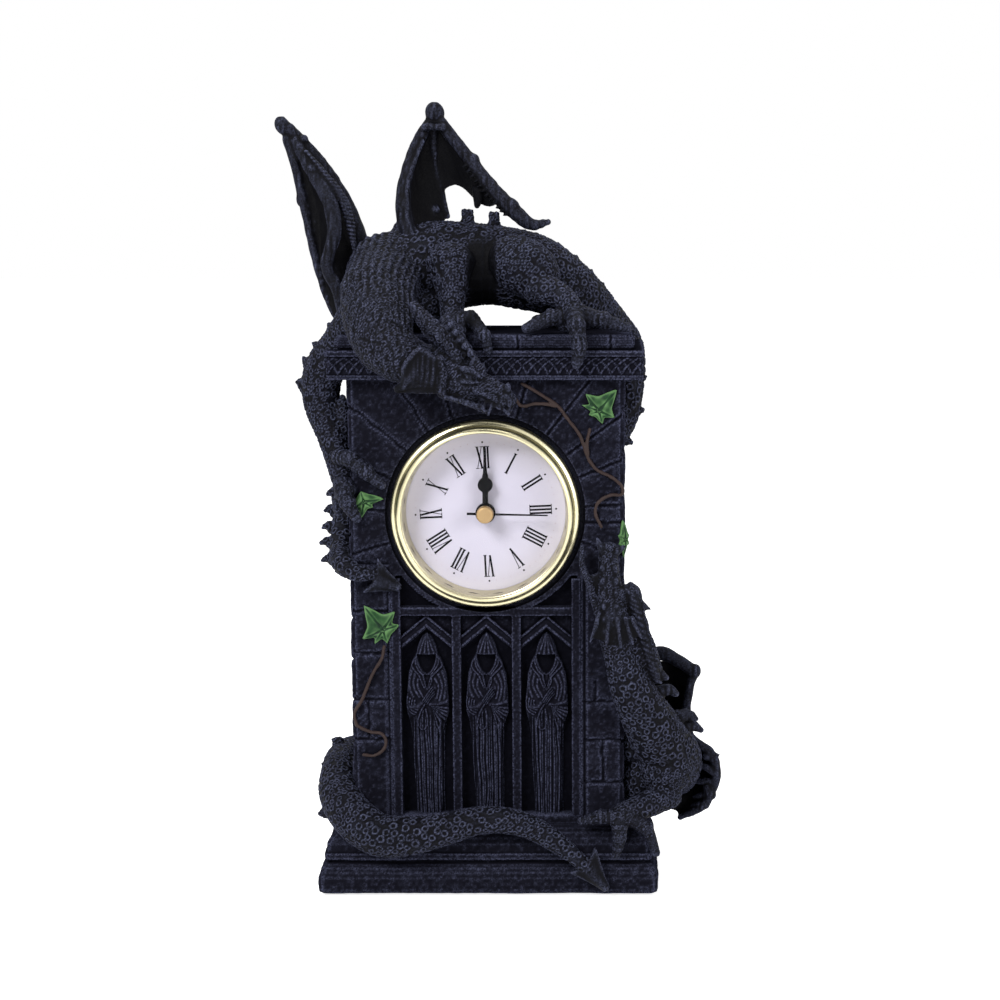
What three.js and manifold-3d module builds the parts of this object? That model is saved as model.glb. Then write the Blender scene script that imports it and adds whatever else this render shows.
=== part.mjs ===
// Dragon mantel clock: a cast stone tower with two dragons, ivy and a quartz clock insert.
// Millimetres, +Z up, front towards -Y. The origin is the centre of the underside.
import * as THREE from 'three';
import { mergeVertices } from 'three/addons/utils/BufferGeometryUtils.js';
import Module from 'manifold-3d';

const wasm = await Module();
wasm.setup();

// Clearances
const glueGap = 0.3;          // between glued or seated pieces
const meshGap = 0.3;          // between wheels that run together
const seatGap = 0.25;         // between stacked pieces of the insert

// Stone tower, half sizes and heights
const feltThickness = 0.8;
const feltInset = 3.5;
const plinthHalfX = 50.2;
const plinthHalfY = 27;
const torusHeight = 8.8;
const grooveHeight = 1;
const grooveDepth = 3.2;
const ledgeInset = 1.8;
const ledgeHeight = 2.2;
const coveHeight = 7.2;
const shaftHalfX = 40.2;
const shaftHalfY = 19;
const shaftHeight = 132.4;
const cornerChamfer = 1.6;
const corniceOverhangX = 5.5;
const corniceOverhangY = 4;
const corniceFillet = 1.4;
const friezeHeight = 5.2;
const friezeInset = 0.7;
const corniceCap = 1.8;
const rollInset = 2.8;
const rollHeight = 4.4;

// Figure niche in the front of the shaft
const nicheCentreX = -0.4;
const nicheBottom = 22.8;
const nicheHeight = 60.1;
const nicheDepth = 3.6;
const bayPitch = 17.6;
const bayCount = 3;
const mullionWidth = 2.6;
const barHeight = 2.5;
const spandrelHeight = 9;
const archRise = 6.9;
const archBand = 1.9;
const archStep = 2.6;

// Joints of the stone blocks
const jointDepth = 0.6;
const courseHeight = 12.4;
const blockLength = 25;
const jointReach = 44;         // outer end of the joints round the clock, from its axis
const cornerReach = 60;        // the same where they run up to the cornice
const voussoirAngles = [-17, 4, 21.5, 36, 52, 72, 108.5, 124, 141, 159, 178, 197];

// Clock insert
const insertX = -0.4;
const insertDrop = 39.3;       // clock axis below the top of the shaft
const boreBackWall = 5;
const recessMargin = 2.1;
const recessDepth = 1.5;
const bezelMargin = 0.9;
const bezelHeight = 6.5;
const dialDrop = 2.5;         // dial face below the floor of the recess
const dialThickness = 0.5;
const dialMargin = 1.5;
const lensThickness = 1;
const lensDome = 1;
const cupRadius = 24.8;
const boreFit = 1;            // room for the gasket round the cup
const flangeWidth = 1.8;
const cupWall = 0.9;
const cupDepth = 17.3;
const cupFloor = 1.3;
const cupFacets = 20;
const flangeThickness = 1.3;
const plateThickness = 1.2;
const wheelThickness = 0.6;
const wheelSpacing = 1.2;
const bridgeThickness = 0.8;
const arborRadius = 0.5;
const pivotGap = 0.3;
const secondShaftRadius = 0.4;
const minutePipeRadius = 1.1;
const pipeWall = 0.5;
const pipeClearance = 0.3;
const handHubRadius = 2.9;
const handLift = 1.5;
const hourHandLength = 13.4;
const minuteHandLength = 19.8;
const secondHandLength = 18.2;
const secondHandTail = 5.3;
const handThickness = 0.4;
const handSpacing = 1.3;
const capRadius = 2.45;
const capHeight = 2.4;
const knobRadius = 3.4;
const batteryRadius = 5.8;
const batteryHeight = 5.4;
const batteryDistance = 14.6;
const batteryAngle = 300;
const motionAngle = 20;
const thirdAngle = 95;
const rotorAngle = 200;

// Wheel train, pitch radii
const hourWheelRadius = 6.5;
const motionPinionRadius = 1.625;
const cannonPinionRadius = 2.03;
const motionWheelRadius = 6.095;
const settingPinionRadius = 2.03;
const centreWheelRadius = 6.8;
const thirdPinionRadius = 0.85;
const thirdWheelRadius = 6.75;
const secondPinionRadius = 0.9;
const secondWheelRadius = 6;
const fifthPinionRadius = 1.2;
const fifthWheelRadius = 3.6;
const rotorPinionRadius = 0.6;
const magnetRadius = 2.4;

const arrowThickness = 2.6;

// Ivy
const leafThickness = 1;
const leafNotch = 0.55;
const vineRadius = 0.55;

// Places worked out from the sizes above
const plinthBottom = feltThickness;
const torusTop = plinthBottom + torusHeight;
const ledgeBottom = torusTop + grooveHeight;
const ledgeTop = ledgeBottom + ledgeHeight;
const shelf = ledgeTop + coveHeight;
const shaftTop = shelf + shaftHeight;
const friezeBottom = shaftTop + corniceFillet;
const friezeTop = friezeBottom + friezeHeight;
const corniceTop = friezeTop + corniceCap;
const slabTop = corniceTop + rollHeight;
const front = -shaftHalfY;
const back = shaftHalfY;
const left = -shaftHalfX;
const right = shaftHalfX;
const corniceHalfX = shaftHalfX + corniceOverhangX;
const corniceHalfY = shaftHalfY + corniceOverhangY;
const corniceFront = -corniceHalfY;
const insertZ = shaftTop - insertDrop;
const boreRadius = cupRadius + boreFit;
const flangeRadius = cupRadius + flangeWidth;
const bezelRadius = flangeRadius + bezelMargin;
const recessRadius = bezelRadius + recessMargin;
const dialOpening = cupRadius - dialMargin;

// Tools for solids
function v(x, y, z) {
  return new THREE.Vector3(x, y, z);
}

function solidOf(geometry) {
  const bare = geometry.index ? geometry.toNonIndexed() : geometry.clone();
  bare.deleteAttribute('normal');
  bare.deleteAttribute('uv');
  const merged = mergeVertices(bare, 1e-4);
  const index = merged.index.array;
  const kept = [];
  for (let i = 0; i < index.length; i += 3) {
    const [a, b, c] = [index[i], index[i + 1], index[i + 2]];
    if (a !== b && b !== c && c !== a) {
      kept.push(a, b, c);
    }
  }
  return new wasm.Manifold(new wasm.Mesh({
    numProp: 3,
    vertProperties: new Float32Array(merged.attributes.position.array),
    triVerts: new Uint32Array(kept),
  }));
}

function joined(solids) {
  return solids.reduce((sum, next) => sum.add(next));
}

function cut(solid, tools) {
  return tools.reduce((rest, tool) => rest.subtract(tool), solid);
}

function boxFrom(low, high) {
  const size = v(high[0] - low[0], high[1] - low[1], high[2] - low[2]);
  const box = new THREE.BoxGeometry(size.x, size.y, size.z);
  box.translate(low[0] + size.x / 2, low[1] + size.y / 2, low[2] + size.z / 2);
  return solidOf(box);
}

// A closed body through rings of points, with a point or a flat fan at each end
function lofted(rings, startPoint, endPoint) {
  const count = rings[0].length;
  const points = rings.flat();
  points.push(startPoint, endPoint);
  const first = points.length - 2;
  const last = points.length - 1;
  const index = [];
  for (let r = 0; r < rings.length - 1; r += 1) {
    for (let i = 0; i < count; i += 1) {
      const a = r * count + i;
      const b = r * count + ((i + 1) % count);
      index.push(a, b, b + count, a, b + count, a + count);
    }
  }
  for (let i = 0; i < count; i += 1) {
    const next = (i + 1) % count;
    const top = (rings.length - 1) * count;
    index.push(first, next, i);
    index.push(last, top + i, top + next);
  }
  return closedSolid(points, index);
}

function closedSolid(points, index) {
  let volume = 0;
  for (let i = 0; i < index.length; i += 3) {
    const [a, b, c] = [points[index[i]], points[index[i + 1]], points[index[i + 2]]];
    volume += a.dot(b.clone().cross(c));
  }
  const order = volume > 0 ? index : index.reverse();
  const geometry = new THREE.BufferGeometry();
  geometry.setFromPoints(points);
  geometry.setIndex(order);
  return solidOf(geometry);
}

// While this is more than zero, limbs and masses come out that much fatter
let swell = 0;

function swollen(make) {
  swell = glueGap;
  const solid = make();
  swell = 0;
  return solid;
}

// Rounded limb along a curve: each point has a radius, or a height and a width across `up`
function limb(points, radii, options = {}) {
  const { sides = 6, steps = 1, up = v(0, 0, 1), blunt = 0.7 } = options;
  const curve = new THREE.CatmullRomCurve3(points, false, 'centripetal');
  const total = (points.length - 1) * steps;
  const pair = radii.map((radius) => (Array.isArray(radius) ? radius : [radius, radius]));
  const rings = [];
  const upright = Math.abs(curve.getTangent(0).dot(up)) > 0.9;
  const normal = upright ? v(1, 0, 0) : up.clone();
  let start;
  let end;
  for (let i = 0; i <= total; i += 1) {
    const t = i / total;
    const centre = curve.getPoint(t);
    const tangent = curve.getTangent(t);
    normal.addScaledVector(tangent, -normal.dot(tangent)).normalize();
    const side = tangent.clone().cross(normal);
    const spot = t * (points.length - 1);
    const from = Math.min(Math.floor(spot), points.length - 2);
    const share = spot - from;
    const high = THREE.MathUtils.lerp(pair[from][0], pair[from + 1][0], share) + swell;
    const wide = THREE.MathUtils.lerp(pair[from][1], pair[from + 1][1], share) + swell;
    const ring = [];
    for (let j = 0; j < sides; j += 1) {
      const angle = ((j + 0.5) / sides) * Math.PI * 2;
      ring.push(centre.clone()
        .addScaledVector(normal, high * Math.cos(angle))
        .addScaledVector(side, wide * Math.sin(angle)));
    }
    rings.push(ring);
    if (i === 0) {
      start = centre.clone().addScaledVector(tangent, -blunt * Math.min(high, wide));
    }
    end = centre.clone().addScaledVector(tangent, blunt * Math.min(high, wide));
  }
  return lofted(rings, start, end);
}

function mass(centre, radii, turnY = 0, detail = [8, 6]) {
  const ball = new THREE.SphereGeometry(1, detail[0], detail[1]);
  ball.scale(radii[0] + swell, radii[1] + swell, radii[2] + swell);
  ball.rotateY(THREE.MathUtils.degToRad(turnY));
  ball.translate(centre.x, centre.y, centre.z);
  return solidOf(ball);
}

function spike(base, tip, radius) {
  return limb([base, tip], [radius, radius * 0.25], { sides: 4, blunt: 0.3 });
}

// Thin sheet between rows of points, as thick as said across its own surface
function sheet(rows, thickness) {
  const across = rows[0].length;
  const normals = rows.map((row, r) => row.map((point, c) => {
    const along = rows[Math.min(r + 1, rows.length - 1)][c].clone().sub(rows[Math.max(r - 1, 0)][c]);
    const over = row[Math.min(c + 1, across - 1)].clone().sub(row[Math.max(c - 1, 0)]);
    return along.cross(over).normalize();
  }));
  const points = [];
  for (const offset of [thickness / 2 + swell, -thickness / 2 - swell]) {
    rows.forEach((row, r) => row.forEach((point, c) => {
      points.push(point.clone().addScaledVector(normals[r][c], offset));
    }));
  }
  const under = rows.length * across;
  const index = [];
  for (let r = 0; r < rows.length - 1; r += 1) {
    for (let c = 0; c < across - 1; c += 1) {
      const a = r * across + c;
      const b = a + 1;
      const d = a + across;
      const e = d + 1;
      index.push(a, d, e, a, e, b);
      index.push(under + a, under + e, under + d, under + a, under + b, under + e);
    }
  }
  const edge = [];
  for (let c = 0; c < across - 1; c += 1) edge.push(c);
  for (let r = 0; r < rows.length - 1; r += 1) edge.push(r * across + across - 1);
  for (let c = across - 1; c > 0; c -= 1) edge.push((rows.length - 1) * across + c);
  for (let r = rows.length - 1; r > 0; r -= 1) edge.push(r * across);
  edge.forEach((a, i) => {
    const b = edge[(i + 1) % edge.length];
    index.push(a, b, under + b, a, under + b, under + a);
  });
  return closedSolid(points, index);
}

// The largest body that is left after a cut
function mainBody(solid) {
  return solid.decompose().reduce((best, next) => (next.volume() > best.volume() ? next : best));
}

// Solid of revolution about the insert's axis; profile points are [radius, height in front]
function turned(profile, segments = 40) {
  const outline = profile.map(([radius, height]) => new THREE.Vector2(radius, height));
  const first = outline[0];
  const final = outline[outline.length - 1];
  if (first.x > 0 || final.x > 0) {
    outline.push(first.clone());
  }
  const geometry = new THREE.LatheGeometry(outline, segments);
  const position = geometry.attributes.position;
  for (let i = 0; i < position.count; i += 1) {
    if (Math.abs(position.getX(i)) + Math.abs(position.getZ(i)) < 1e-6) {
      position.setXYZ(i, 0, position.getY(i), 0);
    }
  }
  const solid = solidOf(geometry);
  return solid.volume() > 0 ? solid : solidOf(flipped(geometry));
}

function flipped(geometry) {
  const plain = geometry.toNonIndexed();
  const array = plain.attributes.position.array;
  for (let i = 0; i < array.length; i += 9) {
    for (let k = 0; k < 3; k += 1) {
      [array[i + k], array[i + 3 + k]] = [array[i + 3 + k], array[i + k]];
    }
  }
  return plain;
}

function disc(radius, low, high, x = 0, z = 0, segments = 18) {
  const cylinder = new THREE.CylinderGeometry(radius, radius, high - low, segments);
  cylinder.translate(x, (low + high) / 2, z);
  return solidOf(cylinder);
}

// Extruded plate of the insert: the shape is drawn as seen from the front
function plate(shape, low, high, curveSegments = 8) {
  const geometry = new THREE.ExtrudeGeometry(shape, { depth: high - low, bevelEnabled: false, curveSegments });
  geometry.rotateX(-Math.PI / 2);
  geometry.translate(0, low, 0);
  return solidOf(geometry);
}

function outline(points) {
  return new THREE.Shape(points.map(([x, z]) => new THREE.Vector2(x, z)));
}

// Place in the insert at an angle and a distance from its axis, as seen from the front
function around(angle, distance) {
  const turn = THREE.MathUtils.degToRad(angle);
  return [distance * Math.cos(turn), -distance * Math.sin(turn)];
}

const model = new THREE.Group();
const insertGroup = new THREE.Group();
insertGroup.position.set(insertX, front + recessDepth, insertZ);
insertGroup.rotation.x = Math.PI;
model.add(insertGroup);

function finish(color, roughness, metalness = 0) {
  return new THREE.MeshStandardMaterial({ color, roughness, metalness });
}

const stone = finish(0x23232c, 0.75);
const scales = finish(0x1c1c24, 0.6);
const leafGreen = finish(0x3c8c3c, 0.5);
const vineBrown = finish(0x553322, 0.7);
const feltBlack = finish(0x141414, 1);
const brass = finish(0xd8cc98, 0.2, 1);
const clearLens = finish(0xffffff, 0.05);
const dialWhite = finish(0xe8e4f0, 0.6);
const handBlack = finish(0x101014, 0.4);
const blackPlastic = finish(0x18181a, 0.5);
const rubber = finish(0x202020, 0.9);
const whitePlastic = finish(0xe0e0dc, 0.5);
const steel = finish(0xb0b0b4, 0.3, 1);
const copper = finish(0xb06030, 0.4, 1);
const boardGreen = finish(0x206040, 0.6);

function addPart(name, solid, material, group = model) {
  const mesh = solid.getMesh();
  const geometry = new THREE.BufferGeometry();
  geometry.setAttribute('position', new THREE.BufferAttribute(mesh.vertProperties, 3));
  geometry.setIndex(new THREE.BufferAttribute(mesh.triVerts, 1));
  geometry.computeVertexNormals();
  const part = new THREE.Mesh(geometry, material);
  part.name = name;
  group.add(part);
}

// Tower: chamfered rectangles stacked through the mouldings
function towerLevels() {
  const torus = [[0, 0.7], [0.25, 0.05], [0.5, 0], [0.72, 0.3], [0.88, 1.2], [1, 2.4]];
  const levels = torus.map(([share, inset]) => [
    plinthBottom + share * torusHeight, plinthHalfX - inset, plinthHalfY - inset, 0.6]);
  const grooveX = plinthHalfX - grooveDepth;
  const grooveY = plinthHalfY - grooveDepth;
  const ledgeX = plinthHalfX - ledgeInset;
  const ledgeY = plinthHalfY - ledgeInset;
  levels.push([torusTop, grooveX, grooveY, 0.6], [ledgeBottom, grooveX, grooveY, 0.6]);
  levels.push([ledgeBottom, ledgeX, ledgeY, 0.6], [ledgeTop, ledgeX, ledgeY, 0.6]);
  const coveX = ledgeX - shaftHalfX;
  const coveY = ledgeY - shaftHalfY;
  for (const angle of [25, 50, 70, 88]) {
    const turn = THREE.MathUtils.degToRad(angle);
    levels.push([
      ledgeTop + coveHeight * Math.sin(turn),
      shaftHalfX + coveX * Math.cos(turn),
      shaftHalfY + coveY * Math.cos(turn),
      0.6]);
  }
  levels.push([shelf, shaftHalfX, shaftHalfY, cornerChamfer]);
  levels.push([shaftTop, shaftHalfX, shaftHalfY, cornerChamfer]);
  const friezeX = corniceHalfX - friezeInset;
  const friezeY = corniceHalfY - friezeInset;
  const lowX = corniceHalfX - friezeInset / 2;
  const lowY = corniceHalfY - friezeInset / 2;
  levels.push([shaftTop, lowX, lowY, 0.4], [friezeBottom, lowX, lowY, 0.4]);
  levels.push([friezeBottom, friezeX, friezeY, 0.4], [friezeTop, friezeX, friezeY, 0.4]);
  levels.push([friezeTop, corniceHalfX, corniceHalfY, 0.4]);
  levels.push([corniceTop, corniceHalfX, corniceHalfY, 0.4]);
  const rollX = corniceHalfX - rollInset;
  const rollY = corniceHalfY - rollInset / 1.4;
  for (const [share, inset] of [[0, 1.1], [0.18, 0.35], [0.5, 0], [0.82, 0.35], [1, 1.1]]) {
    levels.push([corniceTop + share * rollHeight, rollX - inset, rollY - inset, 0.4]);
  }
  return levels;
}

function towerBody(grow) {
  const levels = towerLevels();
  const rings = levels.map(([z, x, y, chamfer]) => {
    const hx = x + grow;
    const hy = y + grow;
    const c = chamfer;
    return [
      v(-hx, -hy + c, z), v(-hx + c, -hy, z), v(hx - c, -hy, z), v(hx, -hy + c, z),
      v(hx, hy - c, z), v(hx - c, hy, z), v(-hx + c, hy, z), v(-hx, hy - c, z)];
  });
  const low = levels[0][0];
  const high = levels[levels.length - 1][0];
  if (grow > 0) {
    rings.forEach((ring, r) => {
      const rising = r > 0 && levels[r][1] < levels[r - 1][1];
      const falling = r < levels.length - 1 && levels[r][1] < levels[r + 1][1];
      const shift = (rising ? grow : 0) - (falling && !rising ? grow : 0);
      ring.forEach((point) => { point.z += shift; });
    });
    rings[rings.length - 1].forEach((point) => { point.z = high + grow; });
  }
  return lofted(rings, v(0, 0, low - grow), v(0, 0, high + grow));
}

// Whatever is glued to the tower is cut back by this slightly larger body
const towerClear = towerBody(glueGap);

function nicheTools() {
  const tools = [];
  const floor = front + nicheDepth;
  const half = (bayCount * bayPitch - mullionWidth) / 2;
  for (let bay = 0; bay < bayCount; bay += 1) {
    const centre = nicheCentreX + (bay - (bayCount - 1) / 2) * bayPitch;
    const width = (bayPitch - mullionWidth) / 2;
    tools.push(boxFrom([centre - width, front - 1, nicheBottom],
      [centre + width, floor, nicheBottom + nicheHeight]));
  }
  const spandrelBottom = nicheBottom + nicheHeight + barHeight;
  tools.push(boxFrom([nicheCentreX - half, front - 1, spandrelBottom],
    [nicheCentreX + half, floor - 1, spandrelBottom + spandrelHeight]));
  return tools;
}

// Two stepped chevrons that make the pointed head of one bay
function arch(centreX) {
  const width = bayPitch / 2 - mullionWidth / 2 + 0.2;
  const top = nicheBottom + nicheHeight + 0.2;
  const bands = [];
  for (let step = 0; step < 2; step += 1) {
    const drop = step * archStep;
    const face = front + 0.5 + step * 1.1;
    const shape = new THREE.Shape([
      new THREE.Vector2(-width, top - archRise - drop),
      new THREE.Vector2(0, top - drop),
      new THREE.Vector2(width, top - archRise - drop),
      new THREE.Vector2(width, top - archRise - drop - archBand),
      new THREE.Vector2(0, top - drop - archBand),
      new THREE.Vector2(-width, top - archRise - drop - archBand),
    ]);
    const band = new THREE.ExtrudeGeometry(shape, { depth: nicheDepth, bevelEnabled: false });
    band.rotateX(Math.PI / 2);
    band.translate(centreX, face + nicheDepth, 0);
    bands.push(solidOf(band));
  }
  const spandrel = new THREE.Shape([
    new THREE.Vector2(-width, top),
    new THREE.Vector2(-width, top - archRise),
    new THREE.Vector2(0, top - 0.1),
    new THREE.Vector2(width, top - archRise),
    new THREE.Vector2(width, top),
  ]);
  const fill = new THREE.ExtrudeGeometry(spandrel, { depth: nicheDepth, bevelEnabled: false });
  fill.rotateX(Math.PI / 2);
  fill.translate(centreX, front + 1.4 + nicheDepth, 0);
  bands.push(solidOf(fill));
  return bands;
}

// Hooded figure in relief: robe, shoulders, sleeves with crossed hands and an empty hood
function figure(centreX) {
  const floor = front + nicheDepth + 0.4;
  const deep = nicheDepth - 0.2;
  const at = (x, out, z) => v(centreX + x, floor - out, nicheBottom + z);
  const flat = { sides: 6, up: v(0, -1, 0) };
  const robe = limb([at(0.3, 0.6, -0.3), at(0.2, 0.7, 16), at(0, 0.9, 29), at(0, 1, 37), at(0, 0.9, 40)],
    [[deep - 0.9, 4.9], [deep - 0.9, 4.2], [deep - 0.5, 4.4], [deep - 0.7, 5.6], [deep - 1.2, 3.4]], flat);
  const hood = limb([at(0, 0.8, 39.5), at(0, 1, 44), at(0, 1, 49), at(0, 0.6, 53.4)],
    [[deep - 0.9, 3.2], [deep - 0.4, 3.3], [deep - 0.6, 2.9], [0.8, 0.5]], flat);
  const face = limb([at(0, deep + 1, 42), at(0, deep + 0.6, 45.5), at(0, deep + 1, 49)],
    [[1.4, 1.1], [1.9, 2], [1.4, 1.1]], flat);
  const sleeveLeft = limb([at(-4.7, 1, 37.4), at(-5.4, 1.3, 33), at(-2.6, 1.9, 31.2), at(1.5, 2.1, 35)],
    [[1.4, 1.5], [1.6, 1.9], [1.3, 1.9], [0.9, 1]], flat);
  const sleeveRight = limb([at(4.6, 1, 37), at(5, 1.4, 32.5), at(2.6, 1.9, 31.5), at(-0.6, 2.2, 36)],
    [[1.4, 1.5], [1.6, 2], [1.3, 2.4], [0.9, 1]], flat);
  return joined([robe, hood, sleeveLeft, sleeveRight]).subtract(face);
}

function insertCylinder(radius, low, high, segments = 40) {
  const cylinder = new THREE.CylinderGeometry(radius, radius, high - low, segments);
  cylinder.translate(insertX, (low + high) / 2, insertZ);
  return solidOf(cylinder);
}

// V groove between two points (along, z) of one side of the shaft, counted anticlockwise from the front
function blockJoint(side, [along0, z0], [along1, z1]) {
  const half = side % 2 === 0 ? shaftHalfY : shaftHalfX;
  const width = jointDepth * Math.SQRT2;
  const groove = new THREE.BoxGeometry(Math.hypot(along1 - along0, z1 - z0), width, width);
  groove.rotateX(Math.PI / 4);
  groove.rotateY(-Math.atan2(z1 - z0, along1 - along0));
  groove.translate((along0 + along1) / 2, -half, (z0 + z1) / 2);
  groove.rotateZ((side * Math.PI) / 2);
  return solidOf(groove);
}

function frontJoints() {
  const nicheTop = nicheBottom + nicheHeight;
  const spandrelTop = nicheTop + barHeight + spandrelHeight;
  const frameHalf = (bayCount * bayPitch + mullionWidth) / 2;
  const frameLeft = nicheCentreX - frameHalf;
  const frameRight = nicheCentreX + frameHalf;
  const leftCourses = [15.6, 1.4, -11, -25.2, -37.2].map((rise) => nicheTop + rise);
  const rightCourses = [27.6, -25.8, -37.4, -50.4].map((rise) => nicheTop + rise);
  const lines = [
    ...leftCourses.map((z) => [[left - 2, z], [frameLeft, z]]),
    ...rightCourses.map((z) => [[frameRight, z], [right + 2, z]]),
    [[left + 5, leftCourses[3]], [left + 5, leftCourses[4]]],
    [[right - 6.4, rightCourses[2]], [right - 6.4, rightCourses[3]]],
    [[frameLeft, nicheBottom], [frameLeft, spandrelTop]],
    [[frameRight, nicheBottom], [frameRight, spandrelTop]]];
  voussoirAngles.forEach((angle) => {
    const turn = THREE.MathUtils.degToRad(angle);
    const reach = angle > 30 && angle < 150 ? cornerReach : jointReach;
    const end = (radius) => [insertX + radius * Math.cos(turn), insertZ + radius * Math.sin(turn)];
    lines.push([end(recessRadius - 1), end(reach)]);
  });
  const field = boxFrom([left - 3, front - 3, shelf], [right + 3, front + 3, shaftTop]);
  return lines.map(([start, end]) => blockJoint(0, start, end).intersect(field));
}

// Running bond on the other three sides
function courseJoints(side) {
  const half = side % 2 === 0 ? shaftHalfX : shaftHalfY;
  const joints = [];
  const courses = Math.floor(shaftHeight / courseHeight);
  for (let course = 0; course <= courses; course += 1) {
    const z = shelf + course * courseHeight;
    const top = Math.min(z + courseHeight, shaftTop);
    if (course > 0) {
      joints.push(blockJoint(side, [-half - 2, z], [half + 2, z]));
    }
    for (let place = (course % 2 ? 0.35 : 0.85) * blockLength; place < 2 * half - 3; place += blockLength) {
      joints.push(blockJoint(side, [place - half, z], [place - half, top]));
    }
  }
  return joints;
}

function makeTower() {
  let tower = cut(towerBody(0), nicheTools());
  tower = cut(tower, [...frontJoints(), ...courseJoints(1), ...courseJoints(2), ...courseJoints(3)]);
  const ringDepth = front + nicheDepth;
  tower = tower.add(insertCylinder(recessRadius + 1.6, front + 0.4, ringDepth));
  for (let bay = 0; bay < bayCount; bay += 1) {
    const centreX = nicheCentreX + (bay - (bayCount - 1) / 2) * bayPitch;
    tower = joined([tower, ...arch(centreX), figure(centreX)]);
  }
  return cut(tower, [
    insertCylinder(recessRadius, front - 5, front + recessDepth),
    insertCylinder(boreRadius, front - 5, back - boreBackWall),
  ]);
}

addPart('stone_tower', makeTower(), stone);
addPart('base_felt', boxFrom(
  [-plinthHalfX + feltInset, -plinthHalfY + feltInset, 0],
  [plinthHalfX - feltInset, plinthHalfY - feltInset, feltThickness]), feltBlack);

// Upper dragon, lying on the top slab
function upperDragonBody() {
  const torso = limb([
    v(left + 11, 0, slabTop + 17), v(left + 24, 2, slabTop + 18.4), v(0, 3, slabTop + 19),
    v(13, 3, slabTop + 16.6), v(right - 17, 5, slabTop + 11.5), v(right - 8, 11, slabTop + 4.5)],
  [11.5, [13.6, 11], [12, 10.5], [11.6, 11], [9.4, 9], [6.8, 6.8]], { sides: 10, steps: 2 });
  const neck = limb([
    v(left + 11, 0, slabTop + 17), v(left + 9.5, corniceFront + 6, slabTop + 9),
    v(left + 12, corniceFront - 4.5, slabTop - 1), v(left + 17, corniceFront - 7.5, slabTop - 5.5),
    v(left + 25, corniceFront - 8, slabTop - 8.5)],
  [11.5, 11, 9, 7.6, 6], { sides: 10, steps: 2 });
  const thigh = mass(v(11, -8, slabTop + 18.6), [11.5, 8, 8.6], 35, [10, 7]);
  const farThigh = mass(v(11, 12, slabTop + 18), [11, 8, 8.6], 35);
  const shank = limb([v(15, -12, slabTop + 13), v(22, -16, slabTop + 10.5), v(26, -19, slabTop + 6)],
    [5.4, 3.6, 3.4]);
  const farShank = limb([v(15, 15, slabTop + 13), v(22, 16, slabTop + 9), v(25, 17, slabTop + 4)],
    [5.4, 3.6, 3]);
  return [torso, neck, thigh, farThigh, shank, farShank];
}

function upperDragonLegs() {
  const lip = corniceFront + rollInset;
  const toes = [
    limb([v(25.5, lip + 2, slabTop + 5.5), v(19, lip + 1, slabTop + 4.6), v(11, lip - 1, slabTop + 1.6)],
      [2.8, 2.4, 1.2]),
    limb([v(25.5, lip, slabTop + 6), v(26.3, corniceFront - 2, slabTop + 2.5),
      v(27, corniceFront - 3.2, slabTop - 3), v(26, corniceFront - 3, slabTop - 9)],
    [3, 2.6, 2.4, 0.8]),
    limb([v(26, lip + 2, slabTop + 6), v(34, lip + 1.5, slabTop + 3.8), v(41.5, lip + 1, slabTop + 1.8)],
      [3, 2.4, 1.3]),
    limb([v(25, 17, slabTop + 3.5), v(30, 19, slabTop + 2.5), v(36, 20, slabTop + 1.6)], [2.8, 2.2, 1.2]),
    limb([v(24, 17, slabTop + 3.5), v(18, 19, slabTop + 2.6), v(13, 20, slabTop + 1.6)], [2.8, 2.2, 1.2]),
  ];
  const foreleg = limb([
    v(-10.5, -8, slabTop + 20), v(-9.8, -13, slabTop + 10), v(-9.5, -16, slabTop + 3.4)],
  [7.4, 3.9, 3.3]);
  const claws = [
    limb([v(-9, -17, slabTop + 4), v(-4, lip, slabTop + 4.4), v(0, lip - 3, slabTop - 0.5),
      v(1.2, lip - 3.2, slabTop - 5)], [2.6, 2.3, 2, 0.8]),
    limb([v(-10, -17, slabTop + 3.6), v(-11, lip - 1, slabTop + 3), v(-11, lip - 3.6, slabTop - 2)],
      [2.6, 2.2, 0.9]),
  ];
  return [...toes, foreleg, ...claws];
}

function upperDragonArm() {
  const arm = limb([
    v(left + 8, front + 4, slabTop + 7), v(left - 1, front + 8, slabTop - 3.4),
    v(left - 7.6, front + 11, slabTop - 11.6), v(left - 8.6, front + 11.4, slabTop - 20),
    v(left - 5, front + 8, slabTop - 31), v(left - 1.6, front + 2, slabTop - 42)],
  [9, 6.8, 6.2, 5.6, 4.4, 3.4], { steps: 2 });
  const hand = mass(v(left - 0.6, front - 1.5, slabTop - 44.5), [3.4, 3.4, 3.8], 0, [8, 6]);
  const fingers = [
    limb([v(left - 0.5, front - 2, slabTop - 43), v(left + 3.6, front - 3.6, slabTop - 40.4),
      v(left + 8.4, front - 2.6, slabTop - 43.6)], [2, 1.8, 0.8], { sides: 6 }),
    limb([v(left - 0.5, front - 2, slabTop - 46), v(left + 1.4, front - 3.8, slabTop - 49),
      v(left + 0.8, front - 2.6, slabTop - 53)], [2, 1.8, 0.8], { sides: 6 }),
    limb([v(left - 1.5, front - 1, slabTop - 46), v(left - 2.6, front - 1.6, slabTop - 50),
      v(left - 2.4, front - 0.6, slabTop - 53)], [1.9, 1.7, 0.8], { sides: 6 }),
  ];
  return [arm, hand, ...fingers];
}

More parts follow.
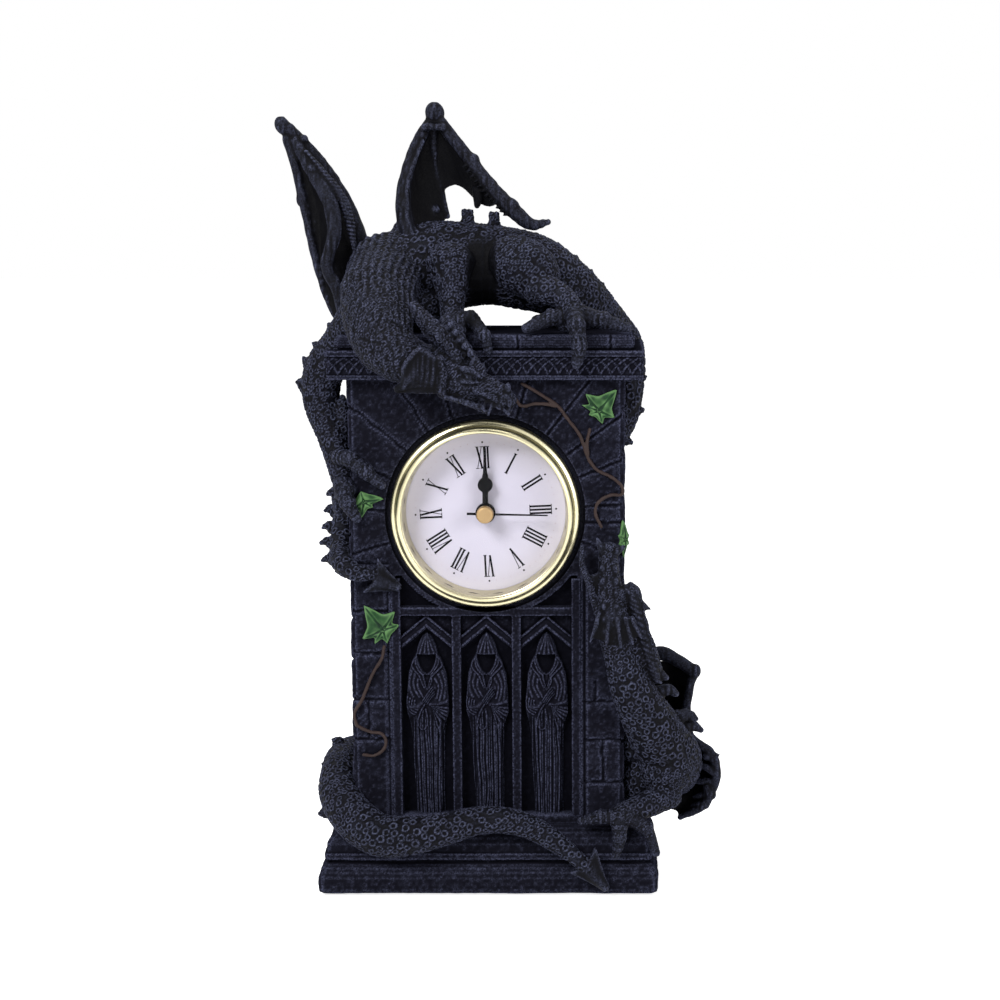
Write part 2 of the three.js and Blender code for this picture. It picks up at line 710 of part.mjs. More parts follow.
function upperDragonHead() {
  const y = corniceFront - 8;
  const at = (x, out, z) => v(left + 40 + x, y - out, slabTop + z);
  const skull = limb([at(-15, -1, -8), at(-8, 0, -10.5), at(-1, 0, -13.5), at(5, 0.2, -15.8), at(8, 0.3, -17.6)],
    [[6.4, 5.4], [6, 5], [4.6, 3.8], [3, 2.8], [2.2, 2.2]]);
  const jaw = limb([at(-11, 0, -15), at(-4, 0.3, -17.6), at(1.4, 0.3, -20.6)],
    [[2.4, 3], [1.8, 2.3], [1, 1.2]], { sides: 6 });
  const beak = limb([at(7.4, 0.3, -17.5), at(8.3, 0.3, -20.6)], [1.7, 0.6], { sides: 6, steps: 1 });
  const nose = spike(at(6.6, 0.3, -15.5), at(7.2, 0.4, -11.6), 1.5);
  const brow = mass(at(-2, 1.6, -8.6), [3.6, 2.6, 2.6], 30, [7, 5]);
  const horns = [
    limb([at(-6, 2.6, -6.5), at(-12, 3.4, 0), at(-19.6, 3, 9)], [2.5, 2.2, 0.6], { sides: 6 }),
    limb([at(-3, -2.4, -7), at(-6, -2.6, -1), at(-8.8, -2.4, 4.4)], [2, 1.6, 0.6], { sides: 6 }),
  ];
  const frillRows = [[-9.5, -3.6, -16.4], [-15, -2.6, -16.4], [-20, -6, -16], [-24, -13.6, -15.6]];
  const frill = sheet(frillRows.map(([x, high, low]) => [
    at(x, 3.2, high), at(x - 0.4, 4.2, (high + low) / 2), at(x, 3.6, low)]), 1.5);
  return [skull, jaw, beak, nose, brow, ...horns, frill];
}

function backSpikes(list, height, radius) {
  return list.map(([x, y, z, leanX, leanZ]) => spike(
    v(x, y, z), v(x + leanX * height, y, z + leanZ * height), radius));
}

function makeUpperDragon() {
  const ridge = backSpikes([
    [left + 14, 1, slabTop + 28.6, -0.1, 1], [left + 35, 3, slabTop + 31, -0.2, 1],
    [left + 42.6, 3, slabTop + 30.6, -0.1, 1], [left + 49, 3, slabTop + 29, 0.1, 1]], 4.6, 2.3);
  const armSpikes = backSpikes([
    [left - 1.6, front + 7, slabTop + 1, -0.7, 0.7], [left - 6, front + 9, slabTop - 4.6, -0.8, 0.6],
    [left - 10.6, front + 11, slabTop - 9, -0.9, 0.4], [left - 13.2, front + 12, slabTop - 15, -1, 0.2],
    [left - 12.6, front + 12, slabTop - 21, -1, 0], [left - 9.6, front + 9, slabTop - 27.6, -1, -0.2],
    [left - 7.4, front + 6, slabTop - 33.6, -1, -0.2]], 3.2, 2);
  const backBumps = backSpikes([
    [-3, 3, slabTop + 28.4, 0.25, 0.9], [3, 3, slabTop + 29, 0.25, 0.9], [14, 3.4, slabTop + 27, 0.25, 0.9],
    [20, 4, slabTop + 24, 0.25, 0.9], [25.5, 5, slabTop + 20.4, 0.25, 0.9], [30, 7, slabTop + 16, 0.25, 0.9],
    [33.4, 9, slabTop + 12, 0.25, 0.9]], 2.2, 1.6);
  return joined([
    ...upperDragonBody(), ...upperDragonLegs(), ...upperDragonArm(), ...upperDragonHead(),
    ...ridge, ...armSpikes, ...backBumps]);
}

// Wings: bones as tapered limbs with a thin membrane between them
function leftWing() {
  const bone = [
    v(left + 3, 3, slabTop + 23), v(left - 2.2, 5, slabTop + 37), v(left - 8.6, 4.5, slabTop + 47.6),
    v(left - 14.4, 3, slabTop + 54.6), v(left - 18, 2, slabTop + 58.6)];
  const edge = [
    v(left - 18.2, 2, slabTop + 56), v(left - 16.2, 1, slabTop + 49), v(left - 14, 0, slabTop + 38.5),
    v(left - 10.8, -1.6, slabTop + 23.6), v(left - 7, -3.6, slabTop + 10), v(left - 3, -6, slabTop + 1.5)];
  const finger = [
    v(left - 16, 1, slabTop + 55), v(left - 10.6, -2, slabTop + 46), v(left - 5.6, -4.6, slabTop + 37.6),
    v(left - 4, -6, slabTop + 29), v(left - 6.4, -6.4, slabTop + 19), v(left - 3.2, -7.6, slabTop + 12),
    v(left - 2, -8.4, slabTop + 3)];
  const knob = mass(v(left - 19.6, 2, slabTop + 59.4), [2.3, 2.2, 2.9], -25, [8, 6]);
  const outer = new THREE.CatmullRomCurve3(edge);
  const middle = new THREE.CatmullRomCurve3(finger);
  const inner = new THREE.CatmullRomCurve3([...bone].reverse());
  const rows = [];
  for (let i = 0; i <= 6; i += 1) {
    const t = i / 6;
    const a = outer.getPoint(t * 0.98);
    const b = middle.getPoint(t);
    const c = inner.getPoint(Math.min(t * 1.02, 1));
    const sag = a.clone().lerp(b, 0.5).add(v(0, 2.6 * Math.sin(Math.PI * t), 0));
    rows.push([a, sag, b, b.clone().lerp(c, 0.5), c]);
  }
  return joined([
    limb(bone, [3.2, 2.6, 2.3, 2.1, 2.1], { sides: 6 }),
    limb(edge, [1.7, 1.6, 1.5, 1.4, 1.2, 0.7], { sides: 5 }),
    limb(finger, [1.2, 1.3, 1.7, 1.3, 1.3, 1.1, 0.7], { sides: 5 }),
    sheet(rows, 1.5), knob]);
}

function rightWing() {
  const arm = [
    v(left + 20, -3, slabTop + 23.5), v(left + 16.4, -2.4, slabTop + 31), v(left + 15.6, -1, slabTop + 38.5),
    v(left + 16.7, 1, slabTop + 46), v(left + 20, 2.4, slabTop + 55), v(left + 25, 2.6, slabTop + 62.4)];
  const knob = mass(v(left + 24.8, 2.6, slabTop + 63.2), [3, 2.8, 3.4], 0, [8, 6]);
  const middle = [
    v(left + 24.6, 2.6, slabTop + 60), v(left + 24.4, 5.6, slabTop + 50), v(left + 26, 7, slabTop + 42),
    v(left + 28, 6, slabTop + 33)];
  const long = [
    v(left + 26.6, 2.2, slabTop + 60.4), v(left + 34.4, 0.6, slabTop + 50.6), v(left + 41, -1, slabTop + 42),
    v(left + 47.6, -2, slabTop + 35.2), v(left + 53.2, -2, slabTop + 30.8), v(left + 58.2, -1.4, slabTop + 31.6)];
  const armCurve = new THREE.CatmullRomCurve3([...arm].reverse());
  const midCurve = new THREE.CatmullRomCurve3(middle);
  const longCurve = new THREE.CatmullRomCurve3(long);
  const nearRows = [];
  const farRows = [];
  for (let i = 0; i <= 5; i += 1) {
    const t = i / 5;
    const a = armCurve.getPoint(t);
    const b = midCurve.getPoint(t);
    nearRows.push([a, a.clone().lerp(b, 0.5).add(v(0, 1.6 * Math.sin(Math.PI * t), 0)), b]);
    const reach = t * 0.86;
    const c = midCurve.getPoint(t * 0.66);
    const d = longCurve.getPoint(reach);
    const web = c.clone().lerp(d, 0.5).add(v(0, 2 * Math.sin(Math.PI * t), 2.2 * t * t));
    farRows.push([c, web, d]);
  }
  return joined([
    limb(arm, [3.4, 2.6, 2.3, 2, 1.9, 2], { sides: 6 }),
    limb(middle, [1.2, 1.1, 1, 0.8], { sides: 5 }),
    limb(long, [1.9, 2, 2.3, 2.4, 1.9, 1], { sides: 6 }),
    sheet(nearRows, 1.5), sheet(farRows, 1.5), knob]);
}

function upperTail() {
  const path = [
    v(right - 9, 9, slabTop + 6), v(right - 3.4, 19, slabTop - 1), v(right + 1, back + 9.5, slabTop - 8),
    v(right + 1.2, back + 8.5, slabTop - 20), v(right - 2, back + 7, slabTop - 32),
    v(right - 16, back + 6, slabTop - 42), v(0, back + 5.8, slabTop - 46),
    v(left + 20, back + 5.6, slabTop - 48), v(left + 2, back + 4.4, slabTop - 48),
    v(left - 5.4, back - 4, slabTop - 52), v(left - 5.8, 3, slabTop - 58),
    v(left - 4.6, front + 11, slabTop - 62.6), v(left - 2, front + 1, slabTop - 66.6),
    v(left + 2.6, front - 3, slabTop - 68.8), v(left + 8.6, front - 1.8, slabTop - 69.6)];
  const radii = [6.6, 6.2, 5.8, 5.4, 5.2, 5.2, 5.2, 5.2, 5.2, 5, 4.8, 4.4, 3.6, 2.6, 1.4];
  return limb(path, radii, { sides: 8 });
}

function upperTailSpikes() {
  return backSpikes([
    [right + 4.6, back + 8, slabTop - 17, 1, 0.2], [right + 4, back + 8, slabTop - 27, 1, 0.1],
    [right + 0.6, back + 7, slabTop - 36, 0.9, -0.4], [left - 8, back - 4, slabTop - 48.4, -1, 0.4],
    [left - 8.2, back - 9, slabTop - 53.4, -1, 0.2], [left - 8.4, 4, slabTop - 58.6, -1, 0.1],
    [left - 8.4, -2, slabTop - 63.2, -1, 0.1], [left - 7.4, front + 10, slabTop - 67, -1, 0]], 3, 2);
}

// Flat barbed tail tip: point, barb, notch, barb, drawn in the XZ plane
function arrowHead(corners, nearFace) {
  const shape = new THREE.Shape(corners.map(([x, z]) => new THREE.Vector2(x, z)));
  const head = new THREE.ExtrudeGeometry(shape, { depth: arrowThickness, bevelEnabled: false });
  head.rotateX(Math.PI / 2);
  head.translate(0, nearFace + arrowThickness, 0);
  return solidOf(head);
}

function upperArrow() {
  return arrowHead([
    [left + 15.4, slabTop - 73.7], [left + 3.9, slabTop - 74.8], [left + 7.9, slabTop - 71.1],
    [left + 8.4, slabTop - 64.7]], front - 3.4);
}

// Lower dragon, climbing the right front corner
function lowerDragonBody() {
  const trunk = limb([
    v(right - 1.4, front - 5.6, shelf + 51), v(right + 1.5, front - 4.6, shelf + 43),
    v(right + 6.4, front - 1, shelf + 33), v(right + 11, front + 4, shelf + 24),
    v(right + 14.6, front + 10, shelf + 16.5), v(right + 15, front + 17, shelf + 11)],
  [4.6, 6, 7.6, 8.6, 9, 8], { sides: 10, steps: 2 });
  const rump = limb([
    v(right + 15, front + 16, shelf + 12), v(right + 13, 6, shelf + 9), v(right + 9.5, back - 4, shelf + 8)],
  [8, 6.8, 6.4], { sides: 8 });
  const thigh = mass(v(right + 12.5, front + 5, shelf + 16), [8.4, 8, 9], 25);
  const shank = limb([
    v(right + 13, front + 2, shelf + 8.6), v(right + 6, front - 3, shelf + 6.4), v(right - 1.6, front - 6.4, shelf + 4.6)],
  [4.8, 3.9, 3.2]);
  const toes = [
    limb([v(right - 1, front - 7, shelf + 4.4), v(right - 7, front - 7.6, shelf + 4.2),
      v(right - 13.4, front - 6.6, shelf + 2.6)], [2.8, 2, 0.9]),
    limb([v(right - 1.6, front - 7.4, shelf + 4), v(right - 1.6, front - 9.8, shelf - 1.6),
      v(right - 2.6, front - 8.8, shelf - 8)], [2.8, 2.1, 0.9]),
    limb([v(right + 0.6, front - 6.6, shelf + 4.4), v(right + 6.6, front - 8, shelf + 0.6),
      v(right + 9.4, front - 8, shelf - 7.4)], [2.8, 2.1, 0.9]),
  ];
  return [trunk, rump, thigh, shank, ...toes];
}

function lowerDragonHead() {
  const at = (x, out, z) => v(right + x, front - out, shelf + z);
  const skull = limb([
    at(-2, 5, 52), at(-3, 4.8, 60), at(-4, 4.6, 68), at(-4.8, 4, 77), at(-4.8, 3.6, 84)],
  [[4, 4.4], [4.4, 5.2], [3.8, 4.4], [2.8, 3.2], [2, 2.8]], { up: v(0, -1, 0) });
  const nostrils = [
    spike(at(-6.4, 4, 83), at(-8.4, 4.6, 87.4), 1.4),
    spike(at(-3, 4, 82.6), at(0.4, 4.4, 84.6), 1.5),
  ];
  const horns = [
    limb([at(-6.6, 5.4, 64), at(-9.8, 6, 74), at(-12.8, 5.4, 83.6)], [1.7, 1.4, 0.5], { sides: 6 }),
    limb([at(-3, 4.6, 66), at(3, 3.6, 70), at(4, 3, 65), at(6.4, 3, 57), at(9.6, 2.6, 49), at(11.2, 1.6, 44)],
      [2.4, 3, 3.2, 3.2, 3, 2]),
    spike(at(5.6, 2.6, 67), at(9.6, 2.2, 64.4), 2.2),
  ];
  const frillRows = [[-10, 54.6], [-6.6, 53.6], [-2.4, 53], [1.4, 53.6], [3.6, 55]];
  const frill = sheet(frillRows.map(([x, low]) => [
    at(x * 0.55 - 1.6, 8, 63), at(x * 0.8 - 0.4, 10.6, 58), at(x, 10.2, low)]), 1.5);
  return [skull, ...nostrils, ...horns, frill];
}

function makeLowerDragon() {
  const spikes = backSpikes([
    [right + 10, front + 8, shelf + 41, 0.9, 0.5], [right + 14, front + 11, shelf + 35.6, 0.9, 0.4],
    [right + 20, front + 14, shelf + 27, 1, 0.3], [right + 21, front + 15, shelf + 22.6, 1, 0.1]], 4.4, 2);
  return joined([...lowerDragonBody(), ...lowerDragonHead(), ...spikes]);
}

function lowerWing() {
  const arm = [
    v(right + 6, back - 14, shelf + 43), v(right + 11, back - 14, shelf + 46.2),
    v(right + 17, back - 15, shelf + 43.8), v(right + 21.2, back - 15.4, shelf + 41)];
  const finger = [
    v(right + 21.4, back - 15.4, shelf + 40), v(right + 20, back - 17, shelf + 35),
    v(right + 19.2, back - 19, shelf + 28), v(right + 20.4, back - 22, shelf + 22),
    v(right + 26.6, back - 25, shelf + 17.4), v(right + 28, back - 26, shelf + 10.6),
    v(right + 24, back - 26, shelf + 1.6), v(right + 17, back - 25, shelf - 2.4)];
  const inner = [
    v(right + 7, back - 12, shelf + 42), v(right + 9, back - 11, shelf + 34), v(right + 12, back - 11, shelf + 26),
    v(right + 17, back - 12, shelf + 17), v(right + 19, back - 14, shelf + 12), v(right + 18, back - 16, shelf + 8),
    v(right + 15, back - 20, shelf + 3), v(right + 13, back - 23, shelf)];
  const outer = new THREE.CatmullRomCurve3(finger);
  const root = new THREE.CatmullRomCurve3(inner);
  const rows = [];
  for (let i = 0; i <= 6; i += 1) {
    const a = outer.getPoint(i / 6);
    const b = root.getPoint(i / 6);
    rows.push([a, a.clone().lerp(b, 0.5).add(v(1, 2, 0)), b]);
  }
  const knob = mass(v(right + 21.6, back - 15.4, shelf + 40.6), [2, 2, 2.5], 20, [7, 5]);
  return joined([
    limb(arm, [2.4, 2, 1.7, 1.6], { sides: 6 }),
    limb(finger, [1.5, 1.3, 1.3, 1.4, 1.5, 1.4, 1.3, 0.8], { sides: 5 }),
    sheet(rows, 1.5), knob,
    spike(v(right + 26, back - 25, shelf + 17), v(right + 29, back - 25.4, shelf + 17.4), 1.4),
    spike(v(right + 25.6, back - 26, shelf + 6), v(right + 26, back - 26.6, shelf + 2), 1.6)]);
}

function lowerTail() {
  const path = [
    v(right + 9.4, back - 3.6, shelf + 8), v(right + 4, back + 6, shelf + 8), v(right - 10, back + 9.4, shelf + 7.4),
    v(0, back + 9.4, shelf + 7), v(left + 12, back + 9, shelf + 7.6), v(left - 2, back + 6, shelf + 9.4),
    v(left - 6, back - 8, shelf + 11.6), v(left - 5.6, front + 14, shelf + 11.4), v(left - 4.4, front + 3, shelf + 8),
    v(left + 1, front - 6, shelf + 3.4), v(left + 9, front - 9.4, shelf - 0.6), v(left + 19, front - 10, shelf - 0.4),
    v(left + 29, front - 9.4, shelf + 1.6), v(left + 37, front - 8.6, shelf + 3.4), v(left + 45, front - 8.4, shelf + 3.6),
    v(left + 53, front - 9, shelf + 1.6), v(left + 59, front - 10, shelf - 1.6),
    v(left + 65, front - 10.6, shelf - 6), v(left + 70, front - 10.8, shelf - 10.6)];
  const radii = [6.2, 6.2, 6.2, 6.2, 6.2, 5.6, 5.4, 5.8, 6.2, 6.4, 6.4, 5.6, 4.7, 4.2, 3.9, 3.6, 3.2, 2.6, 1.8];
  return limb(path, radii, { sides: 8 });
}

function lowerTailSpikes() {
  return backSpikes([
    [left - 8, back - 10, shelf + 17, -0.9, 0.4], [left - 9.4, front + 16, shelf + 13, -1, 0.3],
    [left - 9.4, front + 9, shelf + 8.6, -1, 0], [left - 8.6, front + 1, shelf + 3, -1, -0.2]], 2.2, 2);
}

function lowerArrow() {
  return arrowHead([
    [left + 75.6, shelf - 17.1], [left + 64.2, shelf - 11.4], [left + 68.8, shelf - 9.6],
    [left + 71.8, shelf - 3.8]], front - 12);
}

// The glued dragons: what is added later is cut back by a swollen copy of what it meets
const upperClear = swollen(makeUpperDragon);
const lowerClear = swollen(makeLowerDragon);
const tailClear = swollen(lowerTail);
const upperTailClear = swollen(() => joined([upperTail(), ...upperTailSpikes()])).add(upperArrow());
const insertClear = insertCylinder(bezelRadius + glueGap, corniceFront - 10, front + recessDepth);
const ivyTools = [upperClear, lowerClear, tailClear, upperTailClear, insertClear];
addPart('upper_dragon', mainBody(makeUpperDragon().subtract(towerClear)), scales);
addPart('upper_dragon_left_wing', mainBody(cut(leftWing(), [upperClear, towerClear])), scales);
addPart('upper_dragon_right_wing', mainBody(cut(rightWing(), [upperClear, towerClear])), scales);
addPart('upper_dragon_tail', mainBody(cut(joined([upperTail(), upperArrow(), ...upperTailSpikes()]),
  [towerClear, upperClear])), scales);
addPart('lower_dragon', mainBody(cut(makeLowerDragon(), [towerClear, tailClear])), scales);
addPart('lower_dragon_wing', mainBody(cut(lowerWing(), [lowerClear, towerClear, tailClear])), scales);
addPart('lower_dragon_tail', mainBody(cut(joined([lowerTail(), lowerArrow(), ...lowerTailSpikes()]),
  [towerClear])), scales);

// Ivy: lobed leaves a little proud of the stone, and vines as round stems.
// A lobe is [angle anticlockwise from +X, length], with a notch halfway to the next one.
function leaf(lobes) {
  const points = [];
  lobes.forEach(([angle, length], i) => {
    const [nextAngle, nextLength] = lobes[(i + 1) % lobes.length];
    const halfway = angle + ((nextAngle - angle + 360) % 360) / 2;
    for (const [turn, reach] of [[angle, length], [halfway, leafNotch * Math.min(length, nextLength)]]) {
      const radians = THREE.MathUtils.degToRad(turn);
      points.push(new THREE.Vector2(reach * Math.cos(radians), reach * Math.sin(radians)));
    }
  });
  const blade = new THREE.ExtrudeGeometry(
    new THREE.Shape(points), { depth: leafThickness, bevelEnabled: false });
  blade.rotateX(Math.PI / 2);
  return blade;
}

function frontLeaf(x, z, lobes) {
  const blade = leaf(lobes);
  blade.translate(x, front - glueGap, z);
  return solidOf(blade);
}

// Leaf on the chamfer of the right front corner
function cornerLeaf(z, lobes) {
  const blade = leaf(lobes);
  const away = (cornerChamfer / 2) * Math.SQRT1_2 * 2;
  blade.rotateZ(Math.PI / 4);
  const shift = (glueGap + 0.1) * Math.SQRT1_2;
  blade.translate(right - away * Math.SQRT1_2 + shift, front + away * Math.SQRT1_2 - shift, z);
  return solidOf(blade);
}

function vine(cornerX, cornerZ, points) {
  const route = points.map(([x, z]) => v(cornerX + x, front - glueGap - vineRadius, cornerZ + z));
  return limb(route, points.map(() => vineRadius), { sides: 5, up: v(0, -1, 0) });
}

const leaves = {
  ivy_leaf_top: frontLeaf(right - 7.6, shaftTop - 9.1,
    [[50, 8.3], [129, 6.4], [161, 5.3], [202, 3.2], [286, 4.1], [336, 5.1]]),
  ivy_leaf_low: frontLeaf(left + 9.7, nicheBottom + 56.1,
    [[17, 5.1], [57, 6.7], [127, 9.3], [205, 7], [239, 5.2], [285, 4.3]]),
  ivy_leaf_hand: frontLeaf(left + 4.8, slabTop - 48.4,
    [[8, 5.9], [107, 3.2], [209, 5.4], [259, 5.1], [326, 3.1]]),
  ivy_leaf_edge: cornerLeaf(insertZ - 7.5,
    [[20, 2.4], [95, 6], [150, 2.6], [215, 2.4], [270, 5.4], [325, 3]]),
};
Object.entries(leaves).forEach(([name, solid]) => {
  addPart(name, mainBody(cut(solid, ivyTools)), leafGreen);
});

const rightVine = joined([
  vine(right, shaftTop, [
    [-29.7, -1.2], [-24.9, -4], [-19.3, -7.9], [-16.5, -11.5], [-13, -16.4], [-10.6, -22.9],
    [-8.2, -26.2], [-3.5, -28.6], [-0.8, -31.5], [-1, -33.5], [-4.1, -33.6], [-7.7, -35.7],
    [-8.6, -38.8], [-6.8, -43]]),
  vine(right, shaftTop, [
    [-31.8, -5.4], [-29.8, -7.7], [-26.1, -7.1], [-22.5, -7.2], [-19.8, -7.8]]),
  vine(right, shaftTop, [
    [-10.8, -22.4], [-11, -18.4], [-10.2, -14.4]]),
]);
const leftVine = joined([
  vine(left, nicheBottom, [
    [10, 51.2], [9.2, 47.6], [6.3, 42.6], [3.2, 35.1], [0.8, 30.6], [1.6, 27.2]]),
  vine(left, nicheBottom, [
    [1.6, 27.2], [5.5, 25.4], [8.6, 24.9], [10, 23], [9.3, 20], [6.5, 18.2], [3.4, 18.4]]),
]);
addPart('ivy_vine_right', mainBody(cut(rightVine, ivyTools)), vineBrown);
addPart('ivy_vine_left', mainBody(cut(leftVine, ivyTools)), vineBrown);

// Clock insert: heights are in front of the floor of the recess
const lipRadius = dialOpening + 0.7;
const lensRadius = lipRadius + 0.5;
const bezelBore = lensRadius + 0.4;
const lensTop = bezelHeight - 0.7;
const lensLow = lensTop - lensThickness;
const dialTop = -dialDrop;
const dialLow = dialTop - dialThickness;
const plateTop = dialLow - seatGap;
const plateLow = plateTop - plateThickness;
const flangeTop = glueGap + flangeThickness;

addPart('clock_bezel', turned([
  [flangeRadius + seatGap, glueGap], [bezelRadius, glueGap], [bezelRadius, bezelHeight - 4.1],
  [bezelRadius - 0.8, bezelHeight - 2.6], [bezelRadius - 1.3, bezelHeight - 1.6],
  [bezelRadius - 2.4, bezelHeight - 0.2], [lipRadius + 0.5, bezelHeight], [lipRadius, bezelHeight - 0.3],
  [lipRadius, lensTop + seatGap], [bezelBore, lensTop + seatGap], [bezelBore, flangeTop + seatGap],
  [flangeRadius + seatGap, flangeTop + seatGap]], 30), brass, insertGroup);

function lensProfile() {
  const steps = 3;
  const dome = (radius) => lensDome * (1 - (radius / lensRadius) ** 2);
  const profile = [[0, lensLow + lensDome]];
  for (let i = 1; i <= steps; i += 1) {
    const radius = (lensRadius * i) / steps;
    profile.push([radius, lensLow + dome(radius)]);
  }
  for (let i = steps; i >= 0; i -= 1) {
    const radius = (lensRadius * i) / steps;
    profile.push([radius, lensTop + dome(radius)]);
  }
  return profile;
}
addPart('clock_lens', turned(lensProfile(), cupFacets), clearLens, insertGroup);
addPart('dial_ring', turned([
  [dialOpening, dialTop + seatGap], [lipRadius, lensLow - seatGap], [lensRadius, lensLow - seatGap],
  [lensRadius, flangeTop + 0.6], [cupRadius - cupWall - seatGap, flangeTop + 0.3],
  [cupRadius - cupWall - seatGap, dialTop + seatGap]], cupFacets), brass, insertGroup);

const hourPipeBore = minutePipeRadius + pipeClearance;
const hourPipeRadius = hourPipeBore + pipeWall;
const minutePipeBore = secondShaftRadius + pipeClearance;
const centreHole = hourPipeRadius + pipeClearance;
const innerRadius = cupRadius - cupWall - seatGap;
addPart('clock_dial', disc(innerRadius, dialLow, dialTop, 0, 0, cupFacets)
  .subtract(disc(centreHole, dialLow - 1, dialTop + 1)), dialWhite, insertGroup);

const batteryPlace = around(batteryAngle, batteryDistance);
const motionDistance = hourWheelRadius + motionPinionRadius + meshGap;
const knobDistance = motionDistance + motionWheelRadius + settingPinionRadius + meshGap;
const knobPlace = around(motionAngle, knobDistance);
const knobShaft = 0.9;
const cup = turned([
  [0, -cupDepth], [cupRadius, -cupDepth], [cupRadius, glueGap], [flangeRadius, glueGap],
  [flangeRadius, flangeTop], [cupRadius - cupWall, flangeTop], [cupRadius - cupWall, cupFloor - cupDepth],
  [0, cupFloor - cupDepth]], cupFacets);
addPart('insert_cup', cut(cup, [
  disc(batteryRadius + seatGap, -cupDepth - 1, 0, ...batteryPlace),
  disc(knobShaft + seatGap, -cupDepth - 1, 0, ...knobPlace)]), blackPlastic, insertGroup);

function gasketProfile() {
  const inner = cupRadius + seatGap;
  const outer = boreRadius - seatGap;
  const ribs = 3;
  const pitch = 2.8;
  const profile = [[inner, -2]];
  for (let i = 0; i < ribs; i += 1) {
    const top = -2 - i * pitch;
    profile.push([outer, top], [outer, top - pitch * 0.5], [outer - 0.25, top - pitch * 0.75]);
  }
  profile.push([inner, -2 - ribs * pitch]);
  return profile.reverse();
}
addPart('fit_gasket', turned(gasketProfile(), cupFacets), rubber, insertGroup);

// Movement: levels of the wheels, counted from the plate backwards
function level(number) {
  return plateLow - 0.5 - (number - 1) * wheelSpacing;
}

function wheel(radius, number, place = [0, 0], segments = 14) {
  return disc(radius, level(number) - wheelThickness, level(number), ...place, segments);
}

const bridgeTop = level(5) - wheelThickness - 0.5;
const bridgeLow = bridgeTop - bridgeThickness;
const arborTop = plateLow - pivotGap;
const arborLow = bridgeTop + pivotGap;
const motionPlace = around(motionAngle, motionDistance);
const thirdPlace = around(thirdAngle, thirdWheelRadius + secondPinionRadius + meshGap);
const fifthDistance = secondWheelRadius + fifthPinionRadius + meshGap;
const fifthPlace = around(rotorAngle, fifthDistance);
const rotorDistance = fifthDistance + fifthWheelRadius + rotorPinionRadius + meshGap;
const rotorPlace = around(rotorAngle, rotorDistance);

addPart('movement_plate', disc(innerRadius, plateLow, plateTop, 0, 0, cupFacets)
  .subtract(disc(centreHole, plateLow - 1, plateTop + 1)), whitePlastic, insertGroup);

function makeBridge() {
  const bridgeRadius = knobDistance + 3;
  const legRadius = 1.2;
  const legs = [60, 150, 250].map((angle) => disc(
    legRadius, bridgeTop - 0.1, plateLow - seatGap, ...around(angle, bridgeRadius - 2.6), 6));
  const body = joined([disc(bridgeRadius, bridgeLow, bridgeTop, 0, 0, 18), ...legs]);
  return body.subtract(disc(knobShaft + seatGap, bridgeLow - 1, bridgeTop + 1, ...knobPlace, 12));
}
addPart('movement_bridge', makeBridge(), whitePlastic, insertGroup);

const hourHandLow = dialTop + handLift;
const minuteHandLow = hourHandLow + handSpacing;
const secondHandLow = minuteHandLow + handSpacing;

addPart('hour_wheel', joined([
  wheel(hourWheelRadius, 1),
  disc(hourPipeRadius, level(1) - wheelThickness, hourHandLow + handThickness, 0, 0, 14),
]).subtract(disc(hourPipeBore, level(2), hourHandLow + 2, 0, 0, 14)), whitePlastic, insertGroup);

// The centre wheel drives the cannon pinion by a slipping fit, so that the hands can be set
addPart('centre_wheel', wheel(centreWheelRadius, 3).subtract(
  disc(minutePipeRadius + pipeClearance, level(4), level(2), 0, 0, 14)), steel, insertGroup);
addPart('cannon_pinion', joined([
  wheel(cannonPinionRadius, 2),
  disc(minutePipeRadius, level(3) - wheelThickness - 0.2, minuteHandLow + handThickness, 0, 0, 14),
]).subtract(disc(minutePipeBore, level(4), minuteHandLow + 2, 0, 0, 12)), steel, insertGroup);

addPart('second_wheel', joined([
  wheel(secondWheelRadius, 5), wheel(secondPinionRadius, 4, [0, 0], 8),
  disc(secondShaftRadius, arborLow, secondHandLow + handThickness, 0, 0, 8),
]), whitePlastic, insertGroup);

function arboredWheel(place, wheels) {
  return joined([disc(arborRadius, arborLow, arborTop, ...place, 6), ...wheels]);
}
addPart('third_wheel', arboredWheel(thirdPlace, [
  wheel(thirdWheelRadius, 4, thirdPlace), wheel(thirdPinionRadius, 3, thirdPlace, 8),
]), whitePlastic, insertGroup);
addPart('fifth_wheel', arboredWheel(fifthPlace, [
  wheel(fifthWheelRadius, 4, fifthPlace), wheel(fifthPinionRadius, 5, fifthPlace, 8),
]), whitePlastic, insertGroup);
addPart('motion_wheel', arboredWheel(motionPlace, [
  wheel(motionWheelRadius, 2, motionPlace), wheel(motionPinionRadius, 1, motionPlace, 10),
]), whitePlastic, insertGroup);
addPart('rotor', arboredWheel(rotorPlace, [
  wheel(rotorPinionRadius, 4, rotorPlace, 8),
  disc(magnetRadius, level(3), level(1), ...rotorPlace, 12)]), steel, insertGroup);
addPart('setting_knob', joined([
  disc(knobShaft, -cupDepth - 1, arborTop, ...knobPlace, 8),
  wheel(settingPinionRadius, 2, knobPlace, 10),
  disc(knobRadius, -cupDepth - 2.2, -cupDepth - seatGap, ...knobPlace, 20)]), blackPlastic, insertGroup);

// Stator round the magnet with two arms to the ends of the coil
function turnedPlace(solid) {
  return solid.rotate([0, rotorAngle, 0]);
}
const coilDistance = rotorDistance + 6.4;
const coilRadius = 2.1;
const coilHalf = 6.2;
const coilHeight = (plateLow + bridgeTop) / 2;
const armGap = 0.25;

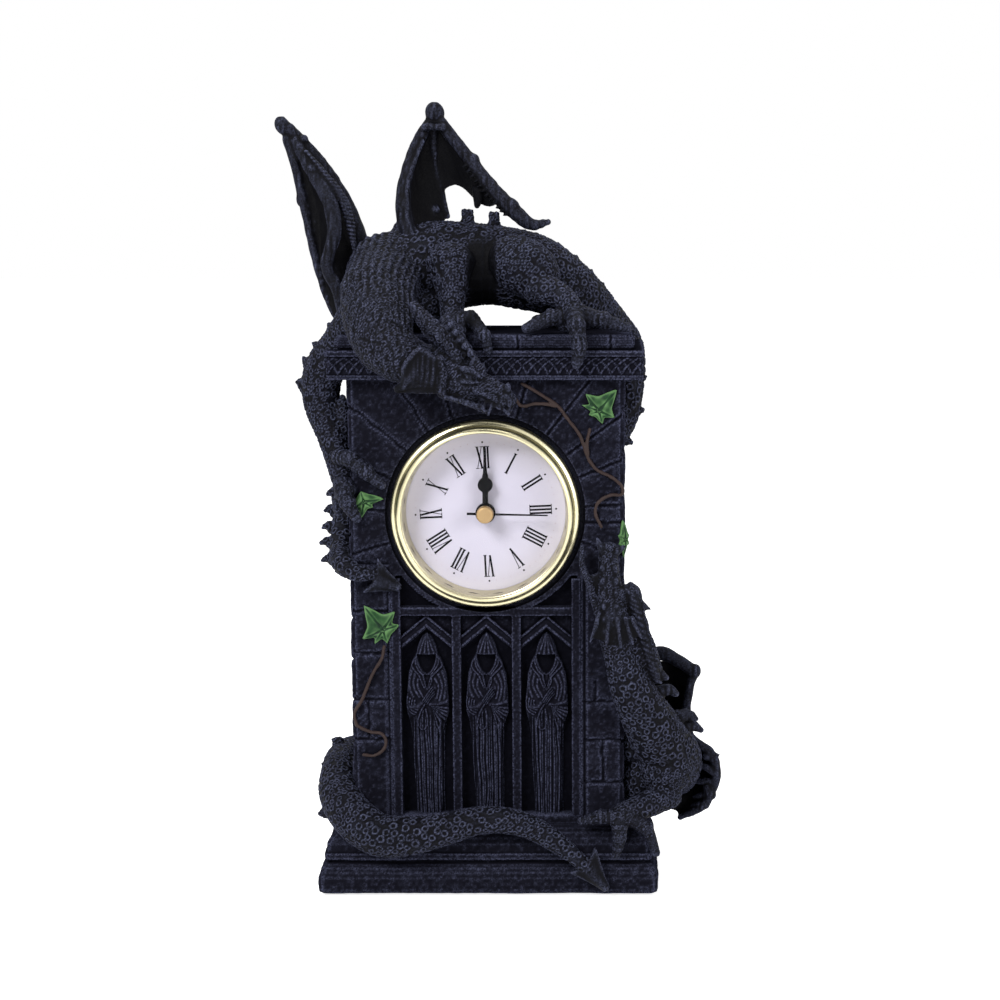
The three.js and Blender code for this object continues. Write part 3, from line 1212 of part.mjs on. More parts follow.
function makeStator() {
  const low = level(2) - wheelThickness;
  const high = level(2) + 0.2;
  const inner = fifthDistance + arborRadius + meshGap;
  const half = coilHalf + armGap + 1.8;
  const shape = outline([
    [inner, -3.6], [inner + 1.6, -half], [coilDistance + 1.4, -half], [coilDistance + 1.4, -half + 1.8],
    [coilDistance - coilRadius - 0.8, -half + 1.8], [coilDistance - coilRadius - 0.8, half - 1.8],
    [coilDistance + 1.4, half - 1.8], [coilDistance + 1.4, half], [inner + 1.6, half], [inner, 3.6]]);
  const body = plate(shape, low, high);
  return body.subtract(disc(magnetRadius + 0.4, low - 1, high + 1, rotorDistance, 0, 16));
}
addPart('stator', turnedPlace(makeStator()), steel, insertGroup);

function makeCoil() {
  const winding = new THREE.CylinderGeometry(coilRadius, coilRadius, coilHalf * 2, 12);
  winding.rotateX(Math.PI / 2);
  winding.translate(coilDistance, coilHeight, 0);
  const ends = [-1, 1].map((side) => {
    const flange = new THREE.CylinderGeometry(coilRadius + 0.35, coilRadius + 0.35, 0.8, 12);
    flange.rotateX(Math.PI / 2);
    flange.translate(coilDistance, coilHeight, side * (coilHalf - 0.4));
    return solidOf(flange);
  });
  return joined([solidOf(winding), ...ends]);
}
addPart('coil', turnedPlace(makeCoil()), copper, insertGroup);

// Board, crystal, battery and its spring behind the bridge
const boardTop = bridgeLow - seatGap;
const boardLow = boardTop - 0.8;
addPart('circuit_board', plate(outline([[-15, 2], [-3, 2], [3, 6], [3, 15], [-9, 15], [-15, 10]]),
  boardLow, boardTop), boardGreen, insertGroup);

function makeCrystal() {
  const can = new THREE.CylinderGeometry(1, 1, 6, 14);
  can.rotateZ(Math.PI / 2);
  can.translate(-6, boardLow - seatGap - 1, -8);
  return solidOf(can);
}
addPart('quartz_crystal', makeCrystal(), steel, insertGroup);
addPart('battery', disc(
  batteryRadius, -cupDepth, -cupDepth + batteryHeight, ...batteryPlace, 20), steel, insertGroup);

function makeClip() {
  const inner = batteryRadius + seatGap;
  const outer = inner + 0.4;
  const ring = new THREE.Shape();
  ring.absarc(0, 0, outer, 0, Math.PI, false);
  ring.absarc(0, 0, inner, Math.PI, 0, true);
  const strip = new THREE.ExtrudeGeometry(ring, { depth: 3, bevelEnabled: false, curveSegments: 7 });
  strip.rotateZ(THREE.MathUtils.degToRad(batteryAngle + 90));
  strip.rotateX(-Math.PI / 2);
  strip.translate(batteryPlace[0], -cupDepth + cupFloor + seatGap, batteryPlace[1]);
  return solidOf(strip);
}
addPart('battery_clip', makeClip(), steel, insertGroup);

// Hands, drawn upright and then turned to the time shown
function hand(shape, low, turn, bore) {
  const blade = plate(shape, low, low + handThickness, 4);
  const hub = disc(handHubRadius, low, low + handThickness, 0, 0, 16);
  const drilled = joined([blade, hub]).subtract(disc(bore, low - 1, low + 1, 0, 0, 14));
  return drilled.rotate([0, turn, 0]);
}

const dialTurn = 2.5;
const secondTurn = -91.2;
const ballPlace = 8.3;
const ballRadius = 2.15;
const stemHalf = 0.8;
const spadeHalf = 1.35;

function spade(length, ball, waist) {
  const shape = new THREE.Shape();
  shape.moveTo(-stemHalf, 0);
  shape.lineTo(stemHalf, 0);
  shape.lineTo(stemHalf, ball - ballRadius);
  shape.absarc(0, ball, ballRadius, -Math.PI / 3, Math.PI / 3, false);
  shape.lineTo(waist, ball + ballRadius + 0.9);
  shape.quadraticCurveTo(spadeHalf, ball + ballRadius + 1.6, 0, length);
  shape.quadraticCurveTo(-spadeHalf, ball + ballRadius + 1.6, -waist, ball + ballRadius + 0.9);
  shape.absarc(0, ball, ballRadius, (2 * Math.PI) / 3, (4 * Math.PI) / 3, false);
  shape.lineTo(-stemHalf, ball - ballRadius);
  return shape;
}
addPart('hour_hand', hand(spade(hourHandLength, ballPlace, 0.5), hourHandLow, dialTurn,
  hourPipeRadius + pivotGap), handBlack, insertGroup);
addPart('minute_hand', hand(spade(minuteHandLength, ballPlace, 0.4), minuteHandLow, dialTurn,
  minutePipeRadius + pivotGap), handBlack, insertGroup);

function makeSecondHand() {
  const half = 0.39;
  const needle = plate(outline([[-half, -secondHandTail], [half, -secondHandTail], [half * 0.6, secondHandLength],
    [-half * 0.6, secondHandLength]]), secondHandLow, secondHandLow + handThickness);
  const hub = disc(capRadius, secondHandLow, secondHandLow + handThickness + capHeight, 0, 0, 18);
  const socket = disc(secondShaftRadius + pivotGap, secondHandLow - 1,
    secondHandLow + handThickness + pivotGap, 0, 0, 12);
  return joined([needle, hub]).subtract(socket).rotate([0, secondTurn, 0]);
}
addPart('second_hand', makeSecondHand(), brass, insertGroup);

export default model;
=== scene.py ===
# Dragon mantel clock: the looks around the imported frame.
# Lengths are in millimetres until a mesh is made, which is then scaled to metres.
import math

import bmesh
import bpy
import numpy as np
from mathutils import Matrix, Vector
from mathutils.kdtree import KDTree


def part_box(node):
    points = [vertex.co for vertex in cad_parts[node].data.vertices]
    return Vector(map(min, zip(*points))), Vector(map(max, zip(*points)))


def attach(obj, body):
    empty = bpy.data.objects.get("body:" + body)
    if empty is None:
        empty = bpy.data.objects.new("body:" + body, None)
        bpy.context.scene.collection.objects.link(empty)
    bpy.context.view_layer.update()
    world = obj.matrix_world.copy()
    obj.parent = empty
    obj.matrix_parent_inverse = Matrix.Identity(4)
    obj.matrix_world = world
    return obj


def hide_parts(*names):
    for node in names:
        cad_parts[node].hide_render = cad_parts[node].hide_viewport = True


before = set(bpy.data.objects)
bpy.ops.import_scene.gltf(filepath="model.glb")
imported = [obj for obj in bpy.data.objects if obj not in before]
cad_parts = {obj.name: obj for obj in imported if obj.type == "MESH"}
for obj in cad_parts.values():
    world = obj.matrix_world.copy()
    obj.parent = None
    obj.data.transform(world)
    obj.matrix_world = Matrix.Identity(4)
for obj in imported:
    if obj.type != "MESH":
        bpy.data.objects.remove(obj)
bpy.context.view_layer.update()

MM = 0.001


def box_mm(node):
    """Two corners of a CAD node's box, in millimetres."""
    low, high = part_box(node)
    return np.array(low) / MM, np.array(high) / MM


# Sizes of the tower, from the frame
tower_low, tower_high = box_mm("stone_tower")
felt_low, felt_high = box_mm("base_felt")
plinth_x = tower_high[0]
plinth_y = tower_high[1]
plinth_bottom = tower_low[2]
slab_top = tower_high[2]
shaft_x = plinth_x - 10
shaft_y = plinth_y - 8
left, right, front, back = -shaft_x, shaft_x, -shaft_y, shaft_y
cornice_height = 12.8
shaft_top = slab_top - cornice_height
ledge_top = plinth_bottom + 12
cove_height = 7.2
shelf = ledge_top + cove_height
cornice_x = shaft_x + 5.5
cornice_y = shaft_y + 4
cornice_front = -cornice_y

# Niche and clock, from the frame
niche_x = -0.4
niche_bottom = shelf + 2.8
niche_top = niche_bottom + 60.1
niche_depth = 3.6
bar_height = 2.5
bay_pitch = 17.6
mullion = 2.6
bezel_low, bezel_high = box_mm("clock_bezel")
clock_x = (bezel_low[0] + bezel_high[0]) / 2
clock_z = (bezel_low[2] + bezel_high[2]) / 2
recess_radius = 29.1
recess_floor = front + 1.5
bore_radius = 25.8
bore_end = back - 5


# Curves and noise

def noise(points, size, seed=0):
    """Smooth value noise from -1 to 1 with features as large as size."""
    place = np.asarray(points, float) / size
    cell = np.floor(place).astype(np.int64)
    share = place - cell
    share = share * share * (3 - 2 * share)
    total = np.zeros(len(place))
    for corner in np.ndindex(2, 2, 2):
        spot = cell + corner
        key = spot[:, 0] * 73856093 ^ spot[:, 1] * 19349663 ^ spot[:, 2] * 83492791 ^ (seed * 2654435761)
        key = ((key ^ (key >> 13)) * 1274126177) & 0x7FFFFFFF
        key = key ^ (key >> 15)
        weight = np.prod(np.where(corner, share, 1 - share), axis=1)
        total += weight * ((key & 0xFFFF) / 32767.5 - 1)
    return total


def smoothstep(low, high, value):
    """Soft step from 0 at low to 1 at high."""
    share = np.clip((value - low) / (high - low), 0, 1)
    return share * share * (3 - 2 * share)


def spline(points, per=6):
    """Centripetal Catmull-Rom curve; columns after the third are carried along."""
    points = np.asarray(points, float)
    ends = np.vstack([2 * points[0] - points[1], points, 2 * points[-1] - points[-2]])
    out = []
    for i in range(len(points) - 1):
        p0, p1, p2, p3 = ends[i:i + 4]
        gaps = [max(np.linalg.norm((b - a)[:3]), 1e-6) ** 0.5 for a, b in ((p0, p1), (p1, p2), (p2, p3))]
        d0, d1, d2 = gaps
        m1 = ((p1 - p0) / d0 - (p2 - p0) / (d0 + d1) + (p2 - p1) / d1) * d1
        m2 = ((p2 - p1) / d1 - (p3 - p1) / (d1 + d2) + (p3 - p2) / d2) * d1
        for k in range(per):
            t = k / per
            out.append((2 * t ** 3 - 3 * t ** 2 + 1) * p1 + (t ** 3 - 2 * t ** 2 + t) * m1
                       + (-2 * t ** 3 + 3 * t ** 2) * p2 + (t ** 3 - t ** 2) * m2)
    out.append(points[-1])
    return np.array(out)


def spots(x0, y0, z0, rows):
    """Points given by their distances from x0, y0 and z0, in millimetres."""
    return [(x0 + x, y0 + y, z0 + z) for x, y, z in rows]


def pair(radius):
    return tuple(radius) if isinstance(radius, (tuple, list)) else (radius, radius)


# Mesh making

def make_object(name, points, faces, smooth=True, turn_out=True):
    """Object from points in millimetres, with its faces turned outwards."""
    mesh = bpy.data.meshes.new(name)
    mesh.from_pydata((np.asarray(points, float) * MM).tolist(), [], faces)
    mesh.validate()
    if turn_out:
        work = bmesh.new()
        work.from_mesh(mesh)
        bmesh.ops.recalc_face_normals(work, faces=work.faces)
        work.to_mesh(mesh)
        work.free()
    if smooth:
        mesh.shade_smooth()
    else:
        mesh.shade_flat()
    obj = bpy.data.objects.new(name, mesh)
    bpy.context.scene.collection.objects.link(obj)
    return obj


def apply_modifiers(obj):
    """Puts the mesh that the modifiers give in the place of the object's own."""
    graph = bpy.context.evaluated_depsgraph_get()
    mesh = bpy.data.meshes.new_from_object(obj.evaluated_get(graph), depsgraph=graph)
    old = obj.data
    obj.modifiers.clear()
    obj.data = mesh
    mesh.name = obj.name
    bpy.data.meshes.remove(old)


def boolean(obj, cutter):
    """Cuts cutter away from obj."""
    modifier = obj.modifiers.new("cut", "BOOLEAN")
    modifier.operation = "DIFFERENCE"
    modifier.solver = "MANIFOLD"
    modifier.object = cutter
    apply_modifiers(obj)
    obj.data.shade_smooth()


def weld(obj, distance):
    """Joins points that lie closer than a distance in millimetres."""
    modifier = obj.modifiers.new("weld", "WELD")
    modifier.merge_threshold = distance * MM
    apply_modifiers(obj)


def drop(obj):
    bpy.data.objects.remove(obj)


def ring_faces(rings, count):
    """Faces of a closed body made of rings of count points, with both ends."""
    faces = []
    for r in range(rings - 1):
        for i in range(count):
            a, b = r * count + i, r * count + (i + 1) % count
            faces.append((a, b, b + count, a + count))
    faces.append(tuple(reversed(range(count))))
    faces.append(tuple(range((rings - 1) * count, rings * count)))
    return faces


def slab_faces(count, start=0):
    """Faces of an outline of count points and its copy behind it."""
    near = range(start, start + count)
    far = range(start + count, start + 2 * count)
    faces = [tuple(near), tuple(reversed(far))]
    for i in range(count):
        j = (i + 1) % count
        faces.append((near[j], near[i], far[i], far[j]))
    return faces


def search_tree(points):
    """Finds the nearest of the points, by its number."""
    tree = KDTree(len(points))
    for i, point in enumerate(points):
        tree.insert(point, i)
    tree.balance()
    return tree


# Each kind of skin: size of its scales, how strongly rings, ribs and strands show, how much painted shade
# darkens it and keeps the dry brush off
SCALES = (2.0, 1.0, 0.0, 0.0, 0.0)
SMALL_SCALES = (1.6, 0.9, 0.0, 0.0, 0.0)
HEAD_SCALES = (1.1, 0.6, 0.0, 0.3, 0.0)
STRANDS = (1.5, 0.5, 0.0, 1.0, 0.0)
HORN = (1.5, 0.0, 0.0, 0.6, 0.0)
CLAW = (1.5, 0.0, 0.7, 0.35, 0.0)
SMOOTH = (1.5, 0.0, 0.0, 0.15, 0.0)
MEMBRANE = (1.5, 0.0, 0.0, 0.35, 0.95)


# Direction that the cross-section of a limb on the front counts as up
FORWARD = (0, -1, 0)


class Clay:
    """Closed lumps that are later fused into one body."""

    def __init__(self):
        self.points = []
        self.faces = []
        self.marks = []

    def add(self, points, faces, along, kind):
        start = sum(len(p) for p in self.points)
        self.points.append(np.asarray(points, float))
        self.faces += [tuple(start + i for i in face) for face in faces]
        marks = np.empty((len(points), 6))
        marks[:, :5] = kind
        marks[:, 5] = along
        self.marks.append(marks)

    def tube(self, path, radii, kind=SCALES, up=(0, 0, 1), sides=14, per=6):
        """Round limb along a curve; a radius may be a pair, along up and across it."""
        rows = spline([list(p) + list(pair(r)) for p, r in zip(path, radii)], per)
        centres = rows[:, :3]
        tangents = np.gradient(centres, axis=0)
        tangents /= np.linalg.norm(tangents, axis=1)[:, None]
        lengths = np.r_[0, np.cumsum(np.linalg.norm(np.diff(centres, axis=0), axis=1))]
        normal = np.array(up, float)
        if abs(normal @ tangents[0]) > 0.9:
            normal = np.array([1.0, 0, 0])
        angles = np.arange(sides) / sides * math.tau
        rings = []
        along = []
        cap = [math.radians(a) for a in (80, 55, 28)]

        def ring(centre, tangent, high, wide, place):
            side = np.cross(tangent, normal)
            rings.append(centre + np.outer(high * np.cos(angles), normal)
                         + np.outer(wide * np.sin(angles), side))
            along.append(np.full(sides, place))

        for i, (centre, tangent) in enumerate(zip(centres, tangents)):
            normal = normal - (normal @ tangent) * tangent
            normal /= np.linalg.norm(normal)
            high, wide = np.maximum(rows[i, 3:5], 0.15)
            depth = min(high, wide) * 0.8
            if i == 0:
                for a in cap:
                    ring(centre - tangent * depth * math.sin(a), tangent,
                         high * math.cos(a), wide * math.cos(a), 0)
            ring(centre, tangent, high, wide, lengths[i])
            if i == len(centres) - 1:
                for a in reversed(cap):
                    ring(centre + tangent * depth * math.sin(a), tangent,
                         high * math.cos(a), wide * math.cos(a), lengths[i])
        self.add(np.vstack(rings), ring_faces(len(rings), sides), np.concatenate(along), kind)

    def ball(self, centre, radii, kind=SCALES, turn=0, steps=12):
        """Egg-shaped lump, turned about Y by some degrees."""
        points = [(0, 0, 1.0)]
        for i in range(1, steps):
            a = math.pi * i / steps
            for j in range(2 * steps):
                b = math.pi * j / steps
                points.append((math.sin(a) * math.cos(b), math.sin(a) * math.sin(b), math.cos(a)))
        points.append((0, 0, -1.0))
        points = np.array(points) * np.array(radii)
        c, s = math.cos(math.radians(turn)), math.sin(math.radians(turn))
        points = points @ np.array([[c, 0, -s], [0, 1, 0], [s, 0, c]]) + np.array(centre, float)
        around = 2 * steps
        last = len(points) - 1
        faces = []
        for j in range(around):
            k = (j + 1) % around
            faces.append((0, 1 + j, 1 + k))
            faces.append((last, last - around + k, last - around + j))
            for i in range(steps - 2):
                a = 1 + i * around
                faces.append((a + j, a + around + j, a + around + k, a + k))
        self.add(points, faces, points[:, 0], kind)

    def thorn(self, base, tip, radius, kind=HORN, hook=0.0, flat=1.0):
        """Pointed spike; hook bends it downwards, flat thins it across Y."""
        base, tip = np.array(base, float), np.array(tip, float)
        middle = (base + tip) / 2 + np.array([0, 0, hook])
        start = base - (tip - base) * 0.35
        self.tube([start, base, middle, tip],
                  [(radius, radius * flat), (radius, radius * flat),
                   (radius * 0.68, radius * 0.68 * flat), (radius * 0.16, radius * 0.16)],
                  kind, up=(0, 0, 1), sides=10, per=4)

    def web(self, rows, thickness, kind=MEMBRANE, fine=4):
        """Curved sheet through rows of points."""
        rows = np.array([spline(row, fine) for row in rows])
        grid = np.array([spline(rows[:, c], fine) for c in range(rows.shape[1])]).transpose(1, 0, 2)
        du = np.gradient(grid, axis=0)
        dv = np.gradient(grid, axis=1)
        normals = np.cross(du, dv)
        normals /= np.maximum(np.linalg.norm(normals, axis=2), 1e-6)[:, :, None]
        high, wide = grid.shape[:2]
        top = (grid + normals * thickness / 2).reshape(-1, 3)
        low = (grid - normals * thickness / 2).reshape(-1, 3)
        under = high * wide
        faces = []
        for r in range(high - 1):
            for c in range(wide - 1):
                a = r * wide + c
                faces.append((a, a + 1, a + wide + 1, a + wide))
                faces.append((under + a, under + a + wide, under + a + wide + 1, under + a + 1))
        rim = [c for c in range(wide - 1)]
        rim += [r * wide + wide - 1 for r in range(high - 1)]
        rim += [(high - 1) * wide + c for c in range(wide - 1, 0, -1)]
        rim += [r * wide for r in range(high - 1, 0, -1)]
        for i, a in enumerate(rim):
            b = rim[(i + 1) % len(rim)]
            faces.append((b, a, under + a, under + b))
        steps = np.linalg.norm(np.diff(grid, axis=0), axis=2)
        lengths = np.cumsum(np.r_[np.zeros((1, wide)), steps], axis=0)
        self.add(np.vstack([top, low]), faces, np.tile(lengths.reshape(-1), 2), kind)

    def box(self, low, high, kind=MEMBRANE):
        x0, y0, z0 = low
        x1, y1, z1 = high
        points = [(x, y, z) for x in (x0, x1) for y in (y0, y1) for z in (z0, z1)]
        faces = [(0, 1, 3, 2), (4, 6, 7, 5), (0, 4, 5, 1), (2, 3, 7, 6), (0, 2, 6, 4), (1, 5, 7, 3)]
        self.add(points, faces, [p[2] for p in points], kind)

    def prism(self, outline, near, far, kind=MEMBRANE):
        """Extruded outline of (x, z) points between two depths."""
        points = [(x, near, z) for x, z in outline] + [(x, far, z) for x, z in outline]
        self.add(points, slab_faces(len(outline)), [p[2] for p in points], kind)

    def fuse(self, name, voxel):
        """One closed body of all the lumps, with the marks of the nearest lump on every point."""
        obj = make_object(name, np.vstack(self.points), self.faces, turn_out=False)
        remesh = obj.modifiers.new("fuse", "REMESH")
        remesh.mode = "VOXEL"
        remesh.voxel_size = voxel * MM
        remesh.use_smooth_shade = True
        apply_modifiers(obj)
        skin = Skin(obj)
        tree = search_tree(np.vstack(self.points))
        nearest = np.array([tree.find(p)[1] for p in skin.points])
        skin.marks = np.vstack(self.marks)[nearest]
        return skin


class Skin:
    """Numpy access to a mesh for sculpting, in millimetres."""

    def __init__(self, obj):
        self.obj = obj
        mesh = obj.data
        count = len(mesh.vertices)
        self.points = np.empty(count * 3)
        mesh.vertices.foreach_get("co", self.points)
        self.points = self.points.reshape(-1, 3) / MM
        edges = np.empty(len(mesh.edges) * 2, np.int64)
        mesh.edges.foreach_get("vertices", edges)
        self.a, self.b = edges.reshape(-1, 2).T
        self.degree = np.maximum(np.bincount(np.r_[self.a, self.b], minlength=count), 1)
        self.marks = None

    def neighbours(self, values):
        """Mean of each point's neighbours."""
        values = np.asarray(values, float)
        if values.ndim == 2:
            return np.column_stack([self.neighbours(column) for column in values.T])
        count = len(self.points)
        total = np.bincount(self.a, values[self.b], count) + np.bincount(self.b, values[self.a], count)
        return total / self.degree

    def blur(self, values, times, share=0.6):
        for _ in range(times):
            values = values * (1 - share) + self.neighbours(values) * share
        return values

    def relax(self, times, share=0.5):
        self.points = self.blur(self.points, times, share)

    def write(self):
        mesh = self.obj.data
        mesh.vertices.foreach_set("co", (self.points * MM).ravel())
        mesh.update()

    def normals(self):
        self.write()
        out = np.empty(len(self.points) * 3)
        self.obj.data.vertex_normals.foreach_get("vector", out)
        return out.reshape(-1, 3)

    def push(self, amount, normals=None):
        if normals is None:
            normals = self.normals()
        self.points = self.points + normals * np.asarray(amount)[:, None]

    def store(self, name, values):
        attribute = self.obj.data.attributes.new(name, "FLOAT", "POINT")
        attribute.data.foreach_set("value", np.asarray(values, np.float32))

    def convexity(self):
        """Height of each point over its neighbours, as a share of their distance."""
        normals = self.normals()
        reach = np.linalg.norm(self.points[self.a] - self.points[self.b], axis=1)
        count = len(self.points)
        spacing = (np.bincount(self.a, reach, count) + np.bincount(self.b, reach, count)) / self.degree
        away = np.einsum("ij,ij->i", self.points - self.neighbours(self.points), normals)
        return away / np.maximum(spacing, 1e-3)

    def paint(self, gain=6.0, wide_gain=2.0, deep=0.0):
        """Stores where a dry brush would leave colour, and as hollow where painted shade darkens creases;
        deep marks places painted dark as shade, which the brush never reaches.
        """
        sharp = self.convexity()
        wide = self.blur(sharp, 4)
        self.store("brush", np.clip((sharp * gain + wide * wide_gain) * (1 - deep), 0, 1))
        # hollow is painted shade: concave places, and the places marked deep, take a darker colour
        self.store("hollow", np.clip(np.maximum(-sharp * gain - wide * wide_gain, deep), 0, 1))


# How strongly fine and wide edges take the dry brush, and fine and wide hollows the painted shade, on plain
# stone
STONE_BRUSH_AND_SHADE = (5.0, 3.0)


def scatter(points, pitch, chosen, seed):
    """Places on a surface that stay their own pitch apart, picked in a seeded random order."""
    order = np.random.RandomState(seed).permutation(np.flatnonzero(chosen))
    cell = float(pitch.max())
    cells = {}
    kept = []
    coords = points.tolist()
    keys = np.floor(points / cell).astype(int).tolist()
    steps = [(i, j, k) for i in (-1, 0, 1) for j in (-1, 0, 1) for k in (-1, 0, 1)]
    for index in order.tolist():
        x, y, z = coords[index]
        kx, ky, kz = keys[index]
        limit = pitch[index] ** 2
        free = True
        for i, j, k in steps:
            for ox, oy, oz in cells.get((kx + i, ky + j, kz + k), ()):
                if (ox - x) ** 2 + (oy - y) ** 2 + (oz - z) ** 2 < limit:
                    free = False
                    break
            if not free:
                break
        if free:
            cells.setdefault((kx, ky, kz), []).append((x, y, z))
            kept.append(index)
    return np.array(kept)


def ring_scales(skin, seed, relief=0.38):
    """Raised rings with a pit in the middle, spread over the points that are marked for them."""
    pitch = skin.blur(skin.marks[:, 0], 3) * (1 + 0.32 * noise(skin.points, 5.0, seed))
    strength = np.clip(skin.blur(skin.marks[:, 1], 3), 0, 1)
    centres = scatter(skin.points, pitch, strength > 0.25, seed)
    spread = np.full(len(skin.points), 2.0)
    if len(centres) > 3:
        tree = search_tree(skin.points[centres])
        reach = np.array([tree.find_n(skin.points[c], 3)[1:] for c in centres], dtype=object)
        radius = np.array([0.25 * (row[0][2] + row[1][2]) for row in reach])
        found = [tree.find(p) for p in skin.points]
        nearest = np.array([f[1] for f in found])
        distance = np.array([f[2] for f in found])
        spread = distance / radius[nearest] * (1 + 0.22 * noise(skin.points, 0.7, seed + 1))
    ridge = np.exp(-((spread - 0.7) / 0.24) ** 2)
    pit = np.exp(-(spread / 0.36) ** 2)
    worn = 0.75 + 0.35 * noise(skin.points, 2.6, seed + 2)
    skin.push(relief * strength * worn * (ridge - 0.6 * pit - 0.3))
    skin.store("spread", np.clip(spread, 0, 2))
    skin.store("rings", strength)


def ribs_and_strands(skin, depth=0.22):
    """Cross ribs on claws and tails, and fine strands along horns and membranes."""
    along = skin.marks[:, 5]
    ribs = np.clip(skin.blur(skin.marks[:, 2], 2), 0, 1)
    strands = np.clip(skin.blur(skin.marks[:, 3], 2), 0, 1)
    wave = np.cos(along / 1.5 * math.tau)
    lines = noise(skin.points * np.array([1, 1, 0.25]), 0.9, 5)
    skin.push(depth * ribs * wave * 0.5 + depth * strands * lines)


def sculpt(skin, seed, depth=0.28):
    """Scales, ribs, strands, the dry-brushed paint and the painted shade in hollows on a fused body."""
    skin.relax(2)
    ring_scales(skin, seed)
    ribs_and_strands(skin, depth)
    skin.write()
    skin.paint(4.0, 1.5, skin.blur(skin.marks[:, 4], 3))


# Materials

def srgb(red, green, blue):
    """Linear colour of an eight-bit screen colour."""
    return tuple(((c / 255 + 0.055) / 1.055) ** 2.4 if c > 10 else c / 255 / 12.92
                 for c in (red, green, blue)) + (1.0,)


class Finish:
    """A procedural material around one Principled BSDF."""

    def __init__(self, name, roughness=0.6, metallic=0.0, specular=0.5):
        self.material = bpy.data.materials.new(name)
        self.material.use_nodes = True
        self.tree = self.material.node_tree
        self.shader = self.tree.nodes["Principled BSDF"]
        self.shader.inputs["Roughness"].default_value = roughness
        self.shader.inputs["Metallic"].default_value = metallic
        self.shader.inputs["Specular IOR Level"].default_value = specular
        self.place = self.node("ShaderNodeTexCoord").outputs["Object"]
        self.bumped = None

    def node(self, kind, **values):
        node = self.tree.nodes.new(kind)
        for key, value in values.items():
            if key in node.inputs:
                node.inputs[key].default_value = value
            else:
                setattr(node, key, value)
        return node

    def link(self, source, target):
        self.tree.links.new(source, target)
        return target

    def noise(self, size, detail=3.0, rough=0.6, stretch=None):
        """Noise with features of about size millimetres, from 0 to 1."""
        node = self.node("ShaderNodeTexNoise", Scale=1 / (size * MM), Detail=detail, Roughness=rough)
        place = self.place
        if stretch is not None:
            mapping = self.node("ShaderNodeMapping", Scale=stretch)
            self.link(place, mapping.inputs["Vector"])
            place = mapping.outputs["Vector"]
        self.link(place, node.inputs["Vector"])
        return node.outputs["Fac"]

    def attribute(self, name):
        return self.node("ShaderNodeAttribute", attribute_name=name).outputs["Fac"]

    def between(self, value, low, high, to_low=0.0, to_high=1.0):
        node = self.node("ShaderNodeMapRange", interpolation_type="SMOOTHSTEP")
        self.link(value, node.inputs["Value"])
        node.inputs["From Min"].default_value = low
        node.inputs["From Max"].default_value = high
        node.inputs["To Min"].default_value = to_low
        node.inputs["To Max"].default_value = to_high
        return node.outputs["Result"]

    def math(self, operation, a, b, clamp=False):
        node = self.node("ShaderNodeMath", operation=operation, use_clamp=clamp)
        for value, socket in ((a, node.inputs[0]), (b, node.inputs[1])):
            if isinstance(value, (int, float)):
                socket.default_value = value
            else:
                self.link(value, socket)
        return node.outputs[0]

    def mix(self, share, a, b):
        node = self.node("ShaderNodeMix", data_type="RGBA")
        self.link(share, node.inputs["Factor"])
        for value, socket in ((a, node.inputs[6]), (b, node.inputs[7])):
            if isinstance(value, tuple):
                socket.default_value = value
            else:
                self.link(value, socket)
        return node.outputs[2]

    def colour(self, value):
        self.link(value, self.shader.inputs["Base Color"])

    def roughness(self, value):
        self.link(value, self.shader.inputs["Roughness"])

    def bump(self, height, depth, strength=1.0):
        """Relief of depth millimetres from a height of 0 to 1."""
        node = self.node("ShaderNodeBump", Distance=depth * MM, Strength=strength)
        self.link(height, node.inputs["Height"])
        if self.bumped is not None:
            self.link(self.bumped, node.inputs["Normal"])
        self.bumped = node.outputs["Normal"]
        self.link(self.bumped, self.shader.inputs["Normal"])


def resin(name, dark, brushed, grit=0.05, specular=0.0, rings=False, clouds=0.6):
    """Dark cast resin with a paler dry-brushed colour on everything that stands proud, and painted shade in
    its hollows.
    """
    finish = Finish(name, roughness=0.6, specular=specular)
    cloud = finish.noise(6.0, 4)
    speck = finish.noise(0.5, 3, 0.7)
    fine = finish.noise(0.16, 2, 0.7)
    worn = finish.math("MULTIPLY", finish.attribute("brush"), finish.between(speck, 0.35, 0.66))
    veil = finish.between(cloud, 0.48, 0.78, 0.0, 0.2)
    # Where the hollows carry painted shade, the cloudy veil is left out
    unshaded = finish.between(finish.attribute("hollow"), 0.1, 0.7, 1.0, 0.0)
    veil = finish.math("MULTIPLY", finish.math("MULTIPLY", veil, unshaded), finish.between(fine, 0.4, 0.6))
    share = finish.math("ADD", worn, veil, clamp=True)
    if rings:
        spread = finish.attribute("spread")
        rise = finish.between(spread, 0.36, 0.66)
        fall = finish.between(spread, 0.8, 1.08, 1.0, 0.0)
        ridge = finish.math("MULTIPLY", rise, fall)
        shown = finish.math("MULTIPLY", ridge, finish.attribute("rings"))
        patch = finish.between(finish.noise(2.2, 4), 0.4, 0.68, 0.0, 0.4)
        shown = finish.math("MULTIPLY", shown, patch)
        shown = finish.math("MULTIPLY", shown, finish.between(fine, 0.3, 0.6))
        share = finish.math("ADD", share, shown, clamp=True)
        finish.bump(finish.math("MULTIPLY", ridge, finish.attribute("rings")), 0.22)
    shade = finish.mix(cloud, dark, tuple(clouds * c for c in dark[:3]) + (1.0,))
    # Painted shade: the colour darkens to under half in concave places and in the places marked deep
    shade = finish.mix(finish.attribute("hollow"), shade, tuple(0.45 * c for c in dark[:3]) + (1.0,))
    finish.colour(finish.mix(share, shade, brushed))
    finish.bump(speck, grit * 2)
    finish.bump(fine, grit)
    finish.roughness(finish.between(speck, 0.3, 0.7, 0.52, 0.72))
    return finish.material


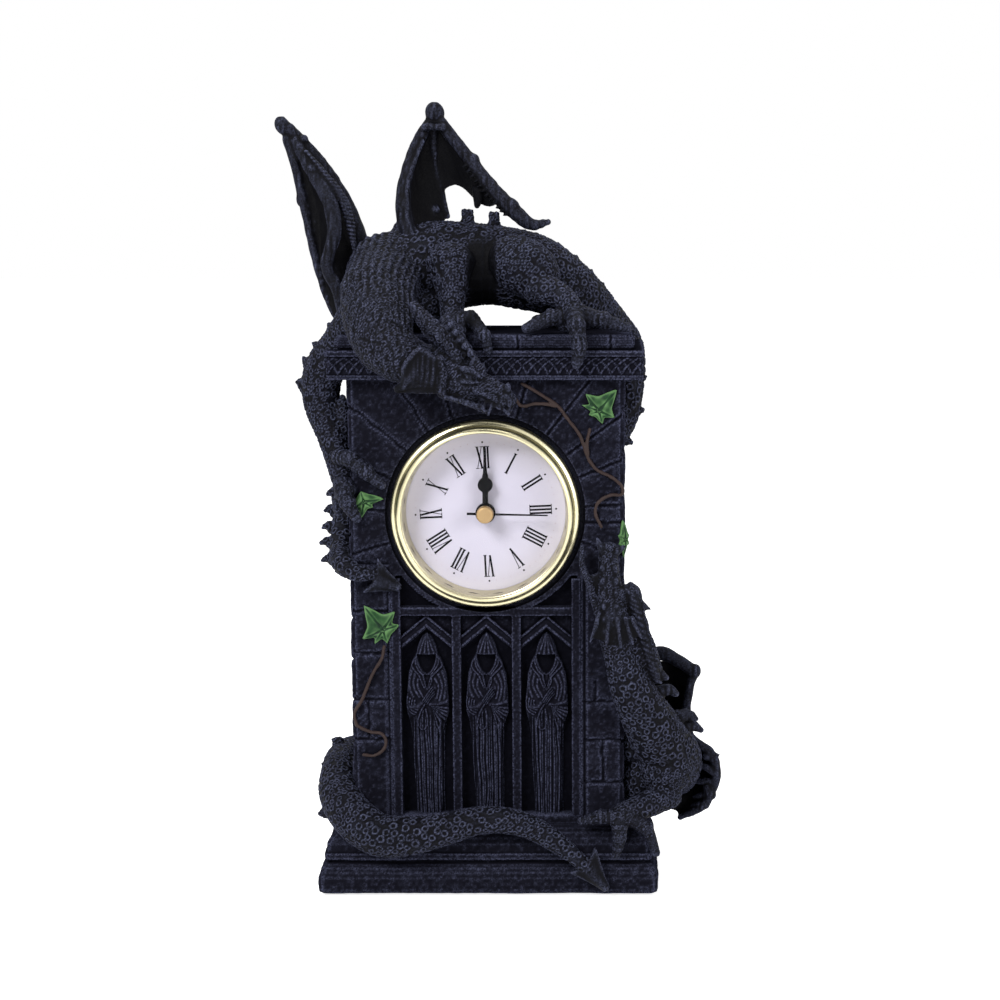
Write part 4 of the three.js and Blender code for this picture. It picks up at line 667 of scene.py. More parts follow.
def plain(name, colour, roughness, metallic=0.0, grain=0.4, spread=0.12, specular=0.3):
    """Moulded or drawn material with a little change of colour and gloss."""
    finish = Finish(name, roughness, metallic, specular)
    tone = finish.noise(grain * 6, 3)
    fine = finish.noise(grain, 2)
    darker = tuple(c * (1 - spread) for c in colour[:3]) + (1.0,)
    finish.colour(finish.mix(tone, colour, darker))
    finish.roughness(finish.between(fine, 0.25, 0.75, roughness * 0.85, roughness * 1.15))
    finish.bump(fine, grain * 0.02)
    return finish.material


def leaf_material():
    finish = Finish("leaf_green", roughness=0.45, specular=0.12)
    cloud = finish.noise(2.2, 4)
    fine = finish.noise(0.35, 3)
    green = finish.mix(finish.between(cloud, 0.35, 0.65), srgb(14, 38, 24), srgb(28, 62, 32))
    tip = finish.mix(finish.between(finish.attribute("brush"), 0.1, 0.75), green, srgb(84, 120, 74))
    # Painted shade: the grooved veins and other hollows darken to a deep green
    finish.colour(finish.mix(finish.attribute("hollow"), tip, srgb(8, 24, 14)))
    finish.bump(fine, 0.05)
    return finish.material


def brass_material():
    finish = Finish("bezel_brass", roughness=0.16, metallic=1.0)
    tone = finish.noise(5.0, 3)
    fine = finish.noise(0.25, 3, 0.7)
    finish.colour(finish.mix(tone, srgb(218, 211, 176), srgb(202, 194, 156)))
    finish.roughness(finish.between(fine, 0.3, 0.7, 0.24, 0.36))
    finish.bump(fine, 0.004)
    return finish.material


def lens_material():
    finish = Finish("lens_clear", roughness=0.03)
    finish.shader.inputs["Alpha"].default_value = 0.08
    fine = finish.noise(8.0, 2)
    finish.colour(finish.mix(fine, (0.0, 0.0, 0.0, 1.0), (0.01, 0.01, 0.012, 1.0)))
    finish.material.surface_render_method = "BLENDED"
    return finish.material


STONE = resin("tower_stone", srgb(22, 22, 30), srgb(73, 76, 98), grit=0.06, clouds=0.75)
SCALED = resin("dragon_stone", srgb(10, 10, 15), srgb(79, 83, 106), grit=0.05, specular=0.06, rings=True)
LEAF = leaf_material()
VINE = plain("vine_brown", srgb(56, 44, 42), 0.5, grain=0.5, spread=0.5, specular=0.15)
FELT = plain("felt_black", srgb(20, 20, 22), 0.95, grain=0.3, spread=0.3)
BRASS = brass_material()
LENS = lens_material()
DIAL = plain("dial_paper", srgb(224, 220, 239), 0.55, grain=0.3, spread=0.02)
INK = plain("dial_ink", srgb(18, 16, 22), 0.6, grain=0.3, spread=0.1, specular=0.08)
FAINT_INK = plain("dial_ink_faint", srgb(196, 172, 190), 0.5, grain=0.3, spread=0.05)
HAND_BLACK = plain("hand_black", srgb(12, 12, 15), 0.5, grain=0.3, spread=0.1, specular=0.08)
HAND_GOLD = plain("hand_gold", srgb(196, 164, 118), 0.5, 0.6, grain=0.4, spread=0.12)
BLACK_PLASTIC = plain("black_plastic", srgb(26, 26, 28), 0.45, grain=0.4)
RUBBER = plain("gasket_rubber", srgb(30, 30, 31), 0.85, grain=0.3)
WHITE_PLASTIC = plain("white_plastic", srgb(224, 223, 216), 0.45, grain=0.5, spread=0.05)
STEEL = plain("steel", srgb(178, 178, 182), 0.28, 1.0, grain=0.3)
COPPER = plain("copper_wire", srgb(184, 104, 58), 0.38, 1.0, grain=0.2)
BOARD = plain("board_green", srgb(34, 98, 64), 0.5, grain=0.6)


def dress(obj, material, body, slot, *nodes):
    """Gives a piece its material and body, and hides the CAD nodes that it stands for; slot is not used."""
    obj.data.materials.clear()
    obj.data.materials.append(material)
    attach(obj, body)
    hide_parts(*nodes)


def dress_stone(obj):
    dress(obj, STONE, "clock_body", "tower_stone", "stone_tower")


def dress_dragon(obj, node):
    dress(obj, SCALED, "clock_body", "dragon_stone", node)


# Tower

def around_rectangle(steps):
    """Places round a rectangle: face number and share along it, for each step count."""
    places = []
    for face, count in enumerate(steps):
        places += [(face, i / count) for i in range(count)]
    return places


def loop_points(half_x, half_y, chamfer, places):
    """Points round a chamfered rectangle, from the front left corner anticlockwise."""
    corners = [(-half_x, -half_y), (half_x, -half_y), (half_x, half_y), (-half_x, half_y)]
    points = []
    for face, share in places:
        (x0, y0), (x1, y1) = corners[face], corners[(face + 1) % 4]
        points.append((x0 + (x1 - x0) * share, y0 + (y1 - y0) * share))
    points = np.array(points)
    over = np.abs(points[:, 0]) - (half_x - chamfer) + np.abs(points[:, 1]) - (half_y - chamfer) - chamfer
    cut = np.maximum(over, 0)[:, None] / 2
    return points - np.sign(points) * cut


def face_normals(places):
    outward = [(0, -1, 0), (1, 0, 0), (0, 1, 0), (-1, 0, 0)]
    return np.array([outward[face] for face, _ in places], float)


def stacked(name, levels, steps, relief=None):
    """Closed body of chamfered rectangles at (z, half x, half y, chamfer), with relief pushed outwards."""
    places = around_rectangle(steps)
    rings = []
    for z, half_x, half_y, chamfer in levels:
        flat = loop_points(half_x, half_y, chamfer, places)
        rings.append(np.column_stack([flat, np.full(len(flat), z)]))
    points = np.vstack(rings)
    if relief is not None:
        faces = np.tile([face for face, _ in places], len(levels))
        outward = np.tile(face_normals(places), (len(levels), 1))
        points = points + outward * relief(points, faces)[:, None]
    return make_object(name, points, ring_faces(len(levels), len(places)))


def rough(points, seed, *layers):
    """Unevenness of cast stone, from layers of (size, depth) in millimetres."""
    return sum(depth * noise(points, size, seed + i) for i, (size, depth) in enumerate(layers))


def groove(distance, half_width, depth):
    """Rounded groove of a depth, by the distance from its middle."""
    return -depth * np.exp(-(distance / half_width) ** 2)


def segment_distance(x, z, start, end):
    """Distance of each place (x, z) from a straight line between two points."""
    start, end = np.array(start, float), np.array(end, float)
    along = end - start
    share = np.clip(((x - start[0]) * along[0] + (z - start[1]) * along[1]) / (along @ along), 0, 1)
    return np.hypot(x - start[0] - share * along[0], z - start[1] - share * along[1])


frame_half = (3 * bay_pitch - mullion) / 2
frame_left = niche_x - frame_half - mullion
frame_right = niche_x + frame_half + mullion
spandrel_top = niche_top + bar_height + 9

# Joints of the blocks in the photograph, as lines from (x, z) to (x, z) on the front
left_courses = [niche_top + 15.6, niche_top + 1.4, niche_top - 11, niche_top - 25.2, niche_top - 37.2]
right_courses = [niche_top + 27.6, niche_top - 25.8, niche_top - 37.4, niche_top - 50.4]
voussoir_angles = [-17, 4, 21.5, 36, 52, 72, 108.5, 124, 141, 159, 178, 197]


def front_joints():
    """Joints of the front: courses, uprights and the wedge-shaped stones round the clock."""
    lines = [((left - 2, z), (frame_left - 1, z)) for z in left_courses]
    lines += [((frame_right + 1, z), (right + 2, z)) for z in right_courses]
    lines.append(((left + 5, left_courses[3]), (left + 5, left_courses[4])))
    lines.append(((right - 8.6, right_courses[1]), (right - 8.6, right_courses[1] + 6)))
    lines.append(((right - 6.4, right_courses[2]), (right - 6.4, right_courses[3])))
    for angle in voussoir_angles:
        turn = math.radians(angle)
        reach = 60 if 30 < angle < 150 else 44
        lines.append(((clock_x + 28 * math.cos(turn), clock_z + 28 * math.sin(turn)),
                      (clock_x + reach * math.cos(turn), clock_z + reach * math.sin(turn))))
    return lines


course_height = 12.4
block_length = 25


def course_joints(across):
    """Running bond on a side or the back: courses and staggered uprights."""
    lines = []
    levels = [shelf + course_height * i for i in range(11)] + [shaft_top]
    for i in range(len(levels) - 1):
        if i:
            lines.append(((-across - 2, levels[i]), (across + 2, levels[i])))
        place = -across + block_length * (0.35 if i % 2 else 0.85)
        while place < across - 3:
            lines.append(((place, levels[i]), (place, levels[i + 1])))
            place += block_length
    return lines


def front_openings(deep, x, z, bend):
    """Sinks the niche and the arched field above it into the front, with grooves down their frame."""
    inside = (smoothstep(frame_left + 1.0, frame_left + 1.3, x)
              * smoothstep(-frame_right + 1.0, -frame_right + 1.3, -x))
    low = smoothstep(niche_bottom - 0.2, niche_bottom, z)
    low = low * smoothstep(-niche_top - 0.2, -niche_top, -z)
    high = (smoothstep(niche_top + bar_height, niche_top + bar_height + 0.2, z)
            * smoothstep(-spandrel_top - 0.2, -spandrel_top, -z))
    near = smoothstep(-recess_radius - 1.9, -recess_radius - 1.6,
                      -np.hypot(x - clock_x, z - clock_z))
    quiet = np.maximum(inside * np.maximum(low, high), 0)
    deep = deep * (1 - quiet) - niche_depth * inside * low - 2.6 * inside * high * (1 - near)
    for line in (frame_left - 1.1, frame_right + 1.1):
        edge = groove(np.abs(x - line) + bend * 0.1, 0.4, 0.6)
        deep = deep + edge * smoothstep(spandrel_top + 3, spandrel_top, z) * (1 - quiet)
    return deep


def shaft_relief(points, faces):
    """Joints, worn edges, niche and spandrel as depths outwards from the plain shaft."""
    height = rough(points, 1, (7.0, 0.22), (2.2, 0.14), (0.9, 0.07))
    wobble = 0.5 * noise(points, 3.0, 4) + 0.25 * noise(points, 1.1, 5)
    for face in range(4):
        chosen = faces == face
        if not chosen.any():
            continue
        along = points[chosen][:, 0] if face % 2 == 0 else points[chosen][:, 1]
        along = along if face < 2 else -along
        z = points[chosen][:, 2]
        bend = wobble[chosen]
        lines = front_joints() if face == 0 else course_joints(shaft_x if face == 2 else shaft_y)
        deep = np.zeros(len(z))
        for start, end in lines:
            away = segment_distance(along + bend * 0.6, z + bend * 0.6, start, end)
            deep = np.minimum(deep, groove(away, 0.55, 0.75))
            deep = np.minimum(deep, groove(away, 1.5, 0.18))
        if face == 0:
            deep = front_openings(deep, along, z, bend)
        height[chosen] += deep
    from_side = np.abs(np.abs(points[:, 0]) - shaft_x)
    from_front = np.abs(np.abs(points[:, 1]) - shaft_y)
    corner = np.minimum(from_side, 2) + np.minimum(from_front, 2)
    height -= 0.5 * smoothstep(1.6, 0, corner) * (0.5 + 0.5 * noise(points, 4.0, 6))
    height *= smoothstep(shelf - 0.2, shelf + 0.6, points[:, 2])
    return height * smoothstep(-shaft_top - 0.2, -shaft_top + 0.6, -points[:, 2])


def clock_cutter(name):
    """Bore with the shallow recess round it."""
    count = 128
    profile = [(recess_radius + 0.5, front - 6), (recess_radius + 0.1, front - 0.2),
               (recess_radius, front + 0.5), (recess_radius, recess_floor), (bore_radius, recess_floor),
               (bore_radius, bore_end)]
    return make_object(name, turned_points(profile, count), ring_faces(len(profile), count))


def line_levels(low, high, step):
    """Even levels from low to high, about a step apart."""
    count = max(2, round((high - low) / step))
    return [low + (high - low) * i / count for i in range(count + 1)]


def make_shaft(cutter):
    """Block of the tower with its joints, niche and the bore for the clock."""
    levels = [(z, shaft_x, shaft_y, 1.6) for z in line_levels(shelf - 0.3, shaft_top + 0.3, 0.55)]
    shaft = stacked("tower_shaft", levels, (160, 62, 98, 62), shaft_relief)
    boolean(shaft, cutter)
    skin = Skin(shaft)
    x, y, z = skin.points.T
    # Painted shade: the sunk niche and the arched field above it are darkened and kept free of the dry
    # brush
    shaded_niche = (np.abs(x - niche_x) < frame_half + 0.4) & (y > front + 1.6) & (y < 0) & (z < spandrel_top)
    skin.paint(*STONE_BRUSH_AND_SHADE, np.where(shaded_niche, 0.85, 0.0))
    dress_stone(shaft)


def inward(z, half_x, half_y, chamfer, rings=5):
    """Rings that close a flat top or bottom towards its middle."""
    out = []
    for i in range(1, rings + 1):
        inset = (half_y - 1.5) * i / rings
        out.append((z, half_x - inset, half_y - inset, chamfer))
    return out


def densified(levels, step=0.5):
    """More levels between those given, so that relief has points to move."""
    out = [levels[0]]
    for before, after in zip(levels, levels[1:]):
        gap = max(abs(after[0] - before[0]), abs(after[1] - before[1]))
        count = max(1, round(gap / step))
        for i in range(1, count + 1):
            out.append(tuple(a + (b - a) * i / count for a, b in zip(before, after)))
    return out


def make_plinth():
    """Torus, ledge and cove, up to the foot of the shaft."""
    torus = [(0.0, 0.9), (0.04, 0.35), (0.15, 0.08), (0.32, 0.0), (0.55, 0.06), (0.72, 0.45), (0.86, 1.2),
             (0.95, 2.1), (1.0, 3.0)]
    torus_height = 8.8
    groove_top = plinth_bottom + torus_height + 1
    levels = [(plinth_bottom + share * torus_height, plinth_x - inset, plinth_y - inset, 1.2)
              for share, inset in torus]
    ledge_x = plinth_x - 1.8
    ledge_y = plinth_y - 1.8
    levels += [(groove_top, plinth_x - 3.0, plinth_y - 3.0, 1.0),
               (groove_top, ledge_x - 0.3, ledge_y - 0.3, 0.8)]
    levels += [(groove_top + 0.5, ledge_x, ledge_y, 0.8), (ledge_top - 0.4, ledge_x, ledge_y, 0.8),
               (ledge_top, ledge_x - 0.4, ledge_y - 0.4, 0.8)]
    for angle in (20, 35, 50, 65, 80, 90):
        turn = math.radians(angle)
        share = math.cos(turn)
        levels.append((ledge_top + cove_height * math.sin(turn),
                       shaft_x + (ledge_x - 0.4 - shaft_x) * share,
                       shaft_y + (ledge_y - 0.4 - shaft_y) * share, 0.8))
    bottom = list(reversed(inward(plinth_bottom, plinth_x - 0.9, plinth_y - 0.9, 0.6)))
    top = inward(shelf, shaft_x, shaft_y, 0.8)
    levels = bottom + densified(levels) + top

    def relief(points, faces):
        wave = rough(points, 11, (9.0, 0.3), (2.4, 0.16), (1.0, 0.08))
        edge = np.abs(points[:, 0]) > plinth_x - 6
        side = np.abs(points[:, 1]) > plinth_y - 6
        return wave * (edge | side)

    plinth = stacked("tower_plinth", levels, (190, 100, 130, 100), relief)
    Skin(plinth).paint(*STONE_BRUSH_AND_SHADE)
    dress_stone(plinth)


fillet = 1.4
frieze_low = shaft_top + fillet
frieze_top = frieze_low + 5.2
cornice_top = frieze_top + 1.8


def lattice(along, z):
    """Raised diagonal arcs that cross, as on the frieze."""
    pitch = 3.0
    rise = (z - frieze_low) / (frieze_top - frieze_low)
    bow = 0.9 * np.sin(math.pi * np.clip(rise, 0, 1))
    steep = np.abs(((along - rise * 5.2 + bow) / pitch) % 1 - 0.5) * pitch
    gentle = np.abs(((along + rise * 4.4 - bow) / pitch) % 1 - 0.5) * pitch
    line = np.exp(-((pitch / 2 - steep) / 0.36) ** 2)
    weak = 0.55 * np.exp(-((pitch / 2 - gentle) / 0.32) ** 2)
    inside = smoothstep(0.03, 0.12, rise) * smoothstep(-0.97, -0.88, -rise)
    return np.maximum(line, weak) * inside


def make_cornice():
    """Fillet, frieze, upper fillet and the roll slab that the dragon lies on."""
    frieze_inset = 0.7
    fillet_inset = 0.35
    roll_x = cornice_x - 2.8
    roll_y = cornice_y - 2.0
    profile = [(shaft_top, fillet_inset + 0.3), (shaft_top + 0.3, fillet_inset),
               (frieze_low - 0.2, fillet_inset), (frieze_low, frieze_inset), (frieze_top, frieze_inset),
               (frieze_top + 0.15, 0.1), (frieze_top + 0.4, 0), (cornice_top - 0.4, 0), (cornice_top, 0.4)]
    levels = [(z, cornice_x - inset, cornice_y - inset, 0.5) for z, inset in profile]
    levels.append((cornice_top, roll_x - 0.9, roll_y - 0.9, 0.5))
    height = slab_top - cornice_top
    for share, inset in ((0.05, 0.9), (0.2, 0.3), (0.38, 0.02), (0.55, 0.0), (0.72, 0.16), (0.86, 0.5),
                         (0.96, 1.0), (1, 1.6)):
        levels.append((cornice_top + share * height, roll_x - inset, roll_y - inset, 0.6))
    bottom = list(reversed(inward(shaft_top, cornice_x - 0.65, cornice_y - 0.65, 0.5)))
    top = inward(slab_top, roll_x - 1.6, roll_y - 1.6, 0.5)
    levels = bottom + densified(levels, 0.38) + top

    def relief(points, faces):
        outer = (np.abs(points[:, 0]) > roll_x - 2.5) | (np.abs(points[:, 1]) > roll_y - 2.5)
        wave = rough(points, 21, (8.0, 0.2), (2.2, 0.12), (0.8, 0.05))
        along = np.where(faces % 2 == 0, points[:, 0], points[:, 1])
        mirrored = np.where(faces < 2, along, -along)
        on_frieze = (points[:, 2] > frieze_low - 0.05) & (points[:, 2] < frieze_top + 0.05)
        pattern = np.where(on_frieze, 0.42 * lattice(mirrored, points[:, 2]), 0)
        seam = np.zeros(len(points))
        high = points[:, 2] > cornice_top + 0.1
        for place in (-31, 9.5, 36):
            line = groove(mirrored - place + 0.3 * noise(points, 1.2, 24), 0.4, 0.7)
            seam = np.minimum(seam, np.where(high, line, 0))
        return (wave + pattern + seam) * outer

    cornice = stacked("tower_cornice", levels, (260, 130, 200, 130), relief)
    Skin(cornice).paint(6.0, 2.5)
    dress_stone(cornice)


def make_tracery(cutter):
    """Frame, mullions, bar and stepped pointed arches of the niche."""
    clay = Clay()
    floor = front + niche_depth
    inner = niche_x - frame_half
    outer = niche_x + frame_half
    for side in (-1, 1):
        edge = niche_x + side * (frame_half + mullion / 2)
        clay.box((edge - mullion / 2, front - 0.35, niche_bottom - 0.6),
                 (edge + mullion / 2, floor + 0.3, spandrel_top - 0.4))
    for bay in (-1, 1):
        middle = niche_x + bay * bay_pitch / 2
        clay.box((middle - mullion / 2, front + 0.1, niche_bottom - 0.4),
                 (middle + mullion / 2, floor + 0.3, niche_top + 0.4))
    clay.box((inner - 0.5, front - 0.15, niche_top), (outer + 0.5, floor + 0.3, niche_top + bar_height))
    half = bay_pitch / 2 - mullion / 2 + 0.3
    rise = 6.6
    # Each chevron is a roll, a flat band, a second roll and a set-back inner edge
    steps = ((0.0, 0.7, 0.5), (0.65, 2.9, 1.25), (2.8, 3.6, 0.85), (3.55, 4.2, 2.3))
    for bay in (-1, 0, 1):
        x = niche_x + bay * bay_pitch
        top = niche_top + 0.1
        clay.prism([(x - half, top - rise), (x, top), (x + half, top - rise), (x + half, top + 0.2),
                    (x - half, top + 0.2)],
                   front + 2.4, floor + 0.3)
        for start, end, depth in steps:
            for side in (-1, 1):
                band = [(x - side * 0.05, top - start), (x - side * 0.05, top - end),
                        (x + side * half, top - rise - end), (x + side * half, top - rise - start)]
                clay.prism(band if side < 0 else band[::-1], front + depth, floor + 0.3)
    skin = clay.fuse("niche_tracery", 0.24)
    skin.relax(1)
    skin.push(rough(skin.points, 31, (1.8, 0.1), (0.7, 0.05)))
    skin.write()
    boolean(skin.obj, cutter)
    Skin(skin.obj).paint(6.0, 2.0)
    dress_stone(skin.obj)


figure_left = [(-0.5, -3.7), (10, -4.1), (23, -4.7), (28, -5.5), (31, -6.2), (34, -6.3), (38, -5.9),
               (42.5, -5.5), (44, -5.0), (46, -4.5), (48.4, -3.1), (50.5, -2.7), (52.4, -2.0),
               (53.8, -1.2), (54.7, -0.1)]
figure_right = [(-0.5, 4.9), (10, 4.9), (23, 5.0), (28, 5.8), (31, 6.5), (34, 6.4), (38, 6.2), (42.5, 5.8),
                (44, 5.1), (46, 4.5), (48.4, 3.2), (50.5, 2.7), (52.4, 2.0), (53.8, 1.2), (54.7, 0.1)]
figure_depth = [(-0.5, 2.0), (23, 2.3), (31, 2.7), (40, 2.8), (44, 2.5), (48.4, 3.2), (52, 2.5),
                (54.7, 1.0)]
brow, chin = 48.3, 42.2

# Folds of the figure's cloth: a curve through (x, z), half width and height
figure_folds = [
    ([(-2.8, 48.0), (-4.0, 46.2), (-4.5, 44.8), (-3.6, 43.4), (-2.3, 42.0), (-1.7, 40.4), (-0.8, 38.4)],
     0.24, 0.6),
    ([(2.8, 48.0), (4.0, 46.3), (4.5, 45.0), (3.3, 43.6), (2.1, 42.4), (1.3, 41.4), (1.4, 40.4),
      (0.7, 38.4)], 0.24, 0.6),
    ([(-3.4, 47.2), (-3.3, 45.4), (-2.4, 43.4), (-0.9, 41.9)], 0.22, 0.35),
    ([(3.4, 47.2), (3.3, 45.4), (2.3, 43.7), (1.0, 42.0)], 0.22, 0.35),
    ([(-4.6, 43.2), (-5.3, 40), (-5.0, 37.4), (-4.2, 35.6)], 0.5, 0.3),
    ([(-3.5, 42.4), (-4.1, 39.6), (-3.3, 37.2), (-2.3, 35.6)], 0.45, 0.3),
    ([(-2.6, 40.8), (-2.8, 38.8), (-1.9, 36.8), (-1.2, 35.6)], 0.4, 0.28),
    ([(4.6, 43.0), (5.4, 40), (5.3, 37), (4.9, 34.2)], 0.5, 0.3),
    ([(3.4, 42.2), (4.4, 39.4), (4.2, 36.6), (3.6, 34.4)], 0.45, 0.3),
    ([(2.4, 41.0), (3.3, 39.0), (3.2, 36.8), (2.8, 35.2)], 0.4, 0.28),
    ([(-5.9, 35.4), (-6.1, 33.0), (-5.3, 31.0), (-3.8, 30.1)], 0.22, 0.5),
    ([(-5.1, 35.0), (-5.4, 33.0), (-4.7, 31.5), (-3.3, 30.8)], 0.22, 0.5),
    ([(-4.4, 34.7), (-4.6, 33.2), (-4.0, 32.1), (-2.8, 31.6)], 0.22, 0.5),
    ([(-3.7, 34.4), (-3.8, 33.5), (-3.2, 32.8), (-2.2, 32.5)], 0.22, 0.45),
    ([(-4.8, 32.4), (-3.0, 32.6), (-1.5, 33.9), (0.0, 35.2)], 0.8, 0.55),
    ([(5.8, 34.0), (4.0, 33.6), (2.4, 33.2), (1.0, 33.4)], 0.7, 0.5),
    ([(-0.7, 33.4), (-1.9, 31.2), (-2.7, 28.4), (-2.4, 26.5), (-1.3, 25.6), (-0.3, 26.5), (0.0, 29),
      (-0.4, 31.8)], 0.24, 0.7),
    ([(-1.2, 31.5), (-1.5, 29.4), (-1.3, 27.4)], 0.22, 0.3),
    ([(-0.6, 34.6), (0.8, 36.6), (2.0, 38.2)], 0.9, 0.5),
]


def raised_lines(x, z, folds):
    """Height of the highest fold over each place."""
    height = np.zeros(len(x))
    for path, width, rise in folds:
        line = spline([(px, pz, 0) for px, pz in path], 5)
        away = np.min([segment_distance(x, z, a[:2], b[:2]) for a, b in zip(line, line[1:])], axis=0)
        height = np.maximum(height, rise * np.exp(-(away / width) ** 2))
    return height


def with_skirt(height, x, z, sway, variant):
    """Front panel with its pleats; gives the height and how deep the skirt lies beside the panel."""
    waist = smoothstep(30.5, 27.5, z)
    panel_low = np.interp(z, [0, 29], [-2.4, -3.4])
    panel_high = np.interp(z, [0, 29], [3.8, 4.0])
    beside = np.maximum(smoothstep(0, -0.4, x - panel_low), smoothstep(0, 0.4, x - panel_high))
    height = height - 1.1 * waist * beside
    for i in range(9):
        at = panel_low + (panel_high - panel_low) * (i + 0.5 + 0.22 * math.sin(i * 2.4)) / 9
        tall = 0.38 + 0.16 * math.sin(i * 3.7 + variant)
        height += waist * tall * np.exp(-((x - at + sway) / 0.2) ** 2) * (1 - beside)
        height -= waist * 0.3 * np.exp(-((x - at + sway - 0.42) / 0.2) ** 2) * (1 - beside)
    for at in (-4.1, -3.2, 4.3, 4.9):
        height += waist * 0.3 * np.exp(-((x - at + sway) / 0.22) ** 2)
    height -= 0.5 * np.exp(-(((x + 1.3) / 0.8) ** 2 + ((z - 28.6) / 2.2) ** 2) ** 2)
    return height, waist * beside


def with_sleeves(height, depth, x, z):
    """Crossed sleeves that open in a pleated fan, and four fingers."""
    turn = np.degrees(np.arctan2(z - 33.0, x - 1.3))
    outside = np.maximum(0, (x - 6.6) * 8.4 - (z - 31.8) * 2.7)
    fan = smoothstep(-78, -74, turn) * smoothstep(-6, -10, turn) * smoothstep(1.2, 0, outside) * (x > 1.3)
    height = height + fan * (0.75 + 0.26 * np.cos((turn + 11) / 64 * 5 * math.tau))
    hem = smoothstep(1.6, 0.4, outside) * smoothstep(0, 0.3, outside) * fan
    height += 0.2 * hem
    for i in range(4):
        x0, z0 = -1.3 + 0.42 * i, 34.5 - 0.32 * i
        finger = [([(x0, z0), (x0 + 1.4, z0 + 2.1), (x0 + 2.9 - 0.2 * i, z0 + 4.2 - 0.4 * i)], 0.19, 1.0)]
        raised = raised_lines(x, z, finger)
        height = np.maximum(height, depth + 0.1 + raised - 0.6 * (raised < 0.3) * 9)
    return height + raised_lines(x, z, figure_folds)


def with_hood(height, x, z):
    """Pleated hood round an empty hollow; gives the height and where the hollow is."""
    pleats = (z > brow) * 0.24
    for at in (-2.2, -0.7, 0.8, 2.3):
        height += pleats * np.exp(-((x - at * (54.9 - z) / 6.6) / 0.32) ** 2)
    opening = np.interp(z, [chin, 43.0, 44.5, 46, 47.5, brow], [0.0, 1.1, 2.0, 2.5, 2.75, 2.7])
    face = smoothstep(0.15, -0.15, np.abs(x + 0.1) - opening) * (z > chin)
    face = face * smoothstep(brow + 0.1, brow - 0.1, z)
    height = height * (1 - face) + face * (0.35 + 0.5 * np.sqrt(np.clip(1 - (x / 2.9) ** 2, 0, 1)))
    neck_width = np.interp(z, [37.8, 41.8], [0.0, 0.95])
    neck = smoothstep(0.15, -0.15, np.abs(x) - neck_width) * (z > 37.8) * (z < chin)
    return height - 0.9 * neck, face


def figure_relief(x, z, variant):
    """Height of an empty hooded robe with crossed sleeves over the niche floor, and where painted shade
    darkens the open hood and the skirt beside the panel.
    """
    tables = (figure_left, figure_right, figure_depth)
    low, high, depth = (np.interp(z, *np.array(rows).T) for rows in tables)
    share = (x - (low + high) / 2) / ((high - low) / 2)
    places = np.column_stack([x, z, np.full(len(x), variant * 9.0)])
    height = depth * (0.45 + 0.55 * np.sqrt(np.clip(1 - share ** 2, 0, 1)))
    sway = 0.35 * noise(places * np.array([0.3, 0.12, 1]), 1.0, 41 + variant)
    height, sides = with_skirt(height, x, z, sway, variant)
    height = with_sleeves(height, depth, x, z)
    height, face = with_hood(height, x, z)
    height += 0.07 * noise(places, 0.8, 44) + 0.1 * noise(places, 2.2, 45)
    inside = smoothstep(1.03, 0.97, np.abs(share)) * (z < 54.7) * (z > -0.3)
    # The second value is painted shade: darkest in the open hood, half as dark on the skirt set back beside
    # the panel
    return height * inside - 0.5 * (1 - inside), 0.9 * face + 0.5 * sides


def make_figures():
    step = 0.2
    columns = np.arange(-7.4, 7.41, step)
    rows = np.arange(-0.7, 55.31, step)
    wide, high = len(columns), len(rows)
    x, z = (grid.ravel() for grid in np.meshgrid(columns, rows))
    points, faces, dark = [], [], []
    for bay in (-1, 0, 1):
        start = len(points) * len(x)
        height, deep = figure_relief(x, z, bay + 2)
        edge = (np.abs(x) > 7.3) | (z < -0.6) | (z > 55.2)
        height = np.where(edge, -0.5, height)
        across = niche_x + bay * bay_pitch + x
        points.append(np.column_stack([across, front + niche_depth - height, niche_bottom + z]))
        dark.append(deep)
        corners = (np.arange(high - 1)[:, None] * wide + np.arange(wide - 1)).ravel() + start
        faces += [(a, a + 1, a + wide + 1, a + wide) for a in corners.tolist()]
        rim = list(range(wide)) + [r * wide + wide - 1 for r in range(1, high)]
        rim += [(high - 1) * wide + c for c in range(wide - 2, -1, -1)]
        rim += [r * wide for r in range(high - 2, 0, -1)]
        faces.append(tuple(start + i for i in reversed(rim)))
    obj = make_object("hooded_figures", np.vstack(points), faces)
    # dark holds the painted shade of the hoods and skirts, which also keeps the dry brush off them
    Skin(obj).paint(*STONE_BRUSH_AND_SHADE, np.concatenate(dark))
    dress_stone(obj)


def make_felt():
    """Thin pressed felt under the plinth, a little fuzzy at its rim."""
    x, y = felt_high[0], felt_high[1]
    levels = [(felt_low[2] + 0.02, x - 0.5, y - 0.5, 1.5), (felt_low[2] + 0.1, x - 0.1, y - 0.1, 1.5),
              (felt_low[2] + 0.4, x, y, 1.5), (felt_high[2] - 0.02, x - 0.1, y - 0.1, 1.5)]
    bottom = list(reversed(inward(felt_low[2] + 0.02, x - 0.5, y - 0.5, 1.0)))
    top = inward(felt_high[2] - 0.02, x - 0.1, y - 0.1, 1.0)

    def relief(points, faces):
        return 0.12 * noise(points, 1.5, 51)

    felt = stacked("felt_sheet", bottom + levels + top, (90, 46, 90, 46), relief)
    dress(felt, FELT, "clock_body", "felt", "base_felt")


# Dragons

